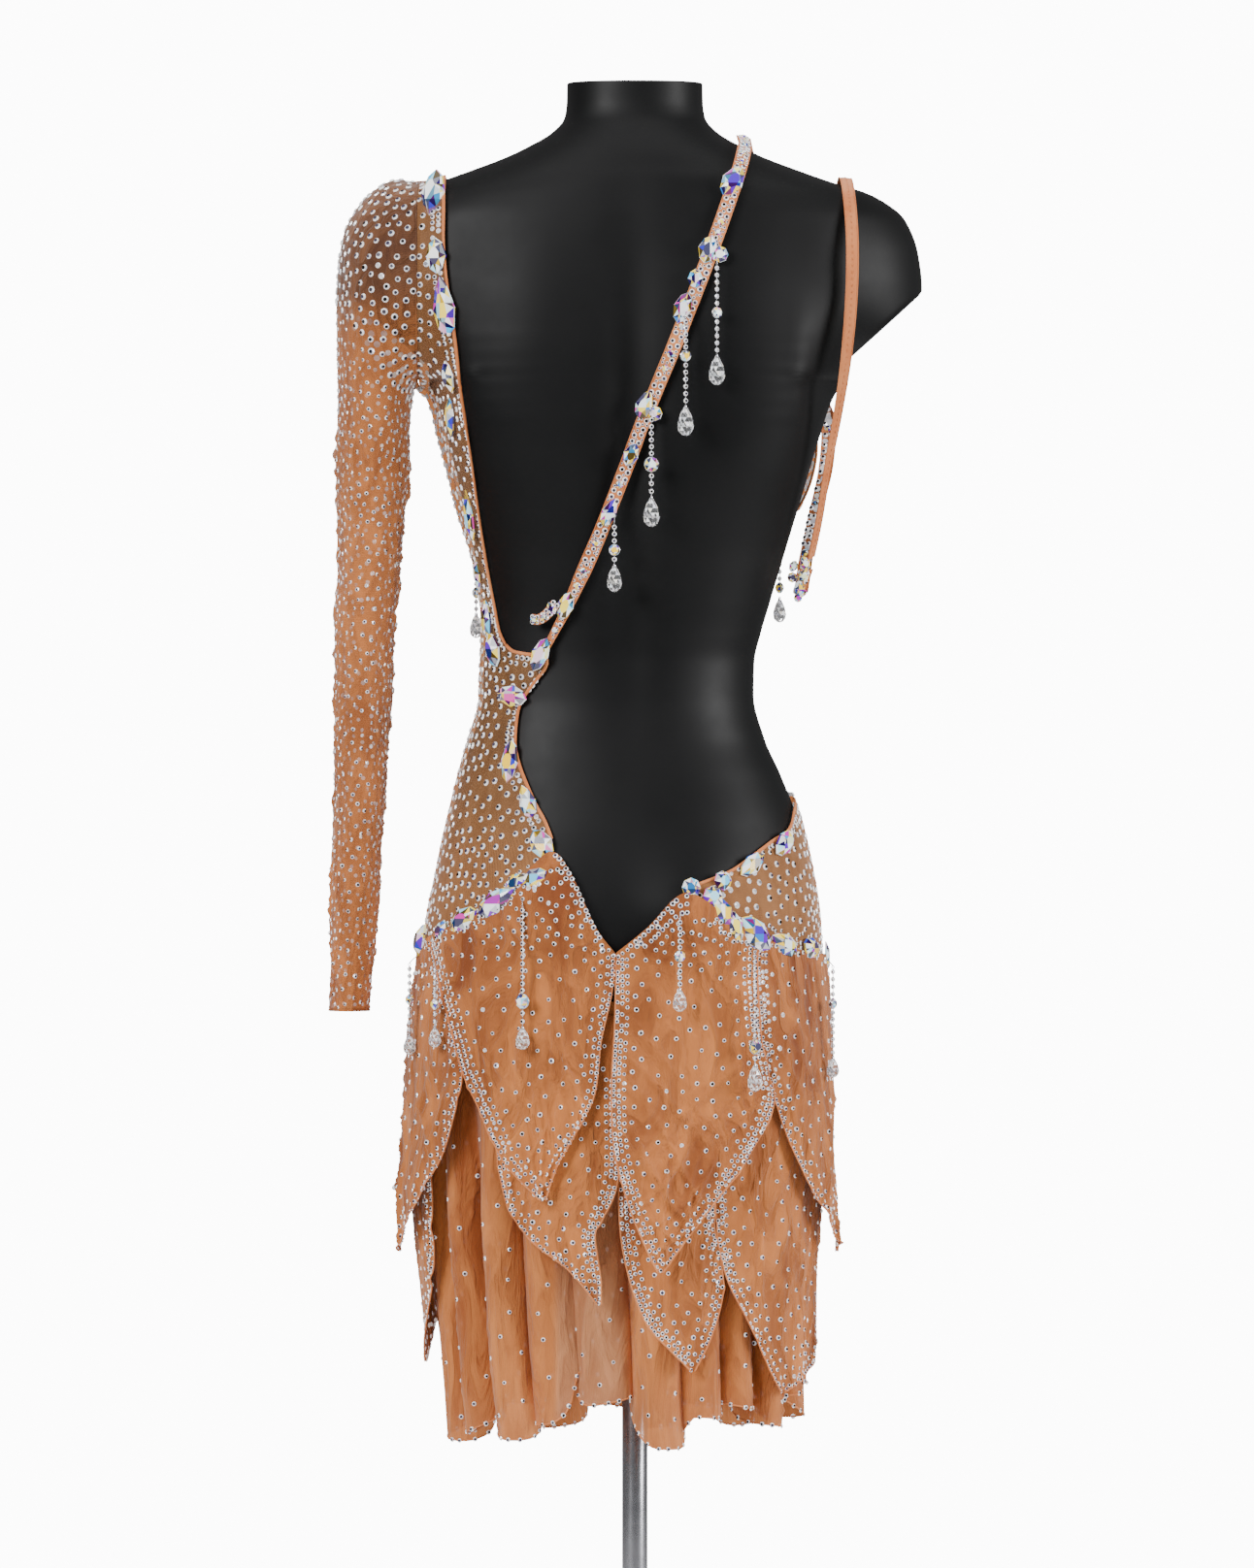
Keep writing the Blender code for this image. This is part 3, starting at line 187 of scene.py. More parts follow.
class Body:
    """The surface given by a table of sections: the form itself, or the mean surface of the cloth."""

    def __init__(self, rows: Sequence[Section]) -> None:
        """Takes the sections, in any order."""
        heights = [row.height for row in rows]
        self.centre_x = SmoothColumn(heights, [row.centre_x for row in rows])
        self.half_width = SmoothColumn(heights, [row.half_width for row in rows])
        self.front = SmoothColumn(heights, [row.front for row in rows])
        self.back = SmoothColumn(heights, [row.back for row in rows])
        self.yoke = column_of(YOKE_ROWS)

    def depth_at(self, x: Array, z: Array, side: Array) -> Array:
        """The surface's y at x and z, eased down the shoulder blades where the width changes fast.

        Args:
            x: how far to the wearer's left.
            z: the height.
            side: +1 on the back, -1 on the front.

        Returns:
            The y of each point.
        """
        sharp = self.sharp_depth(x, z, side)
        near = 1 - smoothstep(0.110, 0.142, np.abs(x))
        near = near * smoothstep(0.860, 0.900, z) * smoothstep(1.060, 1.020, z)
        if not np.any(near > 0):
            return sharp
        eased = sum(self.sharp_depth(x, z + step, side) for step in EASE_STEPS) / len(EASE_STEPS)
        return sharp + near * (eased - sharp)

    def sharp_depth(self, x: Array, z: Array, side: Array) -> Array:
        """The surface's y at x and z, straight from the sections."""
        half_width = self.half_width(z)
        across = np.clip((x - self.centre_x(z)) / half_width, -1.0, 1.0)
        narrow = np.clip((STUMP_WIDTH - half_width) / (STUMP_WIDTH - ARMPIT_WIDTH), 0.0, 1.0) * (z < 0.96)
        fullness = np.where(side > 0, ARMPIT_FULLNESS, 0.5 * ARMPIT_FULLNESS)
        power = 2 + fullness * smoothstep(0.800, 0.920, z) * narrow
        rim = (1 - np.abs(across) ** power) ** (1 / power)
        depth = np.where(side > 0, self.back(z), self.front(z)) * rim * (1 + 0.16 * across**2)
        for swell_side, swell_x, height, reach_x, reach_z, rise in SWELLS:
            offset = ((x - swell_x) / reach_x) ** 2 + ((z - height) / reach_z) ** 2
            depth = depth + (side == swell_side) * rise * rim * np.exp(-offset)
        below = np.clip((1.012 - z) / 0.078, 0.0, 1.0)
        arm = smoothstep(0.120, 0.165, np.abs(x)) * smoothstep(0.860, 0.930, z)
        return side * depth * (1 - arm * (1 - np.sqrt(1 - below**2)))

    def form_point(self, angle: Array, z: Array) -> Array:
        """Points of the solid form, whose shoulder ends are cut on a slant.

        Args:
            angle: the angle round the body, in radians.
            z: the height.

        Returns:
            The points, with x, y and z along the last axis.
        """
        x = self.centre_x(z) + self.half_width(z) * np.cos(angle)
        y = self.depth_at(x, z, np.where(np.sin(angle) >= 0, 1.0, -1.0))
        foot_x, foot_z = STUMP_FOOT
        limit = np.maximum(foot_x, foot_x + (z - foot_z) * STUMP_SLOPE)
        return np.stack([np.clip(x, -limit, limit), y, z], axis=-1)

    def base(self, angle: Array, z: Array) -> Array:
        """The cloth's mean surface at an angle and height, before it is moved out."""
        x = self.centre_x(z) + np.minimum(self.half_width(z), self.yoke(z)) * np.cos(angle)
        side = np.where(np.sin(angle) >= 0, 1.0, -1.0)
        return np.stack([x, self.depth_at(x, z, side), z], axis=-1)

    def normal(self, angle: Array, z: Array) -> Array:
        """The cloth's outward direction at an angle and height."""
        turn, climb = 0.01, 0.002
        round_it = self.base(angle + turn, z) - self.base(angle - turn, z)
        up_it = self.base(angle, z + climb) - self.base(angle, z - climb)
        return unit(np.cross(round_it, up_it))

    def point(self, angle: Array, z: Array, lift: Array | float) -> Array:
        """The cloth's surface at an angle and height, moved out along its normal.

        Args:
            angle: the angle round the body, in radians.
            z: the height.
            lift: how far out, the same for all or one for each.

        Returns:
            The points.
        """
        lift = np.broadcast_to(lift, np.shape(z))[..., None]
        return self.base(angle, z) + self.normal(angle, z) * lift

    def angle_at(self, x: Array | float, z: Array | float, side: int) -> Array:
        """The angle of the cloth point at x and z on the back (+1) or the front (-1)."""
        across = (x - self.centre_x(z)) / np.minimum(self.half_width(z), self.yoke(z))
        angle = np.arccos(np.clip(across, -1.0, 1.0))
        return angle if side > 0 else 2 * math.pi - angle


FORM = Body(FORM_ROWS)
CLOTH = Body(tuple(row for row in FORM_ROWS if row.height >= SEAM_Z) + SKIRT_ROWS)


def back(x: float, z: float) -> Place:
    """An outline point on the back, as its angle and height."""
    return (float(CLOTH.angle_at(x, z, 1)), z)


def front(x: float, z: float) -> Place:
    """An outline point on the front, as its angle and height."""
    return (float(CLOTH.angle_at(x, z, -1)), z)


def turn(degrees: float, z: float) -> Place:
    """An outline point at an angle round the body."""
    return (math.radians(degrees), z)


# ---- Curves and patches ----


def spline(points: Sequence[Place] | Array, count: int) -> Array:
    """A Catmull-Rom curve through points, at places spread evenly by index.

    Args:
        points: the points to pass through.
        count: how many places to give.

    Returns:
        The places along the curve.
    """
    points = np.array(points, float)
    padded = np.vstack([2 * points[0] - points[1], points, 2 * points[-1] - points[-2]])
    places = np.linspace(0, len(points) - 1, count)
    low = np.minimum(places.astype(int), len(points) - 2)
    s = (places - low)[:, None]
    a, b, c, d = (padded[low + step] for step in range(4))
    square, cube = 2 * a - 5 * b + 4 * c - d, 3 * b - a - 3 * c + d
    return (2 * b + (c - a) * s + square * s**2 + cube * s**3) / 2


def even(path: Array, count: int) -> Array:
    """The path's points again, spread evenly along its length."""
    lengths = np.concatenate([[0], np.cumsum(np.linalg.norm(np.diff(path, axis=0), axis=1))])
    places = np.linspace(0, lengths[-1], count)
    return np.stack([np.interp(places, lengths, path[:, axis]) for axis in range(path.shape[1])], axis=-1)


def route(points: Sequence[Sequence[float]] | Array, count: int) -> Array:
    """A smooth curve through points, spread evenly along its length."""
    return even(spline(points, 12 * len(points)), count)


def patch(top: Array, bottom: Array, left: Array, right: Array) -> Array:
    """A grid that fills four edges.

    Args:
        top: the upper edge from left to right.
        bottom: the lower edge from left to right.
        left: the left edge from top to bottom.
        right: the right edge from top to bottom.

    Returns:
        The grid, a row for each left edge point and a column for each top edge point.
    """
    u = np.linspace(0, 1, len(top))[None, :, None]
    v = np.linspace(0, 1, len(left))[:, None, None]
    rails = (1 - v) * top[None] + v * bottom[None] + (1 - u) * left[:, None] + u * right[:, None]
    upper = (1 - u) * top[None, :1] + u * top[None, -1:]
    lower = (1 - u) * bottom[None, :1] + u * bottom[None, -1:]
    return rails - (1 - v) * upper - v * lower


@dataclass
class Surface:
    """A sheet of points with outward directions, read by its share across (u) and down (v).

    Args:
        points: rows of points, from the sheet's top row down.
        facing: a rough outward direction at each point.
        closed: whether the last column joins the first, as on a tube.
    """

    points: Array
    facing: Array
    closed: bool = False
    normals: Array = field(init=False)

    def __post_init__(self) -> None:
        """Works out the outward directions from the grid itself."""
        wide = self.points
        if self.closed:
            wide = np.concatenate([wide[:, -1:], wide, wide[:, :1]], axis=1)
        across, down = np.gradient(wide, axis=1), np.gradient(wide, axis=0)
        normals = unit(np.cross(down, across))
        normals = normals[:, 1:-1] if self.closed else normals
        turned = np.sum(normals * self.facing, axis=-1, keepdims=True) < 0
        self.flipped = bool(turned.mean() > 0.5)
        self.normals = -normals if self.flipped else normals

    def at(self, u: Array, v: Array) -> tuple[Array, Array]:
        """Points and outward directions at shares across and down.

        Args:
            u: share across, from 0 to 1.
            v: share down, from 0 to 1.

        Returns:
            The points and the outward directions.
        """
        rows, columns = self.points.shape[:2]
        x = np.mod(u, 1.0) * columns if self.closed else np.clip(u, 0, 1) * (columns - 1)
        y = np.clip(v, 0, 1) * (rows - 1)
        left, top = x.astype(int), np.minimum(y.astype(int), rows - 2)
        left = left % columns if self.closed else np.minimum(left, columns - 2)
        right = (left + 1) % columns
        s, t = (x - np.floor(x) if self.closed else x - left)[..., None], (y - top)[..., None]
        found = []
        for grid in (self.points, self.normals):
            upper = grid[top, left] * (1 - s) + grid[top, right] * s
            lower = grid[top + 1, left] * (1 - s) + grid[top + 1, right] * s
            found.append(upper * (1 - t) + lower * t)
        return found[0], unit(found[1])

    def widths(self) -> Array:
        """The length of each row."""
        rows = np.concatenate([self.points, self.points[:, :1]], axis=1) if self.closed else self.points
        return np.linalg.norm(np.diff(rows, axis=1), axis=2).sum(axis=1)

    def heights(self) -> Array:
        """The length of each column."""
        return np.linalg.norm(np.diff(self.points, axis=0), axis=2).sum(axis=0)

    def side_path(self, right: bool, inset: float, start: float = 0.0,
                  end: float = 1.0) -> tuple[Array, Array]:
        """A path beside the left or right edge, from the top down.

        Args:
            right: whether it follows the right edge.
            inset: how far inside the edge it runs, in metres.
            start: the share down where it starts.
            end: the share down where it ends.

        Returns:
            The path's points and their outward directions.
        """
        v = np.linspace(start, end, 160)
        width = np.interp(v, np.linspace(0, 1, len(self.points)), self.widths())
        u = np.minimum(inset / np.maximum(width, 1e-6), 0.5)
        return self.at(1 - u if right else u, v)

    def level_path(self, v: float, start: float = 0.0, end: float = 1.0) -> tuple[Array, Array]:
        """A path across the sheet at a share down."""
        u = np.linspace(start, end, 200)
        return self.at(u, np.full(200, v))

    def move_out(self, amount: Array) -> "Surface":
        """The sheet again, each point moved out along its own direction."""
        return Surface(self.points + self.normals * amount[..., None], self.facing, self.closed)


def from_axis(points: Array) -> Array:
    """Rough outward directions from the body's vertical axis."""
    away = points - np.array([0.008, 0.005, 0.0])
    away[..., 2] = np.where(points[..., 2] > 1.06, 0.15, 0.0)
    return away


class MeshParts:
    """Gathers many small shapes into one mesh, with a material slot for each face."""

    def __init__(self) -> None:
        """Starts empty."""
        self.points: list[Array] = []
        self.loops: list[Array] = []
        self.sizes: list[Array] = []
        self.slots: list[Array] = []
        self.smooth: list[Array] = []
        self.count = 0

    def add(self, points: Array, faces: Sequence[Sequence[int]], slot: int | Sequence[int] = 0,
            smooth: bool = False) -> None:
        """Adds one shape, or many copies of it.

        Args:
            points: its points, or one set of points for each copy.
            faces: the point numbers round each face, counted from the shape's own first point.
            slot: the material slot of every face, or one for each.
            smooth: whether its faces are shaded smooth.
        """
        copies = points.reshape(-1, *points.shape[-2:])
        loops = np.concatenate([np.asarray(face, np.int64) for face in faces])
        sizes = np.array([len(face) for face in faces])
        offsets = self.count + np.arange(len(copies)) * copies.shape[1]
        self.points.append(copies.reshape(-1, 3))
        self.loops.append((loops[None] + offsets[:, None]).ravel())
        self.sizes.append(np.tile(sizes, len(copies)))
        self.slots.append(np.tile(np.broadcast_to(slot, len(faces)), len(copies)))
        self.smooth.append(np.full(len(faces) * len(copies), smooth))
        self.count += copies.shape[0] * copies.shape[1]

    def build(self, name: str, materials: Sequence[bpy.types.Material]) -> bpy.types.Object:
        """Makes the mesh and its object.

        Args:
            name: the object's name.
            materials: the material of each slot.

        Returns:
            The object, in the scene.
        """
        mesh = bpy.data.meshes.new(name)
        points, loops, sizes = (np.concatenate(part) for part in (self.points, self.loops, self.sizes))
        mesh.vertices.add(len(points))
        mesh.vertices.foreach_set("co", points.astype(np.float32).ravel())
        mesh.loops.add(len(loops))
        mesh.loops.foreach_set("vertex_index", loops.astype(np.int32))
        mesh.polygons.add(len(sizes))
        mesh.polygons.foreach_set("loop_start", (np.cumsum(sizes) - sizes).astype(np.int32))
        mesh.polygons.foreach_set("material_index", np.concatenate(self.slots).astype(np.int32))
        mesh.polygons.foreach_set("use_smooth", np.concatenate(self.smooth))
        mesh.update(calc_edges=True)
        for material in materials:
            mesh.materials.append(material)
        obj = bpy.data.objects.new(name, mesh)
        bpy.context.scene.collection.objects.link(obj)
        return obj


def grid_faces(rows: int, columns: int, closed: bool = False, flipped: bool = False) -> list[tuple[int, ...]]:
    """The quads of a grid of points, stored row by row from the top down.

    Args:
        rows: how many rows of points.
        columns: how many points in a row.
        closed: whether the last column joins the first.
        flipped: whether the faces are turned over.

    Returns:
        The point numbers of each quad.
    """
    faces = []
    for row in range(rows - 1):
        for column in range(columns if closed else columns - 1):
            near, far = row * columns + column, row * columns + (column + 1) % columns
            quad = (near, near + columns, far + columns, far)
            faces.append(quad[::-1] if flipped else quad)
    return faces


def tube_faces(rings: int, sides: int, flipped: bool = False) -> list[tuple[int, ...]]:
    """The quads of a tube's rings, and a face over each end."""
    last = (rings - 1) * sides
    ends = [tuple(range(sides)), tuple(last + side for side in reversed(range(sides)))]
    return grid_faces(rings, sides, closed=True, flipped=flipped) + ends


def add_sheet(name: str, surface: Surface, material: bpy.types.Material) -> bpy.types.Object:
    """A single sheet of cloth, with its cut's own coordinates in metres as a UV map.

    Args:
        name: the piece's name.
        surface: its shape.
        material: its fabric.

    Returns:
        The piece.
    """
    rows, columns = surface.points.shape[:2]
    parts = MeshParts()
    faces = grid_faces(rows, columns, surface.closed, surface.flipped)
    parts.add(surface.points.reshape(-1, 3), faces, smooth=True)
    piece = parts.build(name, [material])
    across = np.linspace(0, 1, columns)[None] * surface.widths().mean()
    down = np.linspace(0, 1, rows)[:, None] * surface.heights().mean()
    flat = np.stack(np.broadcast_arrays(across, down), axis=-1).reshape(-1, 2)
    places = flat[np.concatenate([np.array(face) for face in faces])]
    if surface.closed:
        wrap = np.array(faces) % columns
        seam = (wrap.max(axis=1) == columns - 1) & (wrap.min(axis=1) == 0)
        shift = (seam[:, None] & (wrap == 0)).ravel() * (columns / (columns - 1))
        places[:, 0] += shift * surface.widths().mean()
    layer = piece.data.uv_layers.new(name="cut")
    layer.uv.foreach_set("vector", places.astype(np.float32).ravel())
    return piece


def frames_along(path: Array, facing: Array) -> tuple[Array, Array]:
    """The sideways and outward directions along a path.

    Args:
        path: the path's points.
        facing: a rough outward direction at each.

    Returns:
        Unit directions sideways and outwards, square to the path.
    """
    along = unit(np.gradient(path, axis=0))
    sideways = unit(np.cross(along, facing))
    return sideways, np.cross(sideways, along)


def tube(parts: MeshParts, path: Array, facing: Array, width: float | Array, height: float | Array,
         sides: int = 6, slot: int = 0) -> None:
    """Adds a closed oval tube along a path.

    Args:
        parts: where it goes.
        path: its middle line.
        facing: a rough outward direction at each point.
        width: its width, sideways, the same all along or one for each point.
        height: its height, outwards.
        sides: how many sides it has.
        slot: its material slot.
    """
    sideways, outwards = frames_along(path, facing)
    angles = np.arange(sides) * 2 * math.pi / sides + math.pi / sides
    wide = np.broadcast_to(width, len(path))[:, None, None] / 2 * np.cos(angles)[None, :, None]
    high = np.broadcast_to(height, len(path))[:, None, None] / 2 * np.sin(angles)[None, :, None]
    rings = path[:, None] + sideways[:, None] * wide + outwards[:, None] * high
    parts.add(rings.reshape(-1, 3), tube_faces(len(path), sides), slot, smooth=True)


# ---- Stones ----


class Outline(Enum):
    """The shape of a stone seen from above."""

    ROUND = "round"
    NAVETTE = "navette"
    PEAR = "pear"


@dataclass(frozen=True)
class StoneCut:
    """How a stone is cut: its outline, its sides, and its rings as (scale, height, twisted).

    A stone is one unit in radius, and stands on its flat back.
    """

    outline: Outline
    sides: int
    rings: tuple[tuple[float, float, bool], ...]
    side_slot: int = 0

    def rim(self, turned: bool) -> Array:
        """The outline's points, or the points half a side further round."""
        angles = (np.arange(self.sides) + 0.5 * turned) * 2 * math.pi / self.sides
        x, y = np.cos(angles), np.sin(angles)
        if self.outline is Outline.NAVETTE:
            x = np.sign(x) * np.abs(x) ** 1.4
        if self.outline is Outline.PEAR:
            x = x * (1 - 0.34 * np.maximum(y, 0) ** 0.7)
            y = y * (1 + 0.25 * np.maximum(y, 0))
        return np.stack([x, y], axis=-1)

    def shape(self) -> tuple[Array, list[tuple[int, ...]], list[int]]:
        """The stone's points, its faces and the material slot of each face."""
        points, faces, turned = [], [], False
        for number, (scale, height, twisted) in enumerate(self.rings):
            before, turned = turned, turned != twisted
            ring = self.rim(turned) * scale
            points.append(np.column_stack([ring, np.full(self.sides, height)]))
            low = (number - 1) * self.sides
            for side in range(self.sides if number else 0):
                far = (side + 1) % self.sides
                a, b, c, d = low + side, low + far, low + self.sides + far, low + self.sides + side
                if not twisted:
                    faces.append((a, b, c, d))
                elif turned:
                    faces += [(a, b, d), (b, c, d)]
                else:
                    faces += [(a, b, c), (a, c, d)]
        last = (len(self.rings) - 1) * self.sides
        # Slot 1, a stud's top face, is its table painted dark as a reflection; slot 0 is its facets painted
        # lit.
        slots = [self.side_slot] * len(faces) + [1 if self.side_slot == 0 else 2, 0]
        faces += [tuple(last + side for side in range(self.sides)), tuple(reversed(range(self.sides)))]
        return np.vstack(points), faces, slots


GEM_RINGS = ((1.0, 0.0, False), (0.96, 0.16, False), (0.50, 0.56, True))
TINY_STUD = StoneCut(Outline.ROUND, 6, ((1.0, 0.0, False), (0.55, 0.50, False)))
STUD = StoneCut(Outline.ROUND, 8, ((1.0, 0.0, False), (0.56, 0.50, False)))
ROUND_STONE = StoneCut(Outline.ROUND, 8, GEM_RINGS, 2)
NAVETTE = StoneCut(Outline.NAVETTE, 8, GEM_RINGS, 2)
PEAR = StoneCut(Outline.PEAR, 8, GEM_RINGS, 2)
LONG_STONE = 1.15


class StoneWork:
    """Stones glued to one piece of cloth, gathered into one mesh."""

    def __init__(self, seed: int) -> None:
        """Starts with no stones, and its own seed."""
        self.parts = MeshParts()
        self.random = np.random.default_rng(seed)
        self.taken: dict[tuple[int, int, int], list[tuple[Array, float]]] = {}

    def claim(self, point: Array, radius: float) -> bool:
        """Takes a place if no other stone stands there.

        Args:
            point: the stone's middle.
            radius: how much room it needs.

        Returns:
            Whether the place was free.
        """
        cell = 0.016
        key = tuple(int(value) for value in np.floor(point / cell))
        steps = (-1, 0, 1)
        near = [(key[0] + i, key[1] + j, key[2] + k) for i in steps for j in steps for k in steps]
        for place in near:
            for other, reach in self.taken.get(place, ()):
                gap = point - other
                if gap @ gap < (radius + reach) ** 2:
                    return False
        self.taken.setdefault(key, []).append((point, radius))
        return True

    def set_stones(self, cut: StoneCut, points: Array, normals: Array, radii: Array,
                   shapes: Array | None = None,
                   spins: Array | None = None, sink: float = 0.0002) -> None:
        """Adds one stone at each point.

        Args:
            cut: how the stones are cut.
            points: where they stand.
            normals: which way they face.
            radii: the radius of each, or its half width where it is long.
            shapes: how long each is against its width.
            spins: the turn of each from upright, in radians, or None for any turn.
            sink: how deep they are set into the cloth.
        """
        if not len(points):
            return
        shape, faces, slots = cut.shape()
        up = np.array([0.0, 0.0, 1.0]) + 1e-4
        sideways = unit(np.cross(up, normals))
        upwards = np.cross(normals, sideways)
        spins = self.random.uniform(0, math.pi, len(points)) if spins is None else spins
        cosine, sine = np.cos(spins)[:, None], np.sin(spins)[:, None]
        x_axis, y_axis = sideways * cosine + upwards * sine, upwards * cosine - sideways * sine
        longer = np.ones(len(points)) if shapes is None else shapes
        corners = shape[None] * np.stack([radii, radii * longer, radii], axis=-1)[:, None]
        placed = corners[..., 0:1] * x_axis[:, None] + corners[..., 1:2] * y_axis[:, None]
        placed += corners[..., 2:3] * normals[:, None] + (points - normals * sink)[:, None]
        self.parts.add(placed, faces, slots)

    def set_one(self, cut: StoneCut, point: Array, normal: Array, radius: float, longer: float, lean: float,
                sink: float = 0.0002) -> None:
        """Sets one large stone, by its half width, its length against its width and its lean in radians."""
        self.set_stones(cut, point[None], normal[None],
                        *(np.array([value]) for value in (radius, longer, lean)), sink)

    def scatter(self, surface: Surface, spacing: Callable[[Array], Array], radii: tuple[float, float],
                margin: float, cut: StoneCut = STUD, tries: float = 9.0) -> None:
        """Spreads studs over a sheet, none nearer its neighbour than the spacing.

        Args:
            surface: the sheet.
            spacing: gives the distance between studs at each point.
            radii: the least and greatest radius.
            margin: the bare strip inside the edges.
            cut: how the studs are cut.
            tries: how many places are tried for each stud that would fit.
        """
        widths, heights = surface.widths(), surface.heights()
        area = widths.mean() * heights.mean()
        probe = float(np.min(spacing(surface.points.reshape(-1, 3)[::7])))
        count = int(tries * area / probe**2)
        v, u = self.random.random(count), self.random.random(count)
        width = np.interp(v, np.linspace(0, 1, len(widths)), widths)
        keep = self.random.random(count) < width / widths.max()
        u, v, width = u[keep], v[keep], width[keep]
        height = np.interp(u, np.linspace(0, 1, len(heights)), heights)
        inside = (v * height > margin) & ((1 - v) * height > margin)
        if not surface.closed:
            inside &= (u * width > margin) & ((1 - u) * width > margin)
        points, normals = surface.at(u[inside], v[inside])
        reach = spacing(points) / 2
        free = np.array([self.claim(point, float(half)) for point, half in zip(points, reach)], bool)
        if not free.any():
            return
        size = self.random.uniform(*radii, free.sum())
        self.set_stones(cut, points[free], normals[free], size)

    def row(self, path: Array, normals: Array, step: float, radius: float, cut: StoneCut = TINY_STUD,
            jitter: float = 0.08) -> None:
        """Sets studs in a row along a path.

        Args:
            path: the path's points.
            normals: the outward direction at each.
            step: the distance between studs.
            radius: each stud's radius.
            cut: how they are cut.
            jitter: how far a stud may stray, as a share of the step.
        """
        both = np.hstack([path, normals])
        lengths = np.concatenate([[0], np.cumsum(np.linalg.norm(np.diff(path, axis=0), axis=1))])
        count = max(int(lengths[-1] / step), 2)
        places = np.linspace(0, lengths[-1], count)
        places[1:-1] += self.random.uniform(-jitter, jitter, count - 2) * step
        found = np.stack([np.interp(places, lengths, both[:, axis]) for axis in range(6)], axis=-1)
        free = np.array([self.claim(point, radius * 0.9) for point in found[:, :3]], bool)
        found = found[free]
        size = self.random.uniform(0.92, 1.08, len(found)) * radius
        self.set_stones(cut, found[:, :3], unit(found[:, 3:]), size)

    def build(self, name: str, gems: "Gems") -> bpy.types.Object:
        """Makes the piece, which rides on the dress."""
        return add_trim(self.parts, name, [gems.painted_lit_facets, gems.tables, gems.aurora])


# ---- Finishes ----

Colour = tuple[float, float, float]


def srgb(red: int, green: int, blue: int) -> Colour:
    """A colour given by its screen values from 0 to 255, as linear light."""
    shares = (value / 255 for value in (red, green, blue))
    return tuple(s / 12.92 if s <= 0.04045 else ((s + 0.055) / 1.055) ** 2.4 for s in shares)


# The colour inputs of a Mix node.
MIX_A, MIX_B = 6, 7


class Nodes:
    """Short ways to add and join the nodes of one tree."""

    def __init__(self, tree: bpy.types.NodeTree) -> None:
        """Works on a material's tree or a group."""
        self.tree = tree

    def add(self, kind: str, inputs: dict[str | int, object] | None = None,
            **settings: object) -> bpy.types.Node:
        """Adds a node.

        Args:
            kind: the node's type, without the word ShaderNode.
            inputs: a value, or an output to join, for each named or numbered input.
            settings: the node's own settings.

        Returns:
            The node.
        """
        node = self.tree.nodes.new("ShaderNode" + kind)
        for key, value in settings.items():
            setattr(node, key, value)
        for key, value in (inputs or {}).items():
            if isinstance(value, bpy.types.NodeSocket):
                self.tree.links.new(value, node.inputs[key])
            else:
                node.inputs[key].default_value = value
        return node

    def sum_of(self, kind: str, first: object, second: object) -> bpy.types.NodeSocket:
        """A Math node of two values."""
        return self.add("Math", {0: first, 1: second}, operation=kind).outputs[0]

    def ramp(self, factor: bpy.types.NodeSocket,
             stops: Sequence[tuple[float, Sequence[float]]]) -> bpy.types.NodeSocket:
        """A colour ramp through (place, colour) stops."""
        node = self.add("ValToRGB", {0: factor})
        elements = node.color_ramp.elements
        while len(elements) < len(stops):
            elements.new(0.5)
        for element, (place, colour) in zip(elements, stops):
            element.position = place
            element.color = (*colour[:3], 1.0)
        return node.outputs[0]


def new_group(name: str, inputs: dict[str, tuple[str, object]],
              outputs: dict[str, str]) -> tuple[Nodes, object, object]:
    """Starts a node group.

    Args:
        name: its name.
        inputs: the kind and default of each named input.
        outputs: the kind of each named output.

    Returns:
        Its nodes, its input node's outputs, and its output node.
    """
    tree = bpy.data.node_groups.new(name, "ShaderNodeTree")
    for label, (kind, default) in inputs.items():
        socket = tree.interface.new_socket(label, in_out="INPUT", socket_type="NodeSocket" + kind)
        if default is not None:
            socket.default_value = default
    for label, kind in outputs.items():
        tree.interface.new_socket(label, in_out="OUTPUT", socket_type="NodeSocket" + kind)
    return Nodes(tree), tree.nodes.new("NodeGroupInput").outputs, tree.nodes.new("NodeGroupOutput")


def weave_group() -> bpy.types.NodeTree:
    """Crossed threads with gaps between them, on the cut's own coordinates."""
    nodes, given, result = new_group(
        "thread_weave", {"Threads": ("Float", 900.0)}, {"Height": "Float", "Cover": "Float"})
    cut = nodes.add("UVMap", uv_map="cut").outputs[0]
    axes = nodes.add("SeparateXYZ", {0: cut}).outputs
    threads = []
    for axis in (0, 1):
        turns = nodes.sum_of("MULTIPLY", axes[axis], given["Threads"])
        wave = nodes.add("Math", {0: nodes.sum_of("MULTIPLY", turns, 6.2832)}, operation="COSINE").outputs[0]
        threads.append(nodes.sum_of("MULTIPLY", nodes.sum_of("ADD", wave, 1.0), 0.5))
    height = nodes.sum_of("MAXIMUM", threads[0], threads[1])
    nodes.tree.links.new(height, result.inputs["Height"])
    cover = nodes.add("MapRange", {0: height, 1: 0.0, 2: 0.7}).outputs[0]
    nodes.tree.links.new(cover, result.inputs["Cover"])
    return nodes.tree


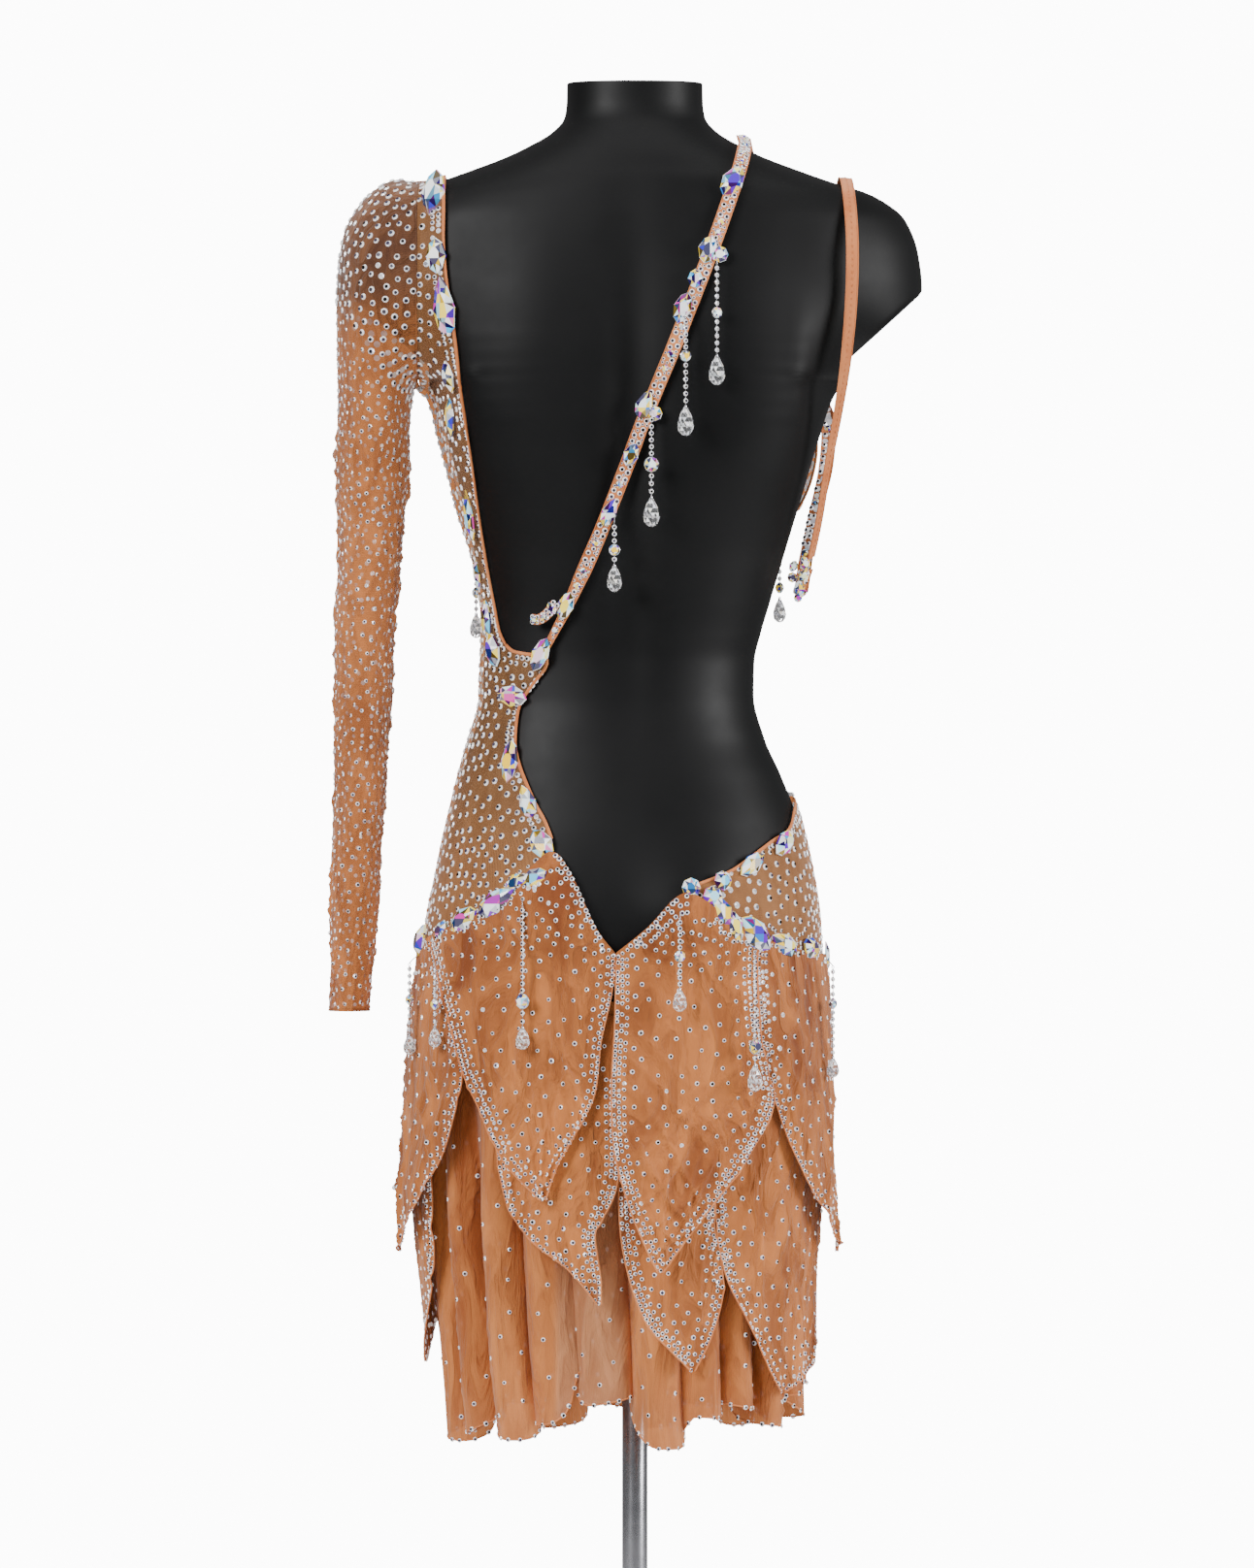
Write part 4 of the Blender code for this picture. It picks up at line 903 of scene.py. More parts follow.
def drape_group() -> bpy.types.NodeTree:
    """Soft crumples, as in cloth that has been worn and hung, with painted shade that follows them and a slow
    random change of tone.
    """
    nodes, given, result = new_group(
        "crumple_and_painted_shade", {"Size": ("Float", 60.0), "Stretch": ("Vector", (1.0, 1.0, 0.3))},
        {"Height": "Float", "Crease_shade_and_tone": "Float"})
    place = nodes.add("TexCoord").outputs["Object"]
    pulled = nodes.add("VectorMath", {0: place, 1: given["Stretch"]}, operation="MULTIPLY").outputs[0]
    small = nodes.add("TexNoise",
                      {"Vector": pulled, "Scale": given["Size"], "Detail": 4.0, "Distortion": 1.2}).outputs[0]
    ridge = nodes.add("Math", {0: nodes.sum_of("SUBTRACT", small, 0.5)}, operation="ABSOLUTE").outputs[0]
    fold = nodes.add("MapRange", {0: ridge, 1: 0.0, 2: 0.10, 3: 1.0, 4: 0.0},
                     interpolation_type="SMOOTHSTEP").outputs[0]
    slow = nodes.add("TexNoise", {"Vector": pulled, "Scale": 11.0, "Detail": 3.0}).outputs[0]
    # Painted shade: half the tone follows the crumples, so their hollows are painted darker; the other half is
    # slow random tone.
    shade_and_tone = nodes.sum_of("ADD", nodes.sum_of("MULTIPLY", small, 0.5), nodes.sum_of("MULTIPLY", slow, 0.5))
    height = nodes.sum_of("ADD", nodes.sum_of("MULTIPLY", fold, 0.35), small)
    nodes.tree.links.new(height, result.inputs["Height"])
    nodes.tree.links.new(shade_and_tone, result.inputs["Crease_shade_and_tone"])
    return nodes.tree


def aurora_group() -> bpy.types.NodeTree:
    """A rainbow film and a painted shade: each facet takes a colour, and a painted light or dark, from the way
    it faces and from where it is.
    """
    nodes, given, result = new_group(
        "aurora_film_and_painted_sparkle", {"Turns": ("Float", 1.4), "Spread": ("Float", 26.0), "Strength": ("Float", 0.6)},
        {"Color": "Color", "Painted_facet_shade": "Float"})
    coordinates = nodes.add("TexCoord").outputs
    facing = nodes.add("VectorMath", {0: coordinates["Normal"], 1: (1.3, 0.7, 2.1)},
                       operation="DOT_PRODUCT").outputs["Value"]
    place = nodes.add("TexWhiteNoise", {0: nodes.add("VectorMath", {
        0: nodes.add("VectorMath", {0: coordinates["Object"], "Scale": given["Spread"]},
                     operation="SCALE").outputs[0]},
        operation="FLOOR").outputs[0]}, noise_dimensions="3D").outputs["Value"]
    phase = nodes.sum_of("ADD", nodes.sum_of("MULTIPLY", facing, given["Turns"]), place)
    phase = nodes.add("Math", {0: phase}, operation="FRACT").outputs[0]
    film = nodes.ramp(phase, (
        (0.00, srgb(255, 255, 255)), (0.06, srgb(255, 255, 255)), (0.10, srgb(255, 206, 30)),
        (0.32, srgb(255, 232, 96)), (0.36, srgb(190, 244, 255)), (0.46, srgb(60, 190, 240)),
        (0.52, srgb(40, 50, 190)), (0.61, srgb(105, 25, 190)), (0.68, srgb(220, 50, 160)),
        (0.74, srgb(255, 255, 255)), (0.88, srgb(235, 250, 255)), (1.00, srgb(255, 255, 255))))
    mixed = nodes.add("Mix", {0: given["Strength"], MIX_A: (1, 1, 1, 1), MIX_B: film},
                      data_type="RGBA").outputs[2]
    # Painted sparkle: each facet is painted lighter or darker by the way it faces and where it is, as if it
    # caught or missed the light.
    shade = nodes.add("Math", {0: nodes.sum_of("MULTIPLY", nodes.sum_of("ADD", facing, place), 3.7)},
                      operation="FRACT")
    nodes.tree.links.new(mixed, result.inputs["Color"])
    nodes.tree.links.new(shade.outputs[0], result.inputs["Painted_facet_shade"])
    return nodes.tree


def zone_group() -> bpy.types.NodeTree:
    """One inside a box, fading to nothing at its sides."""
    nodes, given, result = new_group(
        "soft_zone",
        {"Low": ("Vector", (0.0, 0.0, 0.0)), "High": ("Vector", (1.0, 1.0, 1.0)), "Soft": ("Float", 0.01)},
        {"Mask": "Float"})
    place = nodes.add("TexCoord").outputs["Object"]
    above = nodes.add("VectorMath", {0: place, 1: given["Low"]}, operation="SUBTRACT").outputs[0]
    below = nodes.add("VectorMath", {0: given["High"], 1: place}, operation="SUBTRACT").outputs[0]
    inner = nodes.add("VectorMath", {0: above, 1: below}, operation="MINIMUM").outputs[0]
    sides = nodes.add("SeparateXYZ", {0: inner}).outputs
    nearest = nodes.sum_of("MINIMUM", nodes.sum_of("MINIMUM", sides[0], sides[1]), sides[2])
    mask = nodes.add("MapRange", {0: nearest, 1: 0.0, 2: given["Soft"]},
                     interpolation_type="SMOOTHSTEP").outputs[0]
    nodes.tree.links.new(mask, result.inputs["Mask"])
    return nodes.tree


def handling_group() -> bpy.types.NodeTree:
    """Fine scuffs and finger haze on a hard surface."""
    nodes, given, result = new_group(
        "handling_marks", {"Low": ("Float", 0.2), "High": ("Float", 0.35)},
        {"Roughness": "Float", "Height": "Float"})
    place = nodes.add("TexCoord").outputs["Object"]
    haze = nodes.add("TexNoise", {"Vector": place, "Scale": 14.0, "Detail": 4.0, "Roughness": 0.6}).outputs[0]
    grain = nodes.add("TexNoise", {"Vector": place, "Scale": 420.0, "Detail": 2.0}).outputs[0]
    spread = nodes.add("MapRange", {0: haze, 1: 0.3, 2: 0.7, 3: given["Low"], 4: given["High"]}).outputs[0]
    nodes.tree.links.new(spread, result.inputs["Roughness"])
    nodes.tree.links.new(grain, result.inputs["Height"])
    return nodes.tree


GROUPS: dict[str, bpy.types.NodeTree] = {}


def group_of(maker: Callable[[], bpy.types.NodeTree]) -> bpy.types.NodeTree:
    """The group that a maker makes, made once."""
    if maker.__name__ not in GROUPS:
        GROUPS[maker.__name__] = maker()
    return GROUPS[maker.__name__]


def new_material(name: str, **values: object) -> tuple[bpy.types.Material, Nodes, bpy.types.Node]:
    """A material with a Principled shader.

    Args:
        name: its name.
        values: the shader's own values, with _ for spaces.

    Returns:
        The material, its nodes and its shader.
    """
    material = bpy.data.materials.new(name)
    material.use_nodes = True
    shader = material.node_tree.nodes["Principled BSDF"]
    labels = {label.lower().replace(" ", "_"): label for label in shader.inputs.keys()}
    for key, value in values.items():
        shader.inputs[labels[key]].default_value = (*value, 1.0) if isinstance(value, tuple) else value
    return material, Nodes(material.node_tree), shader


def place_group(nodes: Nodes, maker: Callable[[], bpy.types.NodeTree],
                **values: float | tuple) -> bpy.types.Node:
    """A group in a material's tree, with its own values."""
    node = nodes.add("Group", node_tree=group_of(maker))
    for label, value in values.items():
        node.inputs[label.capitalize()].default_value = value
    return node


@dataclass(frozen=True)
class Zone:
    """A box in which a cloth looks different: how soft its sides are, the cover it adds and its tint."""

    low: tuple[float, float, float]
    high: tuple[float, float, float]
    soft: float
    cover: float = 0.0
    shade: Colour = (1.0, 1.0, 1.0)


@dataclass(frozen=True)
class Fabric:
    """A cloth's look: its light and deep colours, between which the painted shade of its crumples and its
    random tone run, how much of what is behind it covers, and its threads.
    """

    name: str
    light: Colour
    deep_tone_and_crease_shade: Colour
    cover: tuple[float, float]
    threads: float
    crumple: float = 60.0
    crumple_depth: float = 0.0012
    stretch: tuple[float, float, float] = (1.0, 1.0, 0.3)
    sheen: float = 0.18
    roughness: float = 0.78
    zones: tuple[Zone, ...] = ()

    def make(self) -> bpy.types.Material:
        """The fabric's material."""
        material, nodes, shader = new_material(
            self.name, roughness=self.roughness, sheen_weight=self.sheen, specular_ior_level=0.25)
        weave = place_group(nodes, weave_group, threads=self.threads).outputs
        drape = place_group(nodes, drape_group, size=self.crumple, stretch=self.stretch).outputs
        # Painted shade: the crumples' hollows take the deep colour and their crests the light one, mixed with
        # random tone.
        colour = nodes.ramp(drape["Crease_shade_and_tone"], ((0.36, self.deep_tone_and_crease_shade), (0.64, self.light)))
        bare, full = self.cover
        cover = nodes.add("MapRange", {0: weave["Cover"], 1: 0.0, 2: 1.0, 3: bare, 4: full}).outputs[0]
        for zone in self.zones:
            mask = place_group(nodes, zone_group, low=zone.low, high=zone.high, soft=zone.soft).outputs[0]
            colour = nodes.add("Mix", {0: mask, MIX_A: colour, MIX_B: (*zone.shade, 1.0)}, data_type="RGBA",
                               blend_type="MULTIPLY").outputs[2]
            cover = nodes.sum_of("ADD", cover, nodes.sum_of("MULTIPLY", mask, zone.cover))
        links = nodes.tree.links
        links.new(colour, shader.inputs["Base Color"])
        if self.cover[1] < 1.0:
            links.new(cover, shader.inputs["Alpha"])
        fine = nodes.add("Bump", {"Height": weave["Height"], "Strength": 0.25, "Distance": 0.0003})
        soft = nodes.add("Bump", {"Height": drape["Height"], "Strength": 0.7, "Distance": self.crumple_depth,
                                  "Normal": fine.outputs[0]})
        links.new(soft.outputs[0], shader.inputs["Normal"])
        return material


@dataclass(frozen=True)
class Hard:
    """A hard finish: gloss moulding or satin metal."""

    name: str
    colour: Colour
    low: float
    high: float
    metallic: float = 0.0
    coat: float = 0.0
    grain_depth: float = 0.00002
    specular: float = 0.5

    def make(self) -> bpy.types.Material:
        """The finish's material."""
        material, nodes, shader = new_material(
            self.name, base_color=self.colour, metallic=self.metallic, coat_weight=self.coat,
            coat_roughness=0.12,
            specular_ior_level=self.specular)
        marks = place_group(nodes, handling_group, low=self.low, high=self.high).outputs
        nodes.tree.links.new(marks["Roughness"], shader.inputs["Roughness"])
        bump = nodes.add("Bump", {"Height": marks["Height"], "Strength": 0.3, "Distance": self.grain_depth})
        nodes.tree.links.new(bump.outputs[0], shader.inputs["Normal"])
        return material


@dataclass(frozen=True)
class Gem:
    """A foil-backed stone's facets: the painted shaded and lit colours that they run between, facet by facet,
    and how much rainbow film they carry.
    """

    name: str
    shaded_facet: Colour
    lit_facet: Colour
    film: float
    turns: float
    spread: float
    metallic: float
    roughness: float
    painted_glow: float = 0.0

    def make(self) -> bpy.types.Material:
        """The facets' material, with a painted glow: emission that stands in for the light that its foil sends
        back.
        """
        material, nodes, shader = new_material(
            self.name, metallic=self.metallic, roughness=self.roughness, specular_ior_level=0.5,
            emission_strength=self.painted_glow)
        film = place_group(nodes, aurora_group, turns=self.turns, spread=self.spread,
                           strength=self.film).outputs
        # Painted sparkle: each facet is painted between its shaded and its lit colour.
        shade_and_tone = nodes.ramp(film["Painted_facet_shade"], ((0.22, self.shaded_facet), (0.50, self.lit_facet)))
        colour = nodes.add("Mix", {0: 1.0, MIX_A: shade_and_tone, MIX_B: film["Color"]}, data_type="RGBA",
                           blend_type="MULTIPLY")
        nodes.tree.links.new(colour.outputs[2], shader.inputs["Base Color"])
        # Painted light: the facets glow in their own colour, though no lamp is in them.
        nodes.tree.links.new(colour.outputs[2], shader.inputs["Emission Color"])
        return material


@dataclass
class Gems:
    """The stones' materials, with painted light on the stones: crown facets painted near white with a glow,
    tables painted dark as a reflection, rainbow stones with painted sparkle, clear crystal and silver.
    """

    painted_lit_facets: bpy.types.Material = field(init=False)
    tables: bpy.types.Material = field(init=False)
    aurora: bpy.types.Material = field(init=False)
    clear: bpy.types.Material = field(init=False)
    silver: bpy.types.Material = field(init=False)

    def __post_init__(self) -> None:
        """Makes each material once."""
        # Painted highlight: crown facets painted near white with a glow; tables painted near black as a dark
        # reflection.
        self.painted_lit_facets = Gem("stud_facets_painted_lit", srgb(214, 214, 220), srgb(255, 255, 255), 0.14, 1.3, 160.0, 0.10,
                          0.12, 0.30).make()
        self.tables = Gem("stud_table_painted_dark", srgb(8, 8, 12), srgb(74, 70, 86), 0.40, 0.6, 220.0, 0.10, 0.08).make()
        # Painted sparkle: the rainbow stones' facets are painted light or dark by the way they face, and glow.
        self.aurora = Gem("aurora_stone", srgb(70, 66, 92), srgb(255, 255, 255), 1.0, 0.7, 90.0, 0.0, 0.08,
                          0.34).make()
        self.silver = Hard("cup_chain_silver", srgb(205, 205, 210), 0.18, 0.32, metallic=1.0).make()
        self.clear = self.make_clear()

    def make_clear(self) -> bpy.types.Material:
        """Clear cut crystal."""
        material, nodes, shader = new_material(
            "clear_crystal", base_color=(0.97, 0.98, 1.0), transmission_weight=0.95, ior=1.62, metallic=0.0)
        marks = place_group(nodes, handling_group, low=0.0, high=0.03).outputs
        nodes.tree.links.new(marks["Roughness"], shader.inputs["Roughness"])
        return material


# ---- Cloth cuts ----


class Held(Enum):
    """How a sheet is held."""

    STRETCHED = "stretched"
    GATHERED = "gathered"
    HUNG = "hung"


@dataclass(frozen=True)
class Cut:
    """A sheet's flat cut before it was sewn: its width, length and area, how it is held and by what."""

    width: float
    length: float
    area: float
    held: Held
    rests_on: tuple[str, ...]


BACK_LEFT_CUT = Cut(0.166, 0.628, 0.0360, Held.STRETCHED, ("torso",))
RIGHT_HIP_CUT = Cut(0.160, 0.118, 0.0110, Held.STRETCHED, ("torso",))
FRONT_CUT = Cut(0.370, 0.920, 0.1430, Held.STRETCHED, ("torso",))
SLEEVE_CUT = Cut(0.547, 0.625, 0.1487, Held.HUNG, ("back_left_mesh", "front_mesh"))
STRAP_CUT = Cut(0.0102, 0.675, 0.0068, Held.STRETCHED, ("torso",))
PLAIN_CUT = Cut(0.0100, 0.540, 0.0048, Held.STRETCHED, ("front_mesh",))
LOOP_CUT = Cut(0.0102, 0.222, 0.0022, Held.HUNG, ("front_mesh",))
UNDERSKIRT_CUTS = (
    Cut(0.761, 0.334, 0.1913, Held.GATHERED, ("torso",)),
    Cut(0.785, 0.328, 0.1969, Held.GATHERED, ("torso",)))
PETAL_CUTS = {name: Cut(*size, Held.HUNG, ("torso",)) for name, size in {
    "petal_back_left": (0.216, 0.262, 0.0252), "petal_back_right": (0.153, 0.286, 0.0269),
    "petal_side_right": (0.198, 0.260, 0.0320), "petal_side_left": (0.176, 0.275, 0.0291),
    "petal_front_left": (0.140, 0.210, 0.0187), "petal_front_right": (0.140, 0.212, 0.0191),
    "lower_petal_back_left": (0.118, 0.244, 0.0178), "lower_petal_back_right": (0.080, 0.278, 0.0190),
    "lower_petal_far_right": (0.195, 0.330, 0.0445), "lower_petal_far_left": (0.195, 0.298, 0.0391),
    "lower_petal_front_left": (0.129, 0.276, 0.0268), "lower_petal_front_right": (0.140, 0.277, 0.0280),
}.items()}


def finish_cloth(piece: bpy.types.Object, cut: Cut, nodes: Sequence[str]) -> None:
    """Ties a cloth piece to the dress and hides the solids that it replaces.

    Args:
        piece: the cloth.
        cut: its flat size.
        nodes: the solids that it replaces.
    """
    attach(piece, ROOT_BODY)
    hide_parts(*nodes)
    list(cut.rests_on)
    LOG.info("cloth %s", piece.name)


def add_trim(parts: MeshParts, name: str, materials: Sequence[bpy.types.Material],
             nodes: Sequence[str] = ()) -> bpy.types.Object:
    """Builds a piece that isn't a cloth sheet with a cut, and ties it to the dress.

    Args:
        parts: its shape.
        name: its name.
        materials: the material of each of its slots.
        nodes: the solids that it replaces.

    Returns:
        The piece.
    """
    piece = parts.build(name, materials)
    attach(piece, ROOT_BODY)
    if nodes:
        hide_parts(*nodes)
    return piece


def ripple(angle: Array, z: Array, seed: int, across: float, down: float) -> Array:
    """A smooth uneven field between -1 and 1.

    Args:
        angle: the angle round the body.
        z: the height.
        seed: picks its pattern.
        across: how many swings it has for each radian.
        down: how many for each 100 mm of height.

    Returns:
        The field at each point.
    """
    random = np.random.default_rng(seed)
    total = np.zeros(np.shape(z))
    for _ in range(5):
        lean, swing, phase = random.uniform(-1, 1), random.uniform(0.6, 1.5), random.uniform(0, 6.28)
        total += np.sin(across * swing * angle + down * lean * z * 62.8 + phase)
    return total / 3.0


def creases(angle: Array, z: Array, seed: int, count: int = 6, wide: float = 1.0) -> Array:
    """Thin raised creases that run mostly down the cloth and come and go.

    Args:
        angle: the angle round the body.
        z: the height.
        seed: picks their pattern.
        count: how many sets of them there are.
        wide: how far apart they are.

    Returns:
        Their height, from 0 to about 1.
    """
    random = np.random.default_rng(seed)
    across = angle * 0.150
    total = np.zeros(np.shape(z))
    for _ in range(count):
        lean = random.uniform(-0.8, 0.8)
        apart = random.uniform(0.016, 0.040) * wide
        phase = random.uniform(0, 6.28)
        wander = 0.7 * np.sin(z * random.uniform(30, 60) + phase)
        wander = wander + 0.5 * np.sin(across * random.uniform(30, 60))
        turns = math.pi * (across * math.cos(lean) + z * math.sin(lean)) / apart + phase + wander
        there = np.sin(across * random.uniform(20, 45) + z * random.uniform(-40, 40) + phase * 3)
        total += (1 - np.abs(np.sin(turns))) ** 4 * smoothstep(-0.1, 0.9, there)
    return total


# ---- The form and its stand ----


def turned(profile: Sequence[Place], steps: int, smooth: bool = True) -> MeshParts:
    """A turned solid.

    Args:
        profile: (radius, height) from top to bottom, without the points on the axis.
        steps: how many sides it has.
        smooth: whether its faces are shaded smooth.

    Returns:
        Its shape, ready to be built.
    """
    parts = MeshParts()
    angles = np.arange(steps) * 2 * math.pi / steps
    rings = np.array([[(r * math.cos(a), r * math.sin(a), z) for a in angles] for r, z in profile])
    parts.add(rings.reshape(-1, 3), tube_faces(len(profile), steps), smooth=smooth)
    return parts


@dataclass
class FormAndStand:
    """The gloss limbless torso, its steel pole and its round base."""

    columns: int = 200
    rows: int = 240
    sides: int = 96
    torso_crease: float = math.radians(38)
    stand_crease: float = math.radians(50)
    base_radius: float = 0.145
    base_height: float = 0.012
    pole_radius: float = 0.0095

    def build_torso(self) -> None:
        """Makes the torso, with a flat neck and slanted shoulder ends."""
        even_rows = np.linspace(FORM_ROWS[0].height, FORM_BOTTOM, self.rows)
        stump_rows = np.linspace(0.9300, 0.9460, 12)[1:-1]
        heights = np.sort(np.concatenate([even_rows, stump_rows]))[::-1]
        angles = np.linspace(0, 2 * math.pi, self.columns, endpoint=False)
        angle, z = np.meshgrid(angles, heights)
        points = FORM.form_point(angle, z)
        rim = points[:1] * np.array([0.985, 0.985, 1.0]) + np.array([0.0, 0.0, 0.0006])
        foot = points[-1:] * np.array([0.93, 0.93, 1.0]) - np.array([0.0, 0.0, 0.0004])
        rings = np.concatenate([rim, points, foot])
        parts = MeshParts()
        parts.add(rings.reshape(-1, 3), tube_faces(len(rings), self.columns, flipped=True), smooth=True)
        black = Hard("form_satin_black", srgb(5, 5, 6), 0.50, 0.60, specular=0.26).make()
        torso = add_trim(parts, "torso", [black], ["form_torso"])
        torso.data.set_sharp_from_angle(angle=self.torso_crease)

    def build_stand(self) -> None:
        """Makes the pole, which stops just under the torso, and the base."""
        steel = Hard("satin_steel", srgb(175, 175, 180), 0.22, 0.34, metallic=1.0).make()
        top, pole = FORM_BOTTOM - 0.0004, self.pole_radius
        base, height = self.base_radius, self.base_height
        for name, profile in (
            ("pole", ((pole - 0.001, top), (pole, top - 0.001),
                      (pole, height + 0.0013), (pole - 0.001, height + 0.0005))),
            ("base", ((0.018, height), (base - 0.006, height), (base - 0.0025, height - 0.0006),
                      (base - 0.0006, height - 0.0022), (base, height - 0.004), (base, 0.0015),
                      (base - 0.0012, 0.0))),
        ):
            piece = add_trim(turned(profile, self.sides), name, [steel], ["stand_" + name])
            piece.data.set_sharp_from_angle(angle=self.stand_crease)

    def build(self) -> None:
        """Makes both."""
        self.build_torso()
        self.build_stand()
        LOG.info("torso and stand")


# ---- Cloth materials ----


@dataclass
class Fabrics:
    """The dress's fabrics."""

    mesh: bpy.types.Material = field(init=False)
    sleeve: bpy.types.Material = field(init=False)
    petal: bpy.types.Material = field(init=False)
    sheer: bpy.types.Material = field(init=False)
    elastic: bpy.types.Material = field(init=False)

    def __post_init__(self) -> None:
        """Makes each fabric once."""
        # Each fabric's second colour is its deep tone, which also paints the shade in its crumples.
        self.mesh = Fabric("stretch_mesh_body", srgb(182, 130, 84), srgb(150, 102, 60), (0.32, 0.42), 850.0,
                           crumple_depth=0.0003,
                           zones=(Zone((-1.0, -1.0, -1.0), (1.0, 1.0, 0.680), 0.14, 0.26, (1.04, 0.93, 0.84)),
                                  Zone((-1.0, -1.0, 0.800), (1.0, 1.0, 2.0), 0.14, 0.04,
                                       (1.02, 0.93, 0.86)))).make()
        self.sleeve = Fabric("stretch_mesh_sleeve", srgb(213, 131, 69), srgb(122, 61, 25), (0.46, 0.58),
                             850.0, crumple=60.0, crumple_depth=0.0034, stretch=(1.0, 1.0, 0.45),
                             zones=(Zone((-1.0, -1.0, 0.955), (1.0, 1.0, 2.0), 0.05, 0.26,
                                         (0.31, 0.35, 0.50)),)).make()
        self.petal = Fabric("skirt_crepe", srgb(199, 120, 60), srgb(122, 60, 20), (0.92, 0.98), 1100.0,
                            crumple=46.0, crumple_depth=0.0042, stretch=(1.0, 1.0, 0.40)).make()
        self.sheer = Fabric("skirt_sheer", srgb(210, 131, 70), srgb(142, 72, 28), (0.78, 0.91), 1100.0,
                            crumple=60.0, crumple_depth=0.0026, stretch=(1.0, 1.0, 0.22),
                            zones=(Zone((0.003, 0.0, 0.0), (0.062, 1.0, 0.335), 0.008, -0.10,
                                        (0.94, 1.16, 1.9)),
                                   Zone((-1.0, -1.0, -1.0), (1.0, 1.0, 0.196), 0.04, -0.14,
                                        (1.0, 1.05, 1.22)))).make()
        self.elastic = Fabric("tan_elastic", srgb(212, 134, 82), srgb(192, 106, 56), (1.0, 1.0), 1300.0,
                              crumple_depth=0.0001, sheen=0.1).make()


# ---- Bodice ----

SIDE = math.radians(0.12)
HIP_TUCK = 0.0085

# A row of a bodice panel, from its outer edge (armhole, then side seam) to its free edge: outer height, free
# x and free height. The first ten rows end at the armhole.
BACK_LEFT_ROWS = (
    (1.0778, 0.1405, 1.0822), (1.0735, 0.1405, 1.0775), (1.0660, 0.1405, 1.0690), (1.0530, 0.1405, 1.0550),
    (1.0330, 0.1405, 1.0340), (1.0080, 0.1385, 1.0080), (0.9820, 0.1345, 0.9820), (0.9580, 0.1305, 0.9570),
    (0.9410, 0.1285, 0.9400), (0.9310, 0.1270, 0.9280), (0.9080, 0.1238, 0.9050), (0.8750, 0.1190, 0.8720),
    (0.8400, 0.1140, 0.8350), (0.8050, 0.1085, 0.8000), (0.7750, 0.1025, 0.7680), (0.7550, 0.0980, 0.7450),
    (0.7430, 0.0905, 0.7330), (0.7360, 0.0820, 0.7300), (0.7290, 0.0725, 0.7285), (0.7220, 0.0645, 0.7255),
    (0.7110, 0.0660, 0.7180), (0.6980, 0.0749, 0.7060), (0.6830, 0.0842, 0.6900), (0.6650, 0.0871, 0.6650),
    (0.6480, 0.0850, 0.6490), (0.6280, 0.0790, 0.6320), (0.6050, 0.0725, 0.6170), (0.5750, 0.0665, 0.6060),
    (0.5400, 0.0625, 0.5960), (0.5070, 0.0600, 0.5880),
)
FRONT_ROWS = (
    (1.0778, 0.1405, 1.0822), (1.0735, 0.1400, 1.0770), (1.0660, 0.1380, 1.0680), (1.0530, 0.1340, 1.0540),
    (1.0330, 0.1270, 1.0360), (1.0080, 0.1150, 1.0140), (0.9820, 0.0980, 0.9920), (0.9580, 0.0740, 0.9740),
    (0.9410, 0.0420, 0.9630), (0.9310, 0.0050, 0.9580), (0.9080, -0.0400, 0.9590), (0.8800, -0.0820, 0.9620),
    (0.8550, -0.1120, 0.9420), (0.8350, -0.1270, 0.9100), (0.8150, -0.1290, 0.8780),
    (0.7950, -0.1180, 0.8450), (0.7750, -0.0930, 0.8130), (0.7550, -0.0640, 0.7820),
    (0.7350, -0.0420, 0.7490), (0.7130, -0.0335, 0.7150), (0.6900, -0.0370, 0.6860),
    (0.6680, -0.0540, 0.6620), (0.6450, -0.0780, 0.6430), (0.6280, -0.0960, 0.6325),
    (0.6150, -0.1060, 0.6285), (0.6030, -0.1120, 0.6252), (0.5900, -0.1500, 0.6210),
    (0.5650, -0.1500, 0.5850), (0.5380, -0.1500, 0.5450), (0.5070, -0.1500, 0.5070),
)
ARMHOLE_ROWS = 10
LEFT_HIP = ((0.12, 0.5070), (9.6, 0.5140), (19, 0.5210), (28.5, 0.5290), (38, 0.5350), (48, 0.5450),
            (57.5, 0.5640))
FRONT_HIP = ((180.12, 0.5070), (202.5, 0.4980), (225, 0.4900), (247.5, 0.4840), (270, 0.4820),
             (292.5, 0.4840),
             (315, 0.4900), (337.5, 0.4980), (359.88, 0.5070))
RIGHT_HIP_EDGE = ((-0.0690, 0.5675), (-0.0850, 0.5785), (-0.1000, 0.5900), (-0.1116, 0.5980))

# Large stones: x, height, length, width, and degrees that the lower end leans to the wearer's right.
OPENING_GEMS = (
    (0.1476, 1.0685, 0.0274, 0.0151, 2), (0.1454, 1.0234, 0.0202, 0.0122, 4),
    (0.1390, 0.9846, 0.0302, 0.0137, 8), (0.1346, 0.9370, 0.0180, 0.0108, 5),
    (0.1325, 0.9054, 0.0216, 0.0101, 6), (0.1188, 0.8319, 0.0252, 0.0094, 9),
    (0.1130, 0.7902, 0.0151, 0.0079, 10), (0.1058, 0.7542, 0.0238, 0.0101, 12),
    (0.1015, 0.7318, 0.0187, 0.0122, 22), (0.0886, 0.6980, 0.0209, 0.0122, 80),
    (0.0907, 0.6483, 0.0245, 0.0108, -4), (0.0778, 0.6174, 0.0173, 0.0101, 22),
    (0.0677, 0.5864, 0.0194, 0.0130, 32),
)
LEFT_HIP_GEMS = (
    (0.0727, 0.5612, 0.0144, 0.0094, -60), (0.0850, 0.5583, 0.0122, 0.0086, -60),
    (0.0994, 0.5439, 0.0230, 0.0122, -58), (0.1224, 0.5317, 0.0202, 0.0115, -62),
    (0.1382, 0.5238, 0.0115, 0.0086, -50), (0.1526, 0.5158, 0.0194, 0.0122, -50),
)
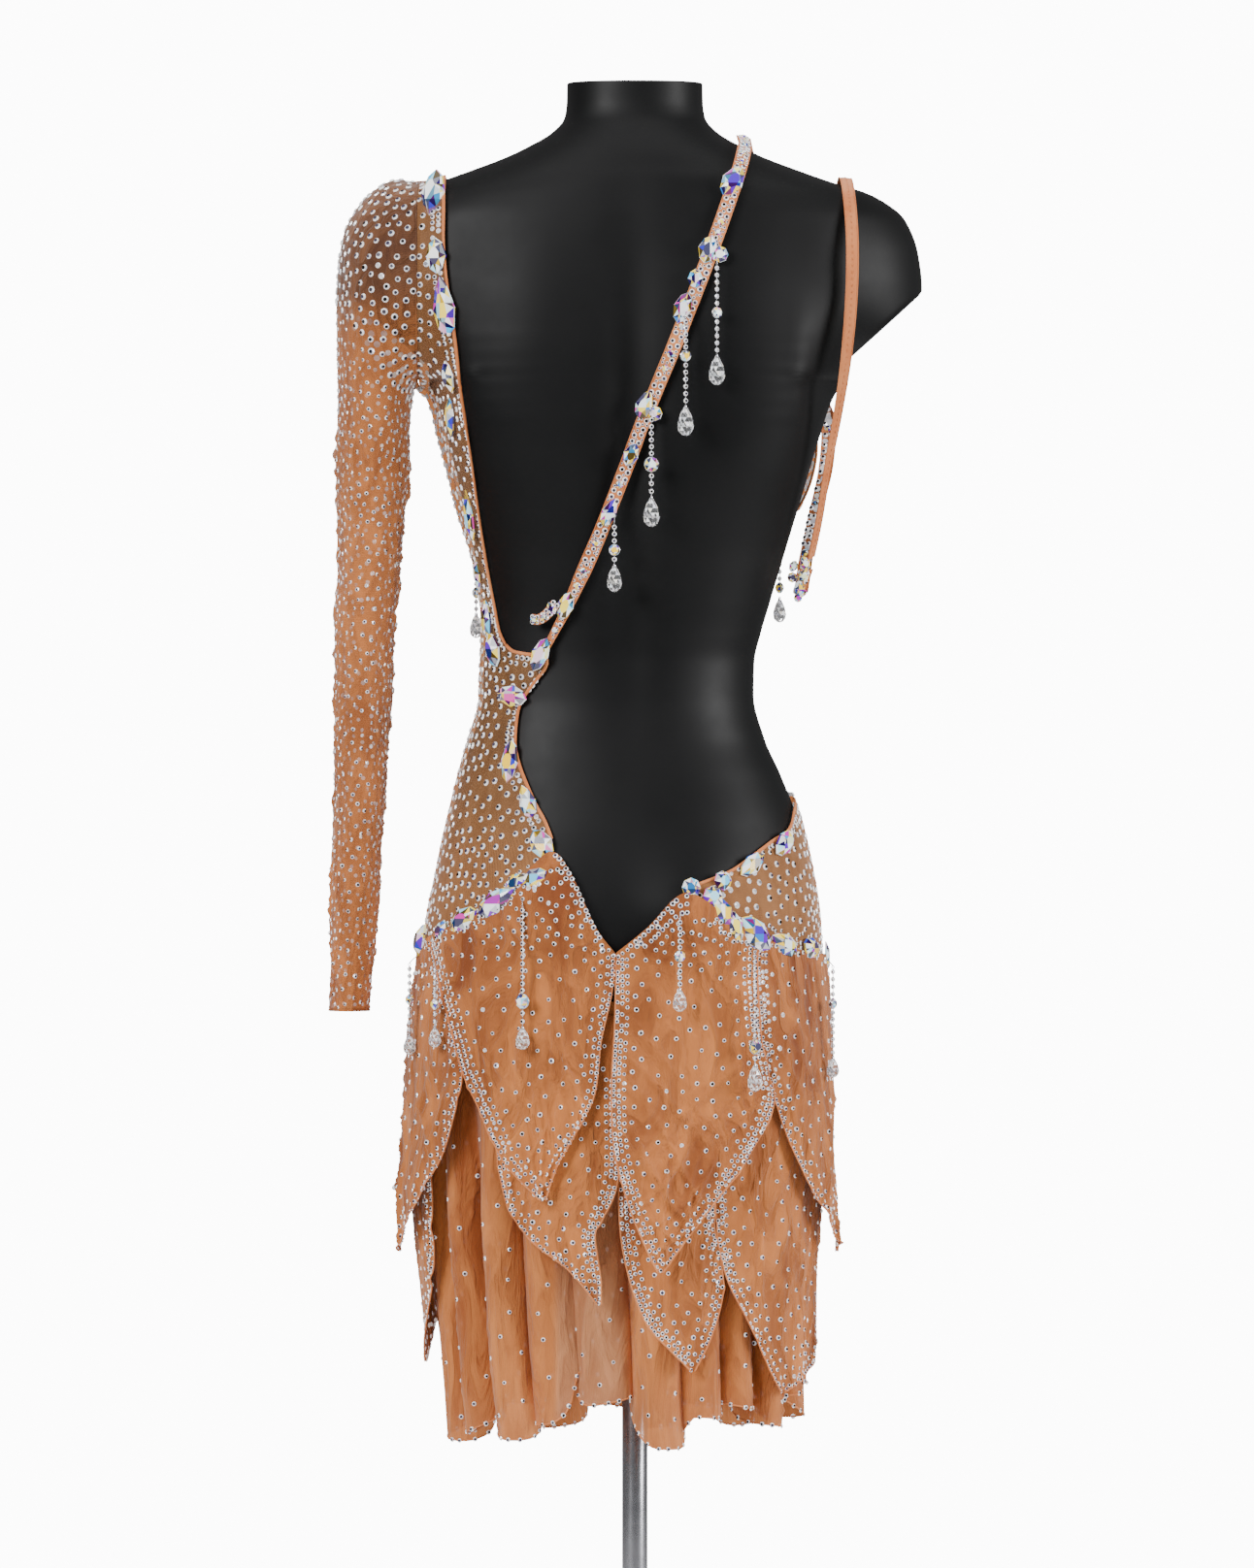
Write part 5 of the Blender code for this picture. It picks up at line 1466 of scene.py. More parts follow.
RIGHT_HIP_GEMS = (
    (-0.1066, 0.5878, 0.0180, 0.0108, -55), (-0.0835, 0.5720, 0.0180, 0.0094, -55),
    (-0.0626, 0.5598, 0.0101, 0.0094, 0), (-0.0410, 0.5547, 0.0101, 0.0094, 0),
    (-0.0554, 0.5490, 0.0101, 0.0101, 0), (-0.0626, 0.5382, 0.0158, 0.0101, 30),
    (-0.0706, 0.5288, 0.0173, 0.0094, 25), (-0.0857, 0.5230, 0.0238, 0.0137, 48),
    (-0.1073, 0.5144, 0.0173, 0.0108, 65), (-0.1253, 0.5115, 0.0158, 0.0108, 72),
    (-0.1411, 0.5036, 0.0173, 0.0086, 20),
)


def set_gems(work: StoneWork, rows: Sequence[tuple[float, ...]],
             locate: Callable[[float, float], tuple[Array, Array]], half: float = 0.68) -> None:
    """Sets a table of large stones.

    Args:
        work: the stones that they join.
        rows: x, height, length, width and lean of each.
        locate: gives the point and outward direction at an x and a height.
        half: the radius that a stone is cut to, as a share of its width in the table.
    """
    for number, (x, z, length, width, lean) in enumerate(rows):
        point, normal = locate(x, z)
        cut = ROUND_STONE if length / width < LONG_STONE else (NAVETTE, PEAR)[number % 3 == 2]
        normal = unit(normal * np.array([1.0, 1.0, 0.35]))
        axis = unit(np.cross(np.cross(np.array([0.0, 0.0, 1.0]), normal), normal)) * -1
        across = np.cross(axis, normal)
        spin = math.radians(lean)
        long_way = axis * math.cos(spin) - across * math.sin(spin)
        for share in (-0.6, 0.0, 0.6) if length / width > LONG_STONE else (0.0,):
            work.claim(point + long_way * share * length / 2, width * 0.42)
        work.set_one(cut, point, normal, width * half, length / width, spin)


def on_cloth(side: int, lift: float) -> Callable[[float, float], tuple[Array, Array]]:
    """A way to find the cloth's point and outward direction at an x and height.

    Args:
        side: +1 on the back, -1 on the front.
        lift: how far out.

    Returns:
        The finder.
    """
    def locate(x: float, z: float) -> tuple[Array, Array]:
        """The point and direction at x and z."""
        angle = CLOTH.angle_at(np.array([x]), np.array([z]), side)
        return CLOTH.point(angle, np.array([z]), lift)[0], CLOTH.normal(angle, np.array([z]))[0]
    return locate


def panel_surface(top: Sequence[Place], bottom: Sequence[Place], left: Sequence[Place],
                  right: Sequence[Place],
                  columns: int, rows: int, lift: Callable[[Array, Array], Array]) -> Surface:
    """A panel on the body's cloth surface, from the outlines of its four edges.

    Args:
        top: its upper edge from left to right, as (angle, height).
        bottom: its lower edge.
        left: its left edge from the top down.
        right: its right edge.
        columns: how many points across.
        rows: how many points down.
        lift: how far out it stands, from the angle and height.

    Returns:
        Its surface.
    """
    grid = patch(spline(top, columns), spline(bottom, columns), spline(left, rows), spline(right, rows))
    points = CLOTH.point(grid[..., 0], grid[..., 1], lift(grid[..., 0], grid[..., 1]))
    return Surface(points, from_axis(points))


def smooth_edge(rows: Sequence[tuple[float, float, float]],
                place: Callable[[float, float], Place]) -> list[Place]:
    """A panel's free edge, drawn smooth in x and height before it is laid on the body."""
    return [place(float(x), float(z)) for x, z in spline([(x, z) for _, x, z in rows], 6 * len(rows))]


@dataclass
class Bodice:
    """The mesh panels of the body: back left, right hip and front, with their bindings and stones."""

    fabrics: Fabrics
    gems: Gems
    spacing: float = 0.0074
    stud_radii: tuple[float, float] = (0.0021, 0.0027)
    bare_margin: float = 0.0030
    binding_width: float = 0.0026
    binding_height: float = 0.0019

    def outer_edge(self, rows: Sequence[tuple[float, float, float]], point: Callable[[float, float], Place],
                   side_angle: float) -> list[Place]:
        """The armhole and the side seam of a bodice panel."""
        armhole = [point(ARMHOLE_X, row[0]) for row in rows[:ARMHOLE_ROWS]]
        return armhole + [(side_angle, row[0]) for row in rows[ARMHOLE_ROWS:]]

    def bind(self, name: str, path: tuple[Array, Array], nodes: Sequence[str]) -> bpy.types.Object:
        """A folded binding along a free edge.

        Args:
            name: its name.
            path: its points and outward directions.
            nodes: the solids that it replaces.

        Returns:
            The piece.
        """
        parts = MeshParts()
        points, normals = path
        tube(parts, even(points, 220), unit(route(normals, 220)), self.binding_width, self.binding_height,
             sides=8)
        return add_trim(parts, name, [self.fabrics.elastic], nodes)

    def edge_rows(self, work: StoneWork, surface: Surface, start: float, end: float, rows: int = 2) -> None:
        """Rows of studs just inside the free edge."""
        for number in range(rows):
            path, normals = surface.side_path(True, 0.0030 + 0.0040 * number, start, end)
            work.row(path, normals, 0.0041, 0.0021 - 0.0001 * number, STUD, jitter=0.2)

    def crust(self, work: StoneWork, places: Sequence[Place], tries: int) -> None:
        """Crowds small stones of mixed size along a seam, wherever there is room.

        Args:
            work: the stones that they join.
            places: the seam's angles and heights.
            tries: how many places are tried.
        """
        line = spline(places, tries)
        spread = work.random.normal(0.0, 1.0, (tries, 2)) * np.array([0.010, 0.0042])
        angle, z = line[:, 0] + spread[:, 0] * 3, line[:, 1] + spread[:, 1]
        layer = column_of(TOP_LIFT)(z)
        edge = line[:, 1] - 0.0035
        points = CLOTH.point(angle, z, np.where(z < edge, layer, PANEL_LIFT) + 0.0006)
        normals = CLOTH.normal(angle, z)
        sizes = work.random.uniform(0.0013, 0.0021, tries)
        free = np.array([work.claim(point, size * 1.02) for point, size in zip(points, sizes)], bool)
        work.set_stones(STUD, points[free], normals[free], sizes[free])

    def even_spacing(self, points: Array) -> Array:
        """The distance between studs on the body."""
        return np.full(len(points), self.spacing) * (1 + 0.10 * np.sin(points[:, 2] * 55 + points[:, 0] * 40))

    def fill(self, work: StoneWork, surface: Surface, name: str) -> None:
        """Scatters studs over what is left of a panel and builds its stones."""
        work.scatter(surface, self.even_spacing, self.stud_radii, self.bare_margin, tries=20.0)
        work.build(name, self.gems)

    def build_back_left(self) -> None:
        """Makes the panel from the left shoulder to the left hip."""
        left = self.outer_edge(BACK_LEFT_ROWS, back, SIDE)
        right = smooth_edge(BACK_LEFT_ROWS, back)
        bottom = [turn(*place) for place in LEFT_HIP] + [right[-1]]
        bottom = [(angle, z - HIP_TUCK) for angle, z in bottom[:-1]] + [bottom[-1]]
        left = left[:-1] + [bottom[0]]
        surface = panel_surface(
            [left[0], right[0]], bottom, left, right, 72, 260,
            lambda a, z: PANEL_LIFT + 0.0004 * ripple(a, z, 3, 7.0, 1.4))
        panel = add_sheet("back_left_mesh", surface, self.fabrics.mesh)
        binding = self.bind("back_left_binding", surface.side_path(True, -0.0006, 0.0, 0.985),
                            ["binding_upper", "binding_waist"])
        finish_cloth(panel, BACK_LEFT_CUT, ["back_left_panel"])
        work = StoneWork(11)
        set_gems(work, OPENING_GEMS, on_cloth(1, 0.0042))
        set_gems(work, LEFT_HIP_GEMS, on_cloth(1, 0.0060), 0.80)
        self.edge_rows(work, surface, 0.0, 1.0)
        self.crust(work, [back(x, z) for x, z, *_ in LEFT_HIP_GEMS], 500)
        self.fill(work, surface, "back_left_stones")

    def build_right_hip(self) -> None:
        """Makes the triangle between the open back, the right side and the hip seam."""
        left = [back(-0.0410, 0.5560), back(-0.0440, 0.5500), back(-0.0455, 0.5530)]
        right = [turn(179.88, 0.6210), turn(179.88, 0.5650), turn(179.88, 0.5075)]
        top = [left[0]] + [back(x, z) for x, z in RIGHT_HIP_EDGE] + [back(-0.1160, 0.6120), right[0]]
        bottom = [left[-1], back(-0.0626, 0.5390), back(-0.0857, 0.5235), back(-0.1070, 0.5150), right[-1]]
        bottom = [bottom[0]] + [(angle, z - HIP_TUCK) for angle, z in bottom[1:]]
        right = right[:-1] + [bottom[-1]]
        surface = panel_surface(
            top, bottom, left, right, 90, 60, lambda a, z: PANEL_LIFT + 0.0003 * ripple(a, z, 5, 7.0, 1.4))
        panel = add_sheet("right_hip_mesh", surface, self.fabrics.mesh)
        binding = self.bind("right_hip_binding", surface.level_path(0.0, 0.02, 1.0), ["binding_hip"])
        finish_cloth(panel, RIGHT_HIP_CUT, ["right_hip_panel"])
        work = StoneWork(12)
        set_gems(work, RIGHT_HIP_GEMS, on_cloth(1, 0.0058), 0.76)
        for share, start in ((0.05, 0.12), (0.10, 0.22)):
            path, normals = surface.level_path(share, start, 1.0)
            work.row(path, normals, 0.0044, 0.0020, STUD, jitter=0.2)
        self.crust(work, [back(x, z) for x, z, *_ in RIGHT_HIP_GEMS[5:]], 420)
        self.fill(work, surface, "right_hip_stones")

    def build_front(self) -> None:
        """Makes the front, from the left shoulder round the right cup and the cut-out waist to the hip."""
        left = self.outer_edge(FRONT_ROWS, front, 2 * math.pi - SIDE)
        right = smooth_edge(FRONT_ROWS, front)
        right = [(max(angle, math.pi + SIDE), z) for angle, z in right]
        bottom = [(angle, z - HIP_TUCK) for angle, z in (turn(*place) for place in reversed(FRONT_HIP))]
        left, right = left[:-1] + [bottom[0]], right[:-1] + [bottom[-1]]
        lift = column_of(FRONT_LIFT)
        surface = panel_surface(
            [left[0], right[0]], bottom, left, right, 150, 260,
            lambda a, z: lift(z) + 0.0004 * ripple(a, z, 7, 6.0, 1.2))
        panel = add_sheet("front_mesh", surface, self.fabrics.mesh)
        binding = self.bind("front_binding", surface.side_path(True, -0.0006, 0.0, 0.86), [])
        finish_cloth(panel, FRONT_CUT, ["front_bodice"])
        work = StoneWork(13)
        path, normals = surface.side_path(True, 0.0060, 0.04, 0.86)
        spots = even(np.hstack([path, normals]), 24)
        sizes = work.random.uniform(0.0085, 0.0125, len(spots))
        for spot, ahead, width in zip(spots[:-1], spots[1:], sizes):
            run = unit(ahead[:3] - spot[:3])
            normal = unit(spot[3:])
            level = unit(np.cross(np.array([0.0, 0.0, 1.0]), normal))
            spin = math.atan2(-(run @ level), run @ np.cross(normal, level))
            work.claim(spot[:3], width * 0.45)
            for way in (-1, 1):
                work.claim(spot[:3] + run * way * width * 0.55, width * 0.40)
            work.set_one(NAVETTE, spot[:3], normal, width / 2, 1.75, spin, sink=0.0004)
        for height in np.linspace(0.752, 0.832, 11):
            work.claim(np.array([-0.1085, -0.0660, height]), 0.0065)
        self.edge_rows(work, surface, 0.0, 0.87, rows=3)
        self.crust(work, [turn(degrees, z + 0.004) for degrees, z in FRONT_HIP], 1100)
        self.fill(work, surface, "front_stones")

    def build_seams(self) -> None:
        """The flat-felled side seams and the shoulder seam."""
        parts = MeshParts()
        for degrees, low, high in ((0.0, 0.508, 0.926), (180.0, 0.508, 0.618)):
            z = np.linspace(high, low, 90)
            angle = np.full(90, math.radians(degrees))
            tube(parts, CLOTH.point(angle, z, PANEL_LIFT), CLOTH.normal(angle, z), 0.0030, 0.0010, sides=6)
        x = np.linspace(0.1415, 0.1595, 12)
        rear = CLOTH.point(CLOTH.angle_at(x, 1.0778 + 0 * x, 1), 1.0778 + 0 * x, PANEL_LIFT)
        ahead = CLOTH.point(CLOTH.angle_at(x, 1.0778 + 0 * x, -1), 1.0778 + 0 * x, PANEL_LIFT)
        crest = (rear + ahead) / 2
        crest[:, 2] = np.maximum(rear[:, 2], ahead[:, 2]) + 0.0006
        width = np.abs(rear[:, 1] - ahead[:, 1]) + 0.004
        tube(parts, crest, np.tile([0.0, 0.0, 1.0], (12, 1)), width, 0.0012, sides=8)
        add_trim(parts, "bodice_seams", [self.fabrics.elastic])

    def build(self) -> None:
        """Makes the whole bodice."""
        self.build_back_left()
        self.build_right_hip()
        self.build_front()
        self.build_seams()


# ---- Sleeve ----

# Sections of the sleeve: inner x and height, outer x and height, and half its depth.
SLEEVE_ROWS = (
    (0.1650, 0.9262, 0.1790, 1.0830, 0.0740), (0.1655, 0.9230, 0.1960, 1.0740, 0.0730),
    (0.1662, 0.9200, 0.2090, 1.0590, 0.0715), (0.1668, 0.9165, 0.2180, 1.0380, 0.0690),
    (0.1674, 0.9120, 0.2220, 1.0026, 0.0655), (0.1680, 0.9030, 0.2220, 0.9620, 0.0610),
    (0.1690, 0.8860, 0.2211, 0.9120, 0.0575), (0.1706, 0.8550, 0.2211, 0.8680, 0.0540),
    (0.1750, 0.8118, 0.2211, 0.8118, 0.0505), (0.1807, 0.7540, 0.2225, 0.7540, 0.0480),
    (0.1836, 0.6973, 0.2225, 0.6973, 0.0460), (0.1858, 0.6397, 0.2232, 0.6397, 0.0440),
    (0.1902, 0.5670, 0.2246, 0.5670, 0.0410), (0.1944, 0.5140, 0.2261, 0.5140, 0.0385),
    (0.1980, 0.4640, 0.2268, 0.4640, 0.0360),
)


@dataclass
class Sleeve:
    """The one long sleeve, from the armhole seam to the cuff."""

    fabrics: Fabrics
    gems: Gems
    half_columns: int = 60
    rows: int = 300

    def surface(self) -> Surface:
        """The sleeve's tube, with soft creases down the arm."""
        outer = spline([(row[0], 0.0) for row in BACK_LEFT_ROWS[:ARMHOLE_ROWS]], self.half_columns)[:, 0]
        rear = CLOTH.point(CLOTH.angle_at(ARMHOLE_X, outer, 1), outer, PANEL_LIFT)
        ahead = CLOTH.point(CLOTH.angle_at(ARMHOLE_X, outer[::-1], -1), outer[::-1], PANEL_LIFT)
        first = np.concatenate([rear, ahead]) + np.array([0.0003, 0, 0])
        middle_z = (first[:, 2].max() + first[:, 2].min()) / 2
        reach_z = (first[:, 2].max() - first[:, 2].min()) / 2
        angles = np.unwrap(np.arctan2(first[:, 1] / SLEEVE_ROWS[0][4], (first[:, 2] - middle_z) / reach_z))
        rings, middles = [first], [first.mean(axis=0)]
        for inner_x, inner_z, outer_x, outer_z, half_depth in SLEEVE_ROWS:
            middle = np.array([(inner_x + outer_x) / 2, 0.0, (inner_z + outer_z) / 2])
            reach = np.array([(outer_x - inner_x) / 2, 0.0, (outer_z - inner_z) / 2])
            ring = middle + np.cos(angles)[:, None] * reach
            side = np.sign(np.sin(angles))
            stump = np.abs(FORM.depth_at(ring[:, 0], ring[:, 2], side)) + 1.4 * PANEL_LIFT
            stump *= (ring[:, 2] > STUMP_FOOT[1]) & (ring[:, 0] < FORM.half_width(ring[:, 2]))
            ring[:, 1] = side * np.maximum(np.abs(np.sin(angles)) * half_depth, stump)
            rings.append(ring)
            middles.append(middle)
        columns = len(first)
        grid = spline(np.array(rings).reshape(len(rings), -1), self.rows).reshape(self.rows, columns, 3)
        centres = spline(np.array(middles), self.rows)
        smooth = Surface(grid, grid - centres[:, None], closed=True)
        turn_by = np.broadcast_to(angles[None], (self.rows, columns))
        z = grid[..., 2]
        low = smoothstep(0.93, 0.86, z)
        wave = ripple(turn_by, z, 21, 2.0, 1.1) * 0.0011 + ripple(turn_by, z, 22, 4.0, 2.4) * 0.0006
        elbow = np.exp(-((z - 0.770) / 0.075) ** 2)
        crease = (1 - np.abs(np.sin(turn_by * 1.5 + z * 55 + 0.8 * np.sin(z * 31)))) ** 3
        armpit = np.exp(-((z - 0.885) / 0.045) ** 2) * (np.cos(turn_by) < 0.2)
        pull = (1 - np.abs(np.sin(turn_by * 3.0 - z * 48))) ** 3
        crumple = creases(turn_by * 0.33, z, 25, 7, 0.8) * 0.0020
        return smooth.move_out(low * (wave + crumple) + elbow * crease * 0.0018 + armpit * pull * 0.0014)

    def spacing(self, points: Array) -> Array:
        """Wider apart over the shoulder cap, close down the arm."""
        return 0.0070 + 0.0007 * smoothstep(0.915, 0.975, points[:, 2])

    def build(self) -> None:
        """Makes the sleeve, its armhole seam, its cuff and its stones."""
        surface = self.surface()
        sleeve = add_sheet("left_sleeve_mesh", surface, self.fabrics.sleeve)
        parts = MeshParts()
        for share, width in ((0.0, 0.0010), (0.999, 0.0018)):
            points, normals = surface.level_path(share)
            tube(parts, points, normals, width, 0.0014, sides=6)
        hems = add_trim(parts, "left_sleeve_seams", [self.fabrics.sleeve])
        finish_cloth(sleeve, SLEEVE_CUT, ["left_sleeve"])
        work = StoneWork(14)
        cap = surface.points[..., 2].max(axis=1)
        shoulder = int(np.argmax(cap < 0.985))
        upper = Surface(surface.points[:shoulder], surface.normals[:shoulder], closed=True)
        lower = Surface(surface.points[shoulder - 1:], surface.normals[shoulder - 1:], closed=True)
        work.scatter(upper, self.spacing, (0.0022, 0.0028), 0.003, STUD, tries=26.0)
        work.scatter(lower, self.spacing, (0.0014, 0.0019), 0.003, TINY_STUD, tries=12.0)
        work.build("left_sleeve_stones", self.gems)


# ---- Straps ----

STRAP_LIFT = 0.0048
TAB_RISE = 0.0045
STRAP_WIDTH = 0.0102
STRAP_LINE = ((-0.0800, 1.1045), (-0.0785, 1.0950), (-0.0740, 1.0780), (-0.0565, 1.0270), (-0.0320, 0.9630),
              (-0.0095, 0.9060), (0.0075, 0.8670), (0.0250, 0.8230), (0.0400, 0.7850), (0.0530, 0.7560),
              (0.0640, 0.7340))
STRAP_FRONT = ((-0.0815, 1.1045), (-0.0820, 1.0980), (-0.0830, 1.0800), (-0.0830, 1.0400), (-0.0815, 1.0000),
               (-0.0800, 0.9600))
STRAP_CROWN = (-0.0810, 0.0000, 1.1150)
TAB_LINE = ((0.0722, 0.7562), (0.0675, 0.7560), (0.0620, 0.7600), (0.0560, 0.7680))
PLAIN_ROUTE = (
    (-0.1042, -0.0962, 0.9487), (-0.1132, -0.0910, 0.9650), (-0.1260, -0.0885, 0.9980),
    (-0.1420, -0.0760, 1.0330), (-0.1530, -0.0500, 1.0690), (-0.1565, 0.0020, 1.0845),
    (-0.1590, 0.0560, 1.0675), (-0.1610, 0.0790, 1.0320), (-0.1600, 0.0820, 0.9900),
    (-0.1560, 0.0760, 0.9450), (-0.1500, 0.0620, 0.9050), (-0.1435, 0.0480, 0.8700),
    (-0.1370, 0.0330, 0.8300), (-0.1310, 0.0180, 0.8010),
)
LOOP_ROUTE = (
    (-0.1280, 0.0100, 0.7930), (-0.1240, 0.0030, 0.7800), (-0.1235, -0.0060, 0.7760),
    (-0.1250, -0.0140, 0.7830), (-0.1280, -0.0220, 0.8030), (-0.1345, -0.0290, 0.8340),
    (-0.1425, -0.0385, 0.8680), (-0.1450, -0.0590, 0.9000), (-0.1400, -0.0775, 0.9180),
    (-0.1248, -0.0918, 0.9320),
)
STRAP_GEMS = (
    (-0.0720, 1.0782, 0.0194, 0.0122, -35), (-0.0540, 1.0278, 0.0158, 0.0108, -15),
    (-0.0626, 1.0242, 0.0094, 0.0094, 0), (-0.0446, 1.0062, 0.0108, 0.0086, 0),
    (-0.0353, 0.9846, 0.0180, 0.0101, -20), (-0.0072, 0.9126, 0.0151, 0.0101, -22),
    (-0.0151, 0.9068, 0.0086, 0.0086, 0), (0.0029, 0.8766, 0.0137, 0.0086, -24),
    (0.0194, 0.8334, 0.0158, 0.0086, -24), (0.0511, 0.7650, 0.0166, 0.0094, -22),
    (0.0698, 0.7290, 0.0202, 0.0101, -25),
)

# Rows of stones along a strap: the share across it, the step, the radius and the cut.
STRAP_LINES = ((0.50, 0.0170, 0.0029, ROUND_STONE), (0.26, 0.0056, 0.0022, STUD),
               (0.74, 0.0056, 0.0022, STUD), (0.50, 0.0042, 0.0019, STUD))
LOOP_LINES = ((0.50, 0.0150, 0.0030, ROUND_STONE), (0.25, 0.0050, 0.0021, STUD),
              (0.75, 0.0050, 0.0021, STUD), (0.50, 0.0042, 0.0018, STUD))

# The cluster at the foot of the arm loop: x, y, height, half width, length against width, lean in radians.
LOOP_GEMS = (
    (-0.1268, 0.0240, 0.7970, 0.0040, 1.4, 0.4), (-0.1180, 0.0215, 0.7950, 0.0036, 1.3, -0.5),
    (-0.1258, 0.0205, 0.7880, 0.0042, 1.3, -0.7), (-0.1172, 0.0180, 0.7868, 0.0040, 1.0, 0.0),
    (-0.1225, 0.0150, 0.7790, 0.0044, 1.3, 0.2), (-0.1215, 0.0110, 0.7715, 0.0034, 1.0, 0.0),
)


def pull_taut(line: Array) -> Array:
    """A strap's line with y drawn to the tightest curve over its own y, as it bridges hollows under it."""
    length = np.concatenate([[0], np.cumsum(np.linalg.norm(np.diff(line[:, [0, 2]], axis=0), axis=1))])
    hull = [0]
    for index in range(1, len(line)):
        while len(hull) > 1:
            a, b = hull[-2], hull[-1]
            rise = (line[b, 1] - line[a, 1]) * (length[index] - length[a])
            if rise > (line[index, 1] - line[a, 1]) * (length[b] - length[a]):
                break
            hull.pop()
        hull.append(index)
    taut = line.copy()
    taut[:, 1] = np.interp(length, length[hull], line[hull, 1])
    return taut


def ribbon(path: Array, facing: Array, width: float | Array, crown: float = 0.0005,
           columns: int = 7) -> Surface:
    """A flat strap along a path, its middle a little proud.

    Args:
        path: its middle line.
        facing: a rough outward direction at each point.
        width: its width.
        crown: how far its middle stands proud.
        columns: how many points across.

    Returns:
        Its surface.
    """
    sideways, outwards = frames_along(path, facing)
    across = np.linspace(-0.5, 0.5, columns)[None, :, None]
    spread = np.broadcast_to(width, len(path))[:, None, None]
    points = path[:, None] + sideways[:, None] * across * spread
    points = points + outwards[:, None] * crown * (1 - 4 * across**2)
    return Surface(points, np.broadcast_to(outwards[:, None], points.shape))


def cloth_line(line: Sequence[Place], side: int, lift: float, count: int) -> tuple[Array, Array]:
    """A smooth line over the cloth's surface through x and height places.

    Args:
        line: the x and height of each place.
        side: +1 on the back, -1 on the front.
        lift: how far out.
        count: how many points to give.

    Returns:
        The points and their outward directions.
    """
    x, z = np.array(line).T
    angle = CLOTH.angle_at(x, z, side)
    both = route(np.hstack([CLOTH.point(angle, z, lift), CLOTH.normal(angle, z)]), count)
    return both[:, :3], unit(both[:, 3:])


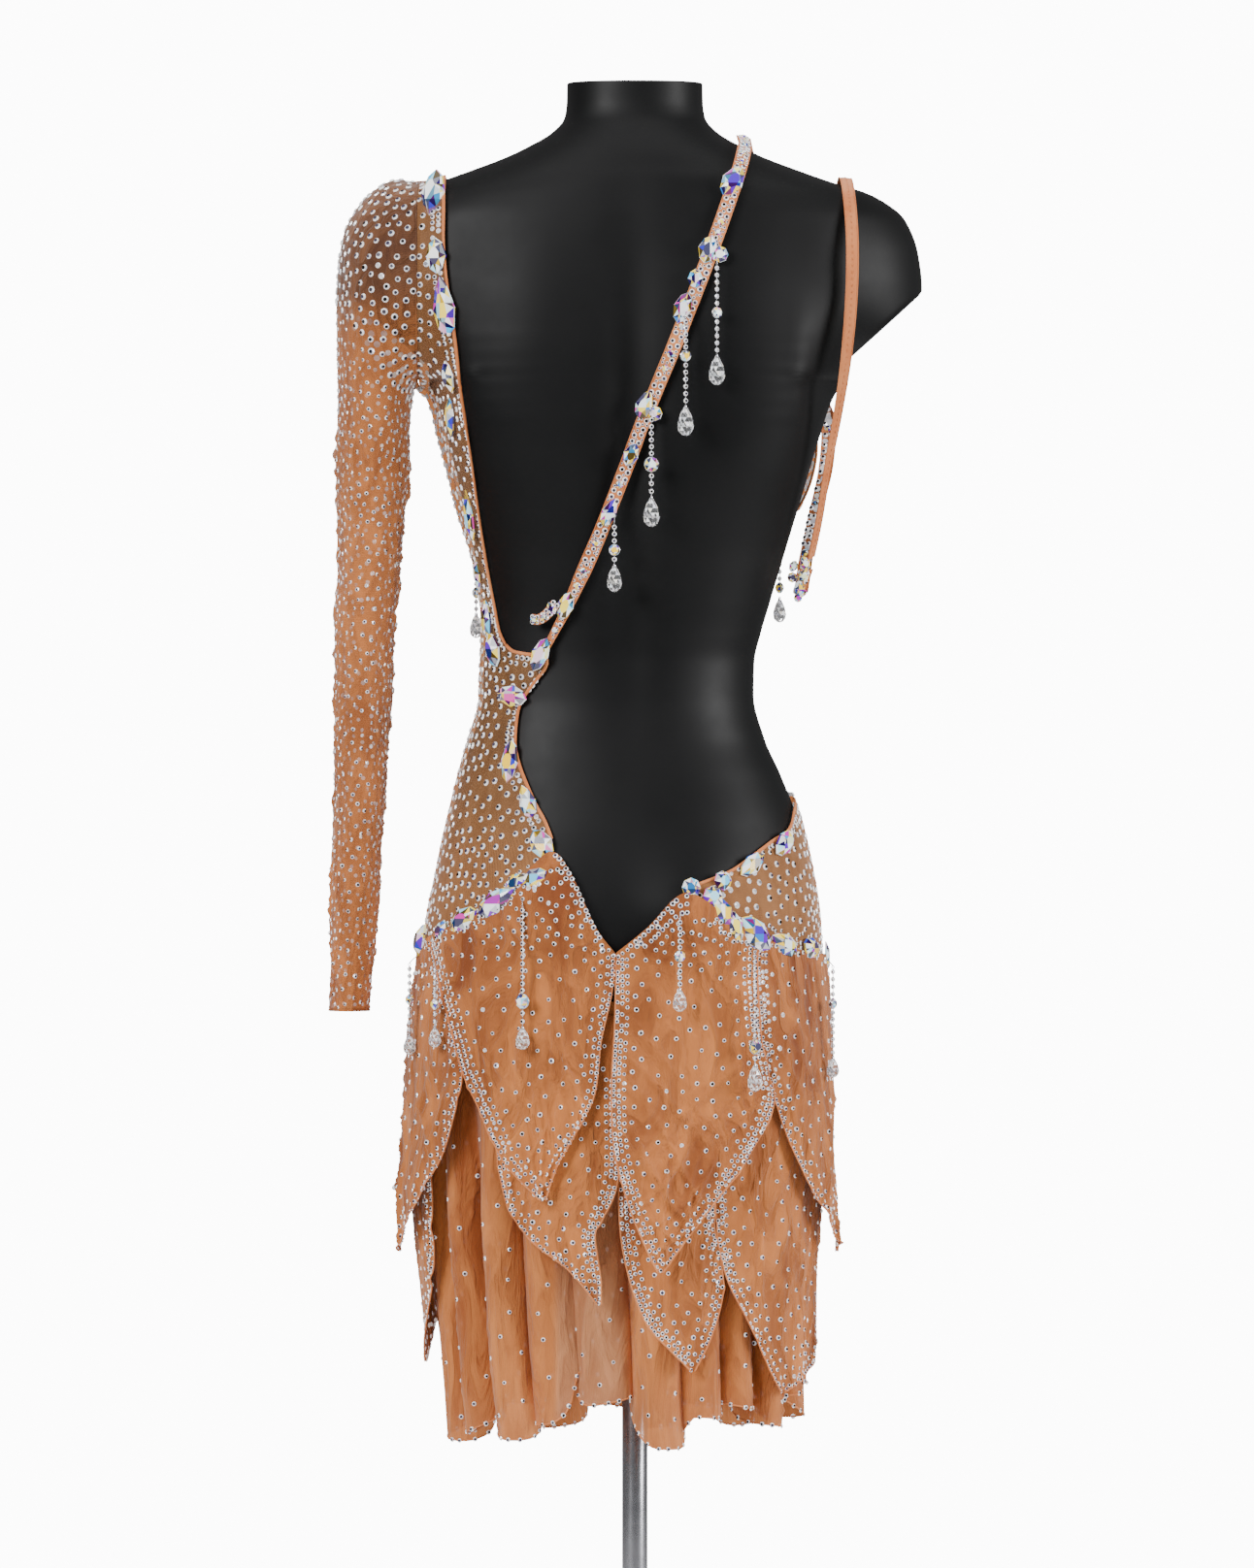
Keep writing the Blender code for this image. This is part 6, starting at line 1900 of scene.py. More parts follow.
@dataclass
class Straps:
    """The jewelled back strap with its hook tab, and the plain strap that loops under the right arm."""

    fabrics: Fabrics
    gems: Gems
    plain_width: float = 0.0088
    piping_width: float = 0.0010
    plain_piping_width: float = 0.0007
    tab_width: float = 0.0078
    rear: Array = field(init=False)
    rear_facing: Array = field(init=False)

    def add_piping(self, name: str, surface: Surface, width: float) -> bpy.types.Object:
        """Thin turned edges down both sides of a strap."""
        parts = MeshParts()
        for right in (False, True):
            points, normals = surface.side_path(right, 0.0)
            tube(parts, even(points, 160), unit(route(normals, 160)), width, 0.0013)
        return add_trim(parts, name, [self.fabrics.elastic])

    def stone_lines(self, work: StoneWork, surface: Surface,
                    lines: Sequence[tuple[float, float, float, StoneCut]],
                    count: int, both_sides: bool = False) -> None:
        """Sets rows of stones along a strap.

        Args:
            work: the stones that they join.
            surface: the strap.
            lines: the share across, the step, the radius and the cut of each row.
            count: how many points its path has.
            both_sides: whether the underside has them too.
        """
        for share, step, radius, cut in lines:
            points, normals = surface.at(np.full(count, share), np.linspace(0.02, 0.985, count))
            work.row(points, normals, step, radius, cut, jitter=0.3)
            if both_sides:
                work.row(points - normals * 0.0042, -normals, step, radius, cut, jitter=0.3)

    def build_back_strap(self) -> None:
        """Makes the strap from the front neckline over the right shoulder to the left waist."""
        rear, rear_facing = cloth_line(STRAP_LINE, 1, STRAP_LIFT, 120)
        self.rear, self.rear_facing = pull_taut(rear), rear_facing
        ahead, ahead_facing = cloth_line(STRAP_FRONT, -1, STRAP_LIFT, 50)
        path = np.vstack([ahead[::-5], STRAP_CROWN, self.rear[::6], self.rear[-1:]])
        facing = np.vstack([ahead_facing[::-5], [[-0.25, 0.0, 0.97]], rear_facing[::6], rear_facing[-1:]])
        both = route(np.hstack([path, facing]), 260)
        width = STRAP_WIDTH * (1 - 0.55 * smoothstep(0.93, 1.0, np.linspace(0, 1, len(both))))
        surface = ribbon(both[:, :3], unit(both[:, 3:]), width)
        strap = add_sheet("back_strap", surface, self.fabrics.elastic)
        trims = [self.add_piping("back_strap_edges", surface, self.piping_width), self.build_tab()]
        finish_cloth(strap, STRAP_CUT, ["diagonal_strap"])
        work = StoneWork(15)
        set_gems(work, STRAP_GEMS, self.on_strap)
        self.stone_lines(work, surface, STRAP_LINES, 400)
        work.scatter(surface, lambda points: np.full(len(points), 0.0023), (0.0011, 0.0015), 0.0008,
                     TINY_STUD, 7.0)
        tab_points, tab_normals = cloth_line(TAB_LINE, 1, STRAP_LIFT + TAB_RISE + 0.0008, 24)
        level = unit(np.cross(tab_points[1:] - tab_points[:-1], tab_normals[1:]))
        for way in (-0.0019, 0.0019):
            work.row(tab_points[1:] + level * way, tab_normals[1:], 0.0034, 0.0018, STUD)
        for share, width, longer, lean in ((4, 0.0056, 1.4, 1.1), (13, 0.0058, 1.3, -0.6),
                                           (20, 0.0066, 1.5, 0.5)):
            out = tab_normals[share]
            work.set_one(NAVETTE, tab_points[share] + out * 0.0008, out, width / 2, longer, lean)
        work.build("back_strap_stones", self.gems)

    def on_strap(self, x: float, z: float) -> tuple[Array, Array]:
        """The strap's own point and outward direction beside an x and height."""
        nearest = int(np.argmin((self.rear[:, 0] - x) ** 2 + (self.rear[:, 2] - z) ** 2))
        point = np.array([x, self.rear[nearest, 1], z]) + self.rear_facing[nearest] * 0.0012
        return point, self.rear_facing[nearest]

    def build_tab(self) -> bpy.types.Object:
        """The hook tab that closes the strap, with its metal hook."""
        points, facing = cloth_line(TAB_LINE, 1, STRAP_LIFT + TAB_RISE, 24)
        parts = MeshParts()
        surface = ribbon(points, facing, self.tab_width, crown=0.0007)
        back_face = surface.points - surface.normals * 0.0009
        rings = np.concatenate([surface.points, back_face[:, ::-1]], axis=1)
        faces = tube_faces(len(rings), rings.shape[1])
        parts.add(rings.reshape(-1, 3), faces if not surface.flipped else [f[::-1] for f in faces],
                  smooth=True)
        middle, out = points[4], facing[4]
        level = unit(np.cross(np.array([0.0, 0.0, 1.0]), out))
        angles = np.linspace(-0.5, math.pi + 0.5, 20)[:, None]
        hook = middle + out * 0.0014 + level * 0.0022 * np.cos(angles)
        hook = hook + np.cross(out, level) * 0.0026 * np.sin(angles)
        tube(parts, hook, np.tile(out, (20, 1)), 0.0009, 0.0009, slot=1)
        return add_trim(parts, "strap_hook_tab", [self.fabrics.elastic, self.gems.silver],
                        ["strap_tab"])

    def build_arm_loop(self) -> None:
        """Makes the plain strap over the right shoulder and the jewelled strap that it turns into."""
        middle = np.array((-0.100, 0.0, 0.930))
        plain = route(PLAIN_ROUTE, 220)
        loop = route(LOOP_ROUTE, 120)
        surfaces = []
        for line, width, twist in ((plain, self.plain_width, 0.09), (loop, STRAP_WIDTH, 0.0)):
            away = line - middle
            away[:, 0] *= 0.2
            away[:, 0] -= twist * smoothstep(0.50, 1.0, np.linspace(0, 1, len(line)))
            surfaces.append(ribbon(line, unit(away), width))
        stitches = MeshParts()
        for share in np.linspace(0.01, 0.99, 110):
            run, normals = surfaces[0].at(np.full(3, 0.5), share + np.array([-0.0018, 0.0, 0.0018]))
            tube(stitches, run + normals * 0.0002, normals, 0.0005, 0.0004, sides=4)
        thread = add_trim(stitches, "shoulder_strap_stitches", [self.fabrics.elastic])
        edges = self.add_piping("shoulder_strap_edges", surfaces[0], self.plain_piping_width)
        strap = add_sheet("shoulder_strap_plain", surfaces[0], self.fabrics.elastic)
        finish_cloth(strap, PLAIN_CUT, ["shoulder_strap"])
        front_edges = self.add_piping("arm_loop_edges", surfaces[1], self.piping_width)
        piece = add_sheet("arm_loop", surfaces[1], self.fabrics.elastic)
        finish_cloth(piece, LOOP_CUT, ["arm_loop_front"])
        work = StoneWork(16)
        for share, lean, width in ((0.10, 0.2, 0.0110), (0.22, -0.3, 0.0100), (0.80, 0.1, 0.0105)):
            (point,), (normal,) = surfaces[1].at(np.array([0.5]), np.array([share]))
            work.claim(point, width * 0.6)
            work.set_one(NAVETTE, point, normal, width / 2, 1.5, lean)
        self.stone_lines(work, surfaces[1], LOOP_LINES, 300, both_sides=True)
        way = unit(np.array([-0.25, 1.0, 0.0]))
        for *place, size, longer, lean in LOOP_GEMS:
            work.set_one(NAVETTE if longer > LONG_STONE else ROUND_STONE, np.array(place), way, size, longer,
                         lean)
        work.build("arm_loop_stones", self.gems)

    def build(self) -> None:
        """Makes all the straps."""
        self.build_back_strap()
        self.build_arm_loop()


# ---- Skirt ----


@dataclass(frozen=True)
class Petal:
    """One handkerchief point: its top and, below the top's ends, its sides, each in degrees and height."""

    node: str
    layer: str
    top: tuple[Place, ...]
    left: tuple[Place, ...]
    right: tuple[Place, ...]

    def outlines(self) -> list[list[Place]]:
        """Its top and both whole sides, in radians and height."""
        edges = (self.top, (self.top[0], *self.left), (self.top[-1], *self.right))
        return [[turn(*place) for place in edge] for edge in edges]


UPPER_PETALS = (
    Petal("petal_back_left", "top",
          ((20, 0.5194), (35, 0.5290), (49, 0.5410), (57, 0.5580), (66, 0.5800), (72, 0.5690), (81, 0.5290),
           (87.9, 0.5080)),
          ((35, 0.4618), (42, 0.4208), (49, 0.3913), (56, 0.3582), (63, 0.3387), (68.4, 0.3265)),
          ((87.4, 0.4800), (84.5, 0.4430), (83.3, 0.4093), (80.5, 0.3884), (73, 0.3520), (69.6, 0.3265))),
    Petal("petal_back_right", "top",
          ((88.4, 0.5080), (98, 0.5280), (106, 0.5480), (111, 0.5500), (119, 0.5380), (131.3, 0.5205)),
          ((88.3, 0.4600), (87.6, 0.4100), (88.8, 0.3620), (93, 0.3220), (98, 0.2880), (100.6, 0.2735)),
          ((131.2, 0.4546), (133.9, 0.4194), (135.5, 0.3950), (124, 0.3450), (112, 0.3080), (102, 0.2735))),
    Petal("petal_side_right", "top",
          ((131.7, 0.5200), (145, 0.5130), (160, 0.5070), (180, 0.5060), (197, 0.5030), (214.8, 0.4930)),
          ((131.6, 0.4546), (134.6, 0.4170), (141, 0.3780), (150.8, 0.3344), (162.6, 0.3034),
           (168.6, 0.2875)),
          ((213, 0.4500), (207, 0.4100), (198, 0.3700), (188, 0.3300), (176, 0.2990), (170, 0.2875))),
    Petal("petal_side_left", "top",
          ((-34.8, 0.4930), (-17, 0.5020), (0, 0.5060), (12, 0.5110), (19.6, 0.5185)),
          ((-33, 0.4500), (-27, 0.4100), (-18, 0.3700), (-9, 0.3300), (2, 0.3000), (6.5, 0.2895)),
          ((34.5, 0.4610), (41.4, 0.4208), (38, 0.3850), (32, 0.3500), (20, 0.3120), (8, 0.2895))),
    Petal("petal_front_left", "top",
          ((270.3, 0.4815), (285, 0.4830), (300, 0.4850), (313, 0.4890), (324.8, 0.4930)),
          ((271, 0.4500), (273, 0.4150), (278, 0.3750), (285, 0.3420), (293, 0.3150), (297.4, 0.3005)),
          ((324, 0.4550), (321, 0.4200), (317, 0.3850), (311, 0.3500), (304, 0.3200), (299, 0.3005))),
    Petal("petal_front_right", "top",
          ((215.2, 0.4930), (228, 0.4890), (242, 0.4850), (256, 0.4830), (269.7, 0.4815)),
          ((216, 0.4550), (219, 0.4200), (223, 0.3850), (229, 0.3480), (236, 0.3150), (240.4, 0.2965)),
          ((269, 0.4500), (267, 0.4150), (262, 0.3750), (255, 0.3400), (247, 0.3120), (242, 0.2965))),
)
LOWER_PETALS = (
    Petal("lower_petal_back_left", "lower",
          ((47, 0.4620), (60, 0.4620), (75, 0.4620), (89.7, 0.4620)),
          ((50, 0.4200), (52.7, 0.3654), (56, 0.3250), (64, 0.2960), (74.8, 0.2746), (82.8, 0.2490)),
          ((89.7, 0.4000), (89.8, 0.3400), (85.5, 0.3120), (83.2, 0.3000), (84.2, 0.2700), (84.0, 0.2490))),
    Petal("lower_petal_back_right", "lower",
          ((90.3, 0.4620), (100, 0.4620), (110, 0.4620), (118.2, 0.4620)),
          ((90.3, 0.4000), (90.2, 0.3200), (92.1, 0.2746), (97, 0.2360), (104.5, 0.2140), (110.4, 0.1995)),
          ((118.2, 0.3900), (118.5, 0.3120), (121.0, 0.2847), (121.8, 0.2560), (117.5, 0.2250),
           (111.6, 0.1995))),
    Petal("lower_petal_far_right", "lower",
          ((118.8, 0.4620), (140, 0.4620), (165, 0.4620), (196, 0.4620)),
          ((118.9, 0.3900), (119.4, 0.3120), (122.8, 0.2700), (130, 0.2360), (137.5, 0.2000), (142, 0.1825)),
          ((194, 0.4000), (190, 0.3200), (185, 0.2600), (174, 0.2214), (158, 0.1970), (143.4, 0.1825))),
    Petal("lower_petal_far_left", "lower",
          ((-60, 0.4620), (-30, 0.4620), (0, 0.4620), (24, 0.4620)),
          ((-56, 0.4000), (-48, 0.3300), (-36, 0.2800), (-22, 0.2420), (-8, 0.2160), (0, 0.2045)),
          ((24, 0.4000), (24, 0.3300), (22, 0.2800), (16, 0.2450), (7, 0.2180), (1.5, 0.2045))),
    Petal("lower_petal_front_left", "lower",
          ((254, 0.4620), (268, 0.4620), (284, 0.4620), (299.5, 0.4620)),
          ((254, 0.4000), (256, 0.3200), (261, 0.2700), (267, 0.2350), (274, 0.2120), (278.6, 0.2000)),
          ((299.5, 0.4000), (298, 0.3200), (294, 0.2700), (289, 0.2350), (283, 0.2120), (279.8, 0.2000))),
    Petal("lower_petal_front_right", "lower",
          ((196.5, 0.4620), (215, 0.4620), (235, 0.4620), (253.5, 0.4620)),
          ((198, 0.4000), (203, 0.3200), (210, 0.2700), (218, 0.2350), (226, 0.2140), (231.4, 0.2040)),
          ((253, 0.4000), (250, 0.3200), (246, 0.2700), (241, 0.2350), (236, 0.2140), (232.6, 0.2040))),
)
HEM = (
    (0, 0.158), (6.6, 0.1566), (17, 0.1443), (27, 0.150), (34.4, 0.1602), (40, 0.176), (42.5, 0.158),
    (48, 0.149), (52.9, 0.1472), (60, 0.156), (65, 0.160), (67, 0.168), (69.5, 0.194), (72, 0.192),
    (74, 0.178), (78.6, 0.1717), (86.3, 0.178), (90, 0.176), (93.8, 0.1638), (99.9, 0.1418), (103.5, 0.1415),
    (107.7, 0.153), (110.6, 0.148), (113.5, 0.153), (115.5, 0.165), (122, 0.1616), (125.5, 0.177),
    (134.4, 0.1674), (150.3, 0.155), (155, 0.1746), (166, 0.184), (180, 0.187), (190, 0.176), (200, 0.160),
    (215, 0.172), (232, 0.152), (248, 0.168), (262, 0.150), (278, 0.168), (295, 0.150), (312, 0.170),
    (330, 0.152), (347, 0.168), (360, 0.158),
)

# The shares of a petal's top edge that border the open back.
V_EDGES = {"petal_back_left": ((0.62, 0.995),), "petal_back_right": ((0.005, 0.52),)}


# How much of the room between the two layers each may take, and the dent that keeps a petal off a drop.
LAYER_SHARE = 0.42
DROP_HOLLOWS = {"petal_side_right": (158.0, 0.455)}
DROP_HOLLOW_DEPTH = 0.0020


def hollow_mask(node: str, angle: Array, z: Array) -> Array:
    """1 where a drop hangs against this petal and 0 away from it."""
    if node not in DROP_HOLLOWS:
        return np.zeros(np.broadcast(angle, z).shape)
    degrees, height = DROP_HOLLOWS[node]
    return np.exp(-((np.degrees(angle) - degrees) / 10.0) ** 2 - ((z - height) / 0.05) ** 2)


@dataclass
class PetalSkirt:
    """The two layers of handkerchief points over the hips."""

    fabrics: Fabrics
    gems: Gems
    columns: int = 72
    rows: int = 110

    def surface(self, petal: Petal, number: int) -> Surface:
        """A petal's surface, with soft folds that grow towards its point and a lip at its edges.

        Args:
            petal: its outlines.
            number: picks its folds.

        Returns:
            Its surface.
        """
        lifts = {"top": column_of(TOP_LIFT), "lower": column_of(LOWER_LIFT)}
        top, left, right = petal.outlines()
        u = np.linspace(0, 1, self.columns)[None, :]
        v = np.linspace(0, 1, self.rows)[:, None]

        def lift(angle: Array, z: Array) -> Array:
            """How far out the petal stands."""
            loose = smoothstep(0.50, 0.32, z)
            folds = ripple(angle, z, 40 + number, 6.0, 0.35) * 0.0036
            fine = creases(angle, z, 60 + number) * (0.0013 + 0.0016 * loose)
            lip = (np.exp(-u / 0.07) + np.exp(-(1 - u) / 0.07)) * smoothstep(0.25, 0.8, v) * 0.0018
            near_drop = hollow_mask(petal.node, angle, z)
            move = (loose * (folds + lip) + fine) * (1 - near_drop) - DROP_HOLLOW_DEPTH * near_drop
            room = LAYER_SHARE * (lifts["top"](z) - lifts["lower"](z)) + 0.0040 * smoothstep(0.462, 0.475, z)
            way = -1.0 if petal.layer == "top" else 1.0
            towards = way * move
            return lifts[petal.layer](z) + np.where(towards > 0, way * room * np.tanh(towards / room), move)

        return panel_surface(top, [left[-1], right[-1]], left, right, self.columns, self.rows, lift)

    def build_petal(self, petal: Petal, number: int) -> None:
        """Makes one petal, its rolled edge and its stones."""
        surface = self.surface(petal, number)
        piece = add_sheet(petal.node + "_cloth", surface, self.fabrics.petal)
        hem = MeshParts()
        upper = petal.layer == "top"
        start = 0.0 if upper else 0.12
        for right in (False, True):
            points, normals = surface.side_path(right, 0.0, start, 1.0)
            tube(hem, even(points, 180), unit(route(normals, 180)), 0.0013, 0.0012)
        trim = add_trim(hem, petal.node + "_rolled_edge", [self.fabrics.elastic])
        finish_cloth(piece, PETAL_CUTS[petal.node], [petal.node])
        work = StoneWork(100 + number)
        for right in (False, True):
            for inset, step, radius in ((0.0017, 0.0036, 0.0018), (0.0054, 0.0040, 0.0018),
                                        (0.0092, 0.0060, 0.0018)):
                points, normals = surface.side_path(right, inset, start + 0.01, 0.992)
                work.row(points, normals, step, radius, TINY_STUD, jitter=0.18)
        for first, last in V_EDGES.get(petal.node, ()):
            for inset in (0.0018, 0.0056, 0.0096):
                points, normals = surface.level_path(inset / surface.heights().mean(), first, last)
                work.row(points, normals, 0.0041, 0.0020, STUD, jitter=0.25)

        low, high = petal.left[-1][1], petal.top[0][1]
        outline = np.concatenate([surface.points[10:, 0], surface.points[10:, -1]])[::6]

        def spacing(points: Array) -> Array:
            """Sparse in the middle, closer towards the seam, the edges and the point."""
            near_tip = smoothstep(low + 0.08, low + 0.015, points[:, 2])
            near_seam = smoothstep(high - 0.035, high + 0.010, points[:, 2]) * upper
            gaps = np.linalg.norm(points[:, None] - outline[None], axis=2).min(axis=1)
            near_edge = smoothstep(0.024, 0.010, gaps)
            return 0.0112 - 0.0052 * np.maximum(np.maximum(near_tip, near_seam), near_edge)

        work.scatter(surface, spacing, (0.0016, 0.0021), 0.0095, STUD, tries=12.0)
        work.build(petal.node + "_stones", self.gems)

    def build_seam(self) -> None:
        """The tan tape under the upper petals' top edges, which closes the seam to the bodice."""
        parts = MeshParts()
        for petal in UPPER_PETALS:
            angle, z = spline(petal.outlines()[0], 90).T
            tube(parts, CLOTH.point(angle, z - 0.0012, PANEL_LIFT + 0.0012), CLOTH.normal(angle, z), 0.0040,
                 0.0022)
        add_trim(parts, "hip_seam_tape", [self.fabrics.petal])

    def build(self) -> None:
        """Makes every petal and the seam that holds them."""
        self.build_seam()
        for number, petal in enumerate(UPPER_PETALS + LOWER_PETALS):
            self.build_petal(petal, number)


@dataclass
class Underskirt:
    """The sheer fluted skirt under the petals, in a back and a front half."""

    fabrics: Fabrics
    gems: Gems
    columns_a_flute: int = 22
    rows: int = 84

    def surface(self, start: float, end: float) -> Surface:
        """One half's surface.

        Args:
            start: its first angle, in degrees.
            end: its last angle.

        Returns:
            Its surface, with flutes that deepen and lean over towards the hem.
        """
        hem = column_of(HEM)
        lift = column_of(FLUTE_LIFT)
        count = self.columns_a_flute * FLUTES // 2 + 1
        angles = np.radians(np.linspace(start, end, count))
        share = np.linspace(0, 1, self.rows)[:, None]
        fold = FLUTES * angles + 0.9 * np.sin(3 * angles) + 0.5 * np.sin(5 * angles + 1.0)
        low = hem(np.degrees(angles)) + 0.013 * (0.5 - 0.5 * np.cos(fold)) ** 2
        z = FLUTE_TOP + (low[None] - FLUTE_TOP) * share
        angle = np.broadcast_to(angles[None], z.shape)
        drop = smoothstep(0.47, 0.20, z)
        phase = fold[None] + 0.5 * ripple(angle, z, 81, 3.0, 0.5) * drop
        degrees = np.degrees(angle)
        taper = np.minimum(smoothstep(start, start + 6, degrees), smoothstep(end, end - 6, degrees))
        depth = 0.0004 + 0.0160 * drop + 0.0045 * drop * ripple(angle, z, 82, 5.0, 0.2)
        depth = depth * (0.25 + 0.75 * taper)
        lean = 0.078 * drop * taper * (np.sin(phase) + 0.3 * ripple(angle, z, 84, 4.0, 0.2))
        wave = np.cos(phase) + 0.10 * np.cos(2 * phase)
        slit = smoothstep(20.0, 4.0, np.abs(np.degrees(angle) - SLIT_ANGLE)) * drop
        depth = depth * (1 - 0.8 * slit)
        out = lift(z) + depth * (wave - 0.74) - 0.010 * slit + creases(angle, z, 83, 5, 0.6) * 0.0014 * drop
        points = CLOTH.point(angle + lean, z, out)
        return Surface(points, from_axis(points))

    def build(self) -> None:
        """Makes both halves, their rolled hems and their stones."""
        for number, (name, start, end, cut) in enumerate((
                ("underskirt_back", 0.15, 179.85, UNDERSKIRT_CUTS[0]),
                ("underskirt_front", 180.15, 359.85, UNDERSKIRT_CUTS[1]))):
            surface = self.surface(start, end)
            piece = add_sheet(name + "_cloth", surface, self.fabrics.sheer)
            hem = MeshParts()
            u = np.linspace(0, 1, 900)
            points, normals = surface.at(u, np.ones(900))
            tube(hem, points, normals, 0.0013, 0.0012, sides=5)
            trim = add_trim(hem, name + "_rolled_hem", [self.fabrics.elastic])
            finish_cloth(piece, cut, [name])
            work = StoneWork(130 + number)
            work.row(points, normals, 0.0098, 0.0019, STUD, jitter=0.25)
            lower = Surface(surface.points[24:], surface.facing[24:])
            work.scatter(lower, lambda points: np.full(len(points), 0.0190), (0.0016, 0.0020), 0.008, STUD,
                         tries=30.0)
            work.build(name + "_stones", self.gems)


# ---- Crystal drops ----


@dataclass(frozen=True)
class Drop:
    """A hanging chain of stones: where it hangs, the heights of its parts, and its teardrop's size."""

    name: str
    x: float
    y: float
    top: float
    bead: float
    tip: float
    tear_radius: float
    tear_length: float


DROPS = tuple(Drop(*row) for row in (
    ("drop_strap_1", -0.0605, 0.1140, 1.0180, 0.9810, 0.9275, 0.0061, 0.0220),
    ("drop_strap_2", -0.0374, 0.1170, 0.9780, 0.9490, 0.8900, 0.0061, 0.0220),
    ("drop_strap_3", -0.0122, 0.1105, 0.9060, 0.8690, 0.8230, 0.0061, 0.0220),
    ("drop_strap_4", 0.0151, 0.0980, 0.8270, 0.8060, 0.7750, 0.0056, 0.0200),
    ("drop_hip_left", 0.0828, 0.1190, 0.5440, 0.4726, 0.4370, 0.0053, 0.0165),
    ("drop_hip_right", -0.0331, 0.1290, 0.5350, 0.5060, 0.4650, 0.0053, 0.0170),
    ("drop_hip_far_right", -0.0886, 0.1150, 0.5060, 0.4390, 0.4060, 0.0056, 0.0200),
    ("drop_side_left_back", 0.1480, 0.0790, 0.4990, 0.4700, 0.4380, 0.0048, 0.0150),
    ("drop_side_left", 0.1672, 0.0460, 0.5000, 0.4730, 0.4320, 0.0048, 0.0150),
    ("drop_side_right", -0.1470, 0.0460, 0.4980, 0.4700, 0.4150, 0.0048, 0.0150),
    ("drop_waist_right", -0.1085, -0.0660, 0.8280, 0.7800, 0.7540, 0.0050, 0.0180),
    ("drop_waist_left", 0.1185, -0.0350, 0.8000, 0.7760, 0.7420, 0.0050, 0.0180),
))


WITH_DISC = ("drop_strap_3", "drop_hip_left", "drop_hip_far_right")


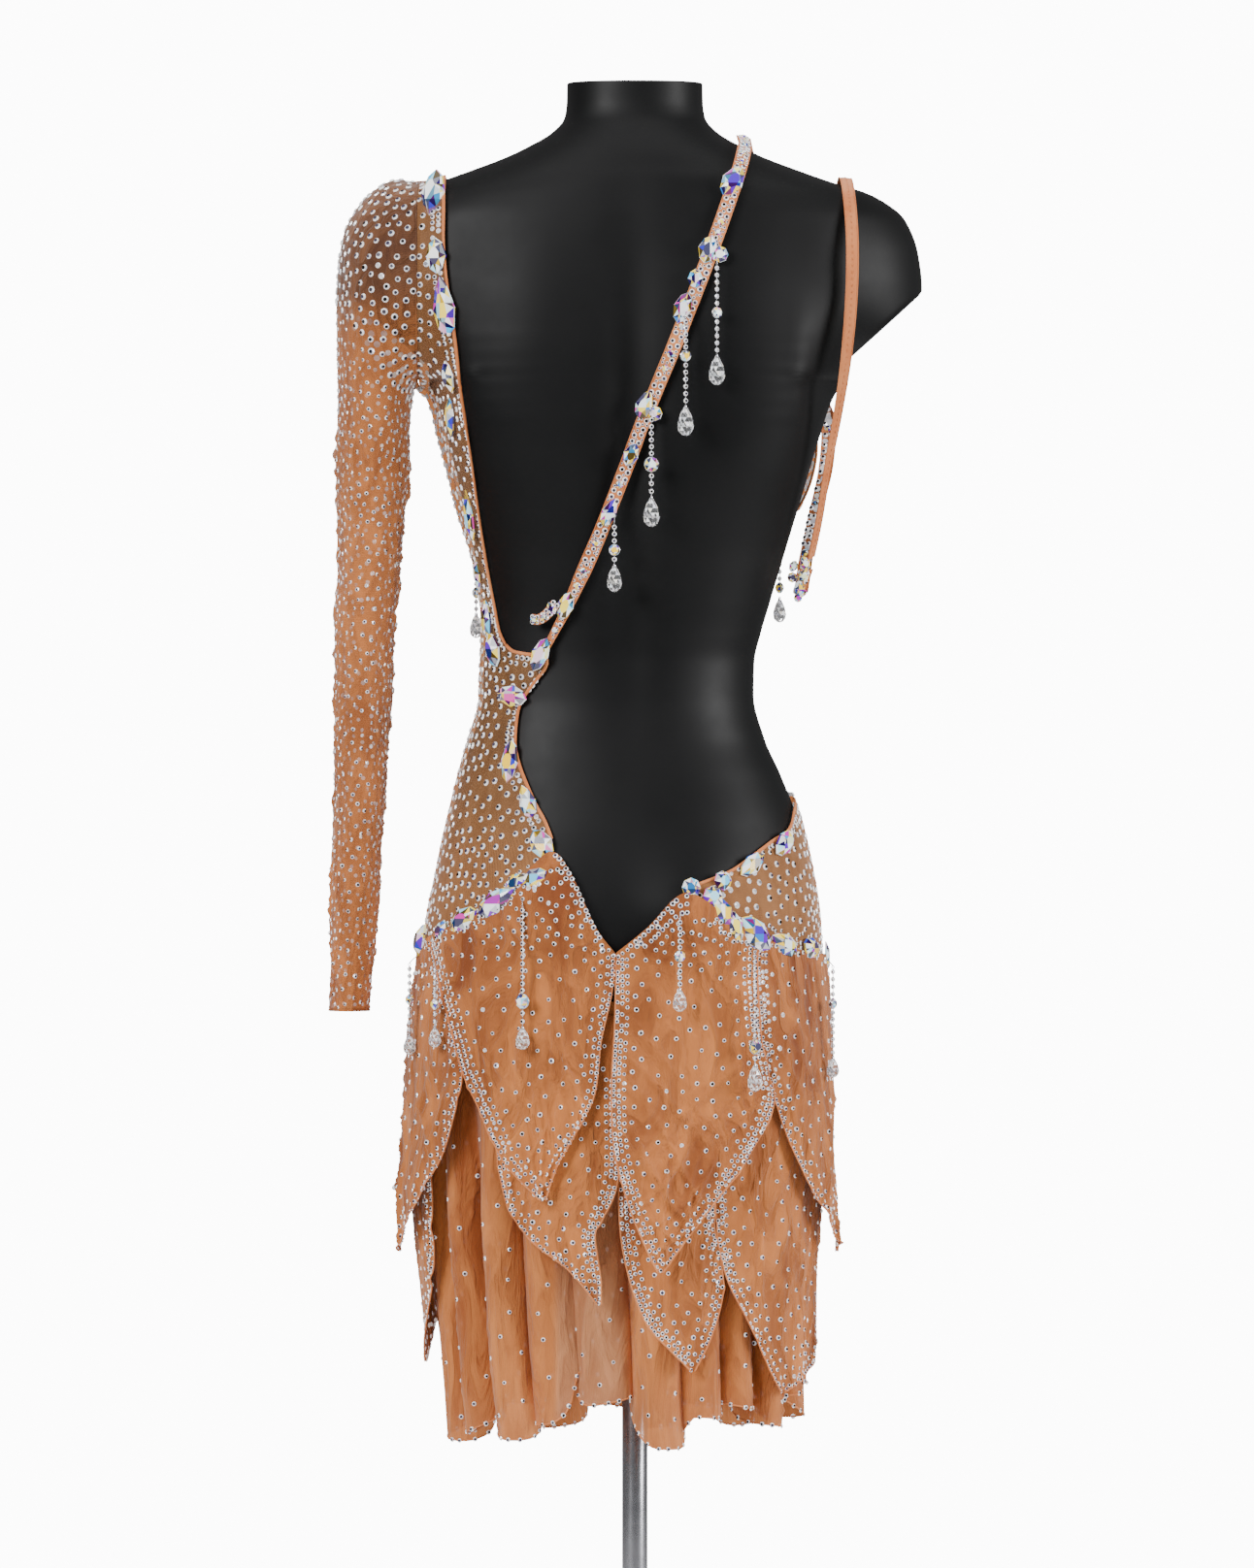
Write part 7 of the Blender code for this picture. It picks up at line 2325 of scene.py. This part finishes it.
@dataclass
class Drops:
    """The hanging chains, each on its own swinging body."""

    gems: Gems
    chain_radius: float = 0.0018
    bead_radius: float = 0.0042
    disc_radius: float = 0.0056
    sides: int = 9
    silver: int = 4

    def cut_rings(self, parts: MeshParts, profile: Sequence[Place], place: Array, slot: int) -> None:
        """Adds a faceted solid whose rings each turn half a side against the last.

        Args:
            parts: where it goes.
            profile: radius and height of each ring, from the top down.
            place: the point that the heights are counted from.
            slot: its material slot.
        """
        rings, faces = [], []
        for number, (radius, height) in enumerate(profile):
            angles = (np.arange(self.sides) + 0.5 * (number % 2)) * 2 * math.pi / self.sides
            rings.append(place + np.column_stack([
                radius * np.cos(angles), radius * np.sin(angles), np.full(self.sides, height)]))
            low = (number - 1) * self.sides
            for side in range(self.sides if number else 0):
                far = (side + 1) % self.sides
                a, b, c, d = low + side, low + far, low + self.sides + far, low + self.sides + side
                faces += [(a, d, b), (b, d, c)] if number % 2 else [(a, d, c), (a, c, b)]
        last = (len(profile) - 1) * self.sides
        faces += [tuple(range(self.sides)), tuple(last + side for side in reversed(range(self.sides)))]
        # Painted glints: some faces of a clear drop take the facets painted lit, with their glow.
        slots = [0 if number**2 % 7 == 1 and slot != self.silver else slot for number in range(len(faces))]
        parts.add(np.vstack(rings), faces, slots)

    def chain(self, work: StoneWork, drop: Drop, start: float, end: float, outward: Array) -> None:
        """Adds a run of double-faced cup chain.

        Args:
            work: where it goes.
            drop: the drop that it belongs to.
            start: its top height.
            end: its bottom height.
            outward: the way that its stones face.
        """
        count = max(round((start - end) / 0.0050), 1)
        heights = start - (np.arange(count) + 0.5) * (start - end) / count
        points = np.column_stack([np.full(count, drop.x), np.full(count, drop.y), heights])
        radii = np.full(count, self.chain_radius)
        for way in (outward, -outward):
            normals = np.tile(way, (count, 1))
            work.set_stones(STUD, points + normals * 0.0005, normals, radii, sink=0.0)
        across = np.cross(outward, np.array([0.0, 0.0, 1.0]))
        for point in points:
            cup = np.array([-0.0006, -0.0004, 0.0004, 0.0006])[:, None] * outward + point
            tube(work.parts, cup, np.tile(across, (4, 1)),
                 self.chain_radius * 2 * np.array([0.9, 1.06, 1.06, 0.9]),
                 self.chain_radius * 2 * np.array([0.9, 1.06, 1.06, 0.9]), sides=10, slot=self.silver)
        wire = np.array([[drop.x, drop.y, start], [drop.x, drop.y, (start + end) / 2], [drop.x, drop.y, end]])
        tube(work.parts, wire, np.tile(outward, (3, 1)), 0.0007, 0.0007, sides=6, slot=self.silver)

    def hook(self, work: StoneWork, centre: Array, outward: Array, radius: float) -> None:
        """Adds a small wire ring that faces sideways."""
        angles = np.linspace(0, 2 * math.pi, 17)[:, None]
        up = np.array([0.0, 0.0, 1.0])
        path = centre + radius * (np.cos(angles) * up + np.sin(angles) * outward)
        side = np.tile(np.cross(outward, up), (17, 1))
        tube(work.parts, path, side, 0.0006, 0.0006, sides=6, slot=self.silver)

    def build_drop(self, drop: Drop, number: int) -> None:
        """Makes one drop and hangs it on its swinging body."""
        work = StoneWork(200 + number)
        bead = self.disc_radius if drop.name in WITH_DISC else self.bead_radius
        outward = unit(np.array([drop.x - 0.008, drop.y - 0.005, 0.0]))
        middle = np.array([drop.x, drop.y, 0.0])
        tear_top = drop.tip + drop.tear_length
        self.hook(work, middle + np.array([0.0, 0.0, drop.top - 0.0010]), outward, 0.0009)
        self.chain(work, drop, drop.top - 0.0016, drop.bead + bead, outward)
        for way in (outward, -outward):
            place = middle + np.array([0.0, 0.0, drop.bead]) + way * 0.0003
            work.set_stones(ROUND_STONE, place[None], way[None], np.array([bead]), sink=0.0)
        rim = np.array([-0.0005, 0.0005])[:, None] * outward + middle + np.array([0.0, 0.0, drop.bead])
        across = np.cross(outward, np.array([0.0, 0.0, 1.0]))
        tube(work.parts, rim, np.tile(across, (2, 1)), bead * 2.04, bead * 2.04, sides=20, slot=self.silver)
        if drop.bead - bead - tear_top > 0.004:
            self.chain(work, drop, drop.bead - bead, tear_top + 0.0012, outward)
        self.hook(work, middle + np.array([0.0, 0.0, tear_top + 0.0004]), outward, 0.0009)
        length, radius = drop.tear_length, drop.tear_radius
        profile = [(0.12, 0.0), (0.30, -0.08), (0.58, -0.22), (0.80, -0.38), (0.95, -0.54),
                   (1.0, -0.68), (0.88, -0.84), (0.52, -0.955), (0.16, -1.0)]
        self.cut_rings(work.parts, [(r * radius, h * length) for r, h in profile],
                       middle + np.array([0.0, 0.0, tear_top]), 3)
        self.cut_rings(work.parts, [(0.0005, 0.0006), (0.0011, 0.0), (0.0013, -0.0014), (0.0010, -0.0022)],
                       middle + np.array([0.0, 0.0, tear_top]), self.silver)
        gems = self.gems
        piece = work.parts.build(drop.name + "_stones",
                                 [gems.painted_lit_facets, gems.tables, gems.aurora, gems.clear, gems.silver])
        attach(piece, drop.name + "_swing")
        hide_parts(drop.name)

    def build_hangers(self) -> None:
        """The fine wires that hold the drops out from the stones above them."""
        parts = MeshParts()
        for drop in DROPS:
            end = np.array([drop.x, drop.y, drop.top])
            height = min(drop.top + 0.004, 1.05)
            angle = CLOTH.angle_at(drop.x, height, 1 if drop.y > 0 else -1)
            root = CLOTH.point(np.array([angle]), np.array([height]), PANEL_LIFT)[0]
            run = end - root
            if np.linalg.norm(run) > 0.003:
                path = root + np.linspace(0, 1, 9)[:, None] * run + np.array([0, 0, 1]) * (
                    0.002 * np.sin(np.linspace(0, math.pi, 9)))[:, None]
                tube(parts, path, np.tile([0.0, 0.0, 1.0], (9, 1)), 0.0008, 0.0008, sides=6)
        add_trim(parts, "drop_hangers", [self.gems.silver])

    def build(self) -> None:
        """Makes every drop."""
        self.build_hangers()
        for number, drop in enumerate(DROPS):
            self.build_drop(drop, number)
        LOG.info("%d drops", len(DROPS))


# ---- Studio ----


@dataclass(frozen=True)
class Softbox:
    """A round soft light: where it stands, what it points at, its size and its power."""

    name: str
    place: tuple[float, float, float]
    target: tuple[float, float, float]
    size: float
    power: float
    in_gloss: bool = True


SOFTBOXES = (
    Softbox("key_left", (2.4, 2.6, 2.3), (0.0, 0.0, 0.75), 1.7, 160.0),
    Softbox("key_right", (-3.1, 1.2, 1.4), (0.0, 0.0, 0.75), 1.7, 130.0),
    Softbox("top", (0.0, 0.3, 3.4), (0.0, 0.0, 0.6), 2.4, 28.0),
    Softbox("front_fill", (0.4, -2.5, 3.3), (0.0, 0.0, 0.6), 1.8, 120.0, False),
)

# Painted light: what shows through sheer cloth is painted this warm colour, standing in for the light that the
# cloth itself scatters.
PAINTED_LIGHT_BEHIND_CLOTH = (0.92, 0.32, 0.11, 1.0)


@dataclass
class Studio:
    """The white backdrop, the pale floor, the soft lights and the camera behind the dress."""

    camera_place: tuple[float, float, float] = (0.0058, 12.0, 0.6330)
    lens: float = 369.7
    floor_radius: float = 0.98

    def build_world(self) -> None:
        """Plain white behind everything, painted warm and dim where it is seen through cloth, a grey that
        lights the dress, and a darker one for its gloss.
        """
        world = bpy.data.worlds.new("white_room")
        world.use_nodes = True
        nodes = Nodes(world.node_tree)
        background = world.node_tree.nodes["Background"]
        light_path = nodes.add("LightPath").outputs
        bare = nodes.add("Math", {0: light_path["Transparent Depth"], 1: 0.5},
                         operation="LESS_THAN").outputs[0]
        # Painted light: the backdrop seen through cloth is painted warm and dim.
        backdrop_and_painted_light = nodes.ramp(bare, ((0.0, PAINTED_LIGHT_BEHIND_CLOTH), (1.0, (1.0, 1.0, 1.0, 1.0))))
        strength = nodes.add("MapRange", {0: bare, 3: 1.0, 4: 12.0}).outputs[0]
        white = nodes.add("Background", {"Color": backdrop_and_painted_light, "Strength": strength})
        background.inputs["Color"].default_value = (1.0, 1.0, 1.0, 1.0)
        room = nodes.add("MapRange", {0: light_path["Is Glossy Ray"], 3: 0.42, 4: 0.20}).outputs[0]
        world.node_tree.links.new(room, background.inputs["Strength"])
        mix = nodes.add("MixShader",
                        {0: light_path["Is Camera Ray"], 1: background.outputs[0], 2: white.outputs[0]})
        world.node_tree.links.new(mix.outputs[0], world.node_tree.nodes["World Output"].inputs["Surface"])
        bpy.context.scene.world = world

    def build_floor(self) -> None:
        """A pale round floor that fades into the backdrop."""
        parts = turned(((self.floor_radius, -0.0004), (self.floor_radius, -0.006)), 96, smooth=False)
        material, nodes, shader = new_material("pale_floor", specular_ior_level=0.2)
        marks = place_group(nodes, handling_group, low=0.55, high=0.7).outputs
        nodes.tree.links.new(marks["Roughness"], shader.inputs["Roughness"])
        reach = nodes.add("VectorMath", {0: nodes.add("TexCoord").outputs["Object"]},
                          operation="LENGTH").outputs["Value"]
        fade = nodes.add("MapRange", {0: reach, 1: 0.42, 2: 0.94, 3: 0.0, 4: 12.0},
                         interpolation_type="SMOOTHSTEP").outputs[0]
        path = nodes.add("LightPath").outputs
        bare = nodes.sum_of("LESS_THAN", path["Transparent Depth"], 0.5)
        # Painted light: the floor seen through cloth is painted the same warm colour.
        floor_tint_and_painted_light = nodes.ramp(bare, ((0.0, PAINTED_LIGHT_BEHIND_CLOTH), (1.0, (0.86, 0.86, 0.86, 1.0))))
        nodes.tree.links.new(floor_tint_and_painted_light, shader.inputs["Base Color"])
        seen = nodes.sum_of("MULTIPLY", fade, nodes.sum_of("MULTIPLY", bare, path["Is Camera Ray"]))
        shader.inputs["Emission Color"].default_value = (1.0, 1.0, 1.0, 1.0)
        nodes.tree.links.new(seen, shader.inputs["Emission Strength"])
        parts.build("floor", [material])

    def build_lights(self) -> None:
        """The soft lights."""
        for box in SOFTBOXES:
            light = bpy.data.lights.new(box.name, "AREA")
            light.shape, light.size, light.energy = "DISK", box.size, box.power
            lamp = bpy.data.objects.new(box.name, light)
            bpy.context.scene.collection.objects.link(lamp)
            lamp.location = box.place
            lamp.visible_glossy = box.in_gloss
            aim = Vector(box.target) - Vector(box.place)
            lamp.rotation_euler = aim.to_track_quat("-Z", "Y").to_euler()

    def build_camera(self) -> None:
        """The camera, level with the middle of the dress and far away."""
        camera = bpy.data.objects.new("camera", bpy.data.cameras.new("camera"))
        camera.data.lens = self.lens
        camera.location = self.camera_place
        camera.rotation_euler = (math.radians(90), 0.0, math.radians(180))
        bpy.context.scene.collection.objects.link(camera)
        bpy.context.scene.camera = camera

    def build(self) -> None:
        """Sets everything up."""
        self.build_world()
        self.build_floor()
        self.build_lights()
        self.build_camera()


def main() -> None:
    gems, fabrics = Gems(), Fabrics()
    FormAndStand().build()
    Bodice(fabrics, gems).build()
    Sleeve(fabrics, gems).build()
    Straps(fabrics, gems).build()
    Underskirt(fabrics, gems).build()
    PetalSkirt(fabrics, gems).build()
    Drops(gems).build()
    Studio().build()


if __name__ == "__main__":
    main()
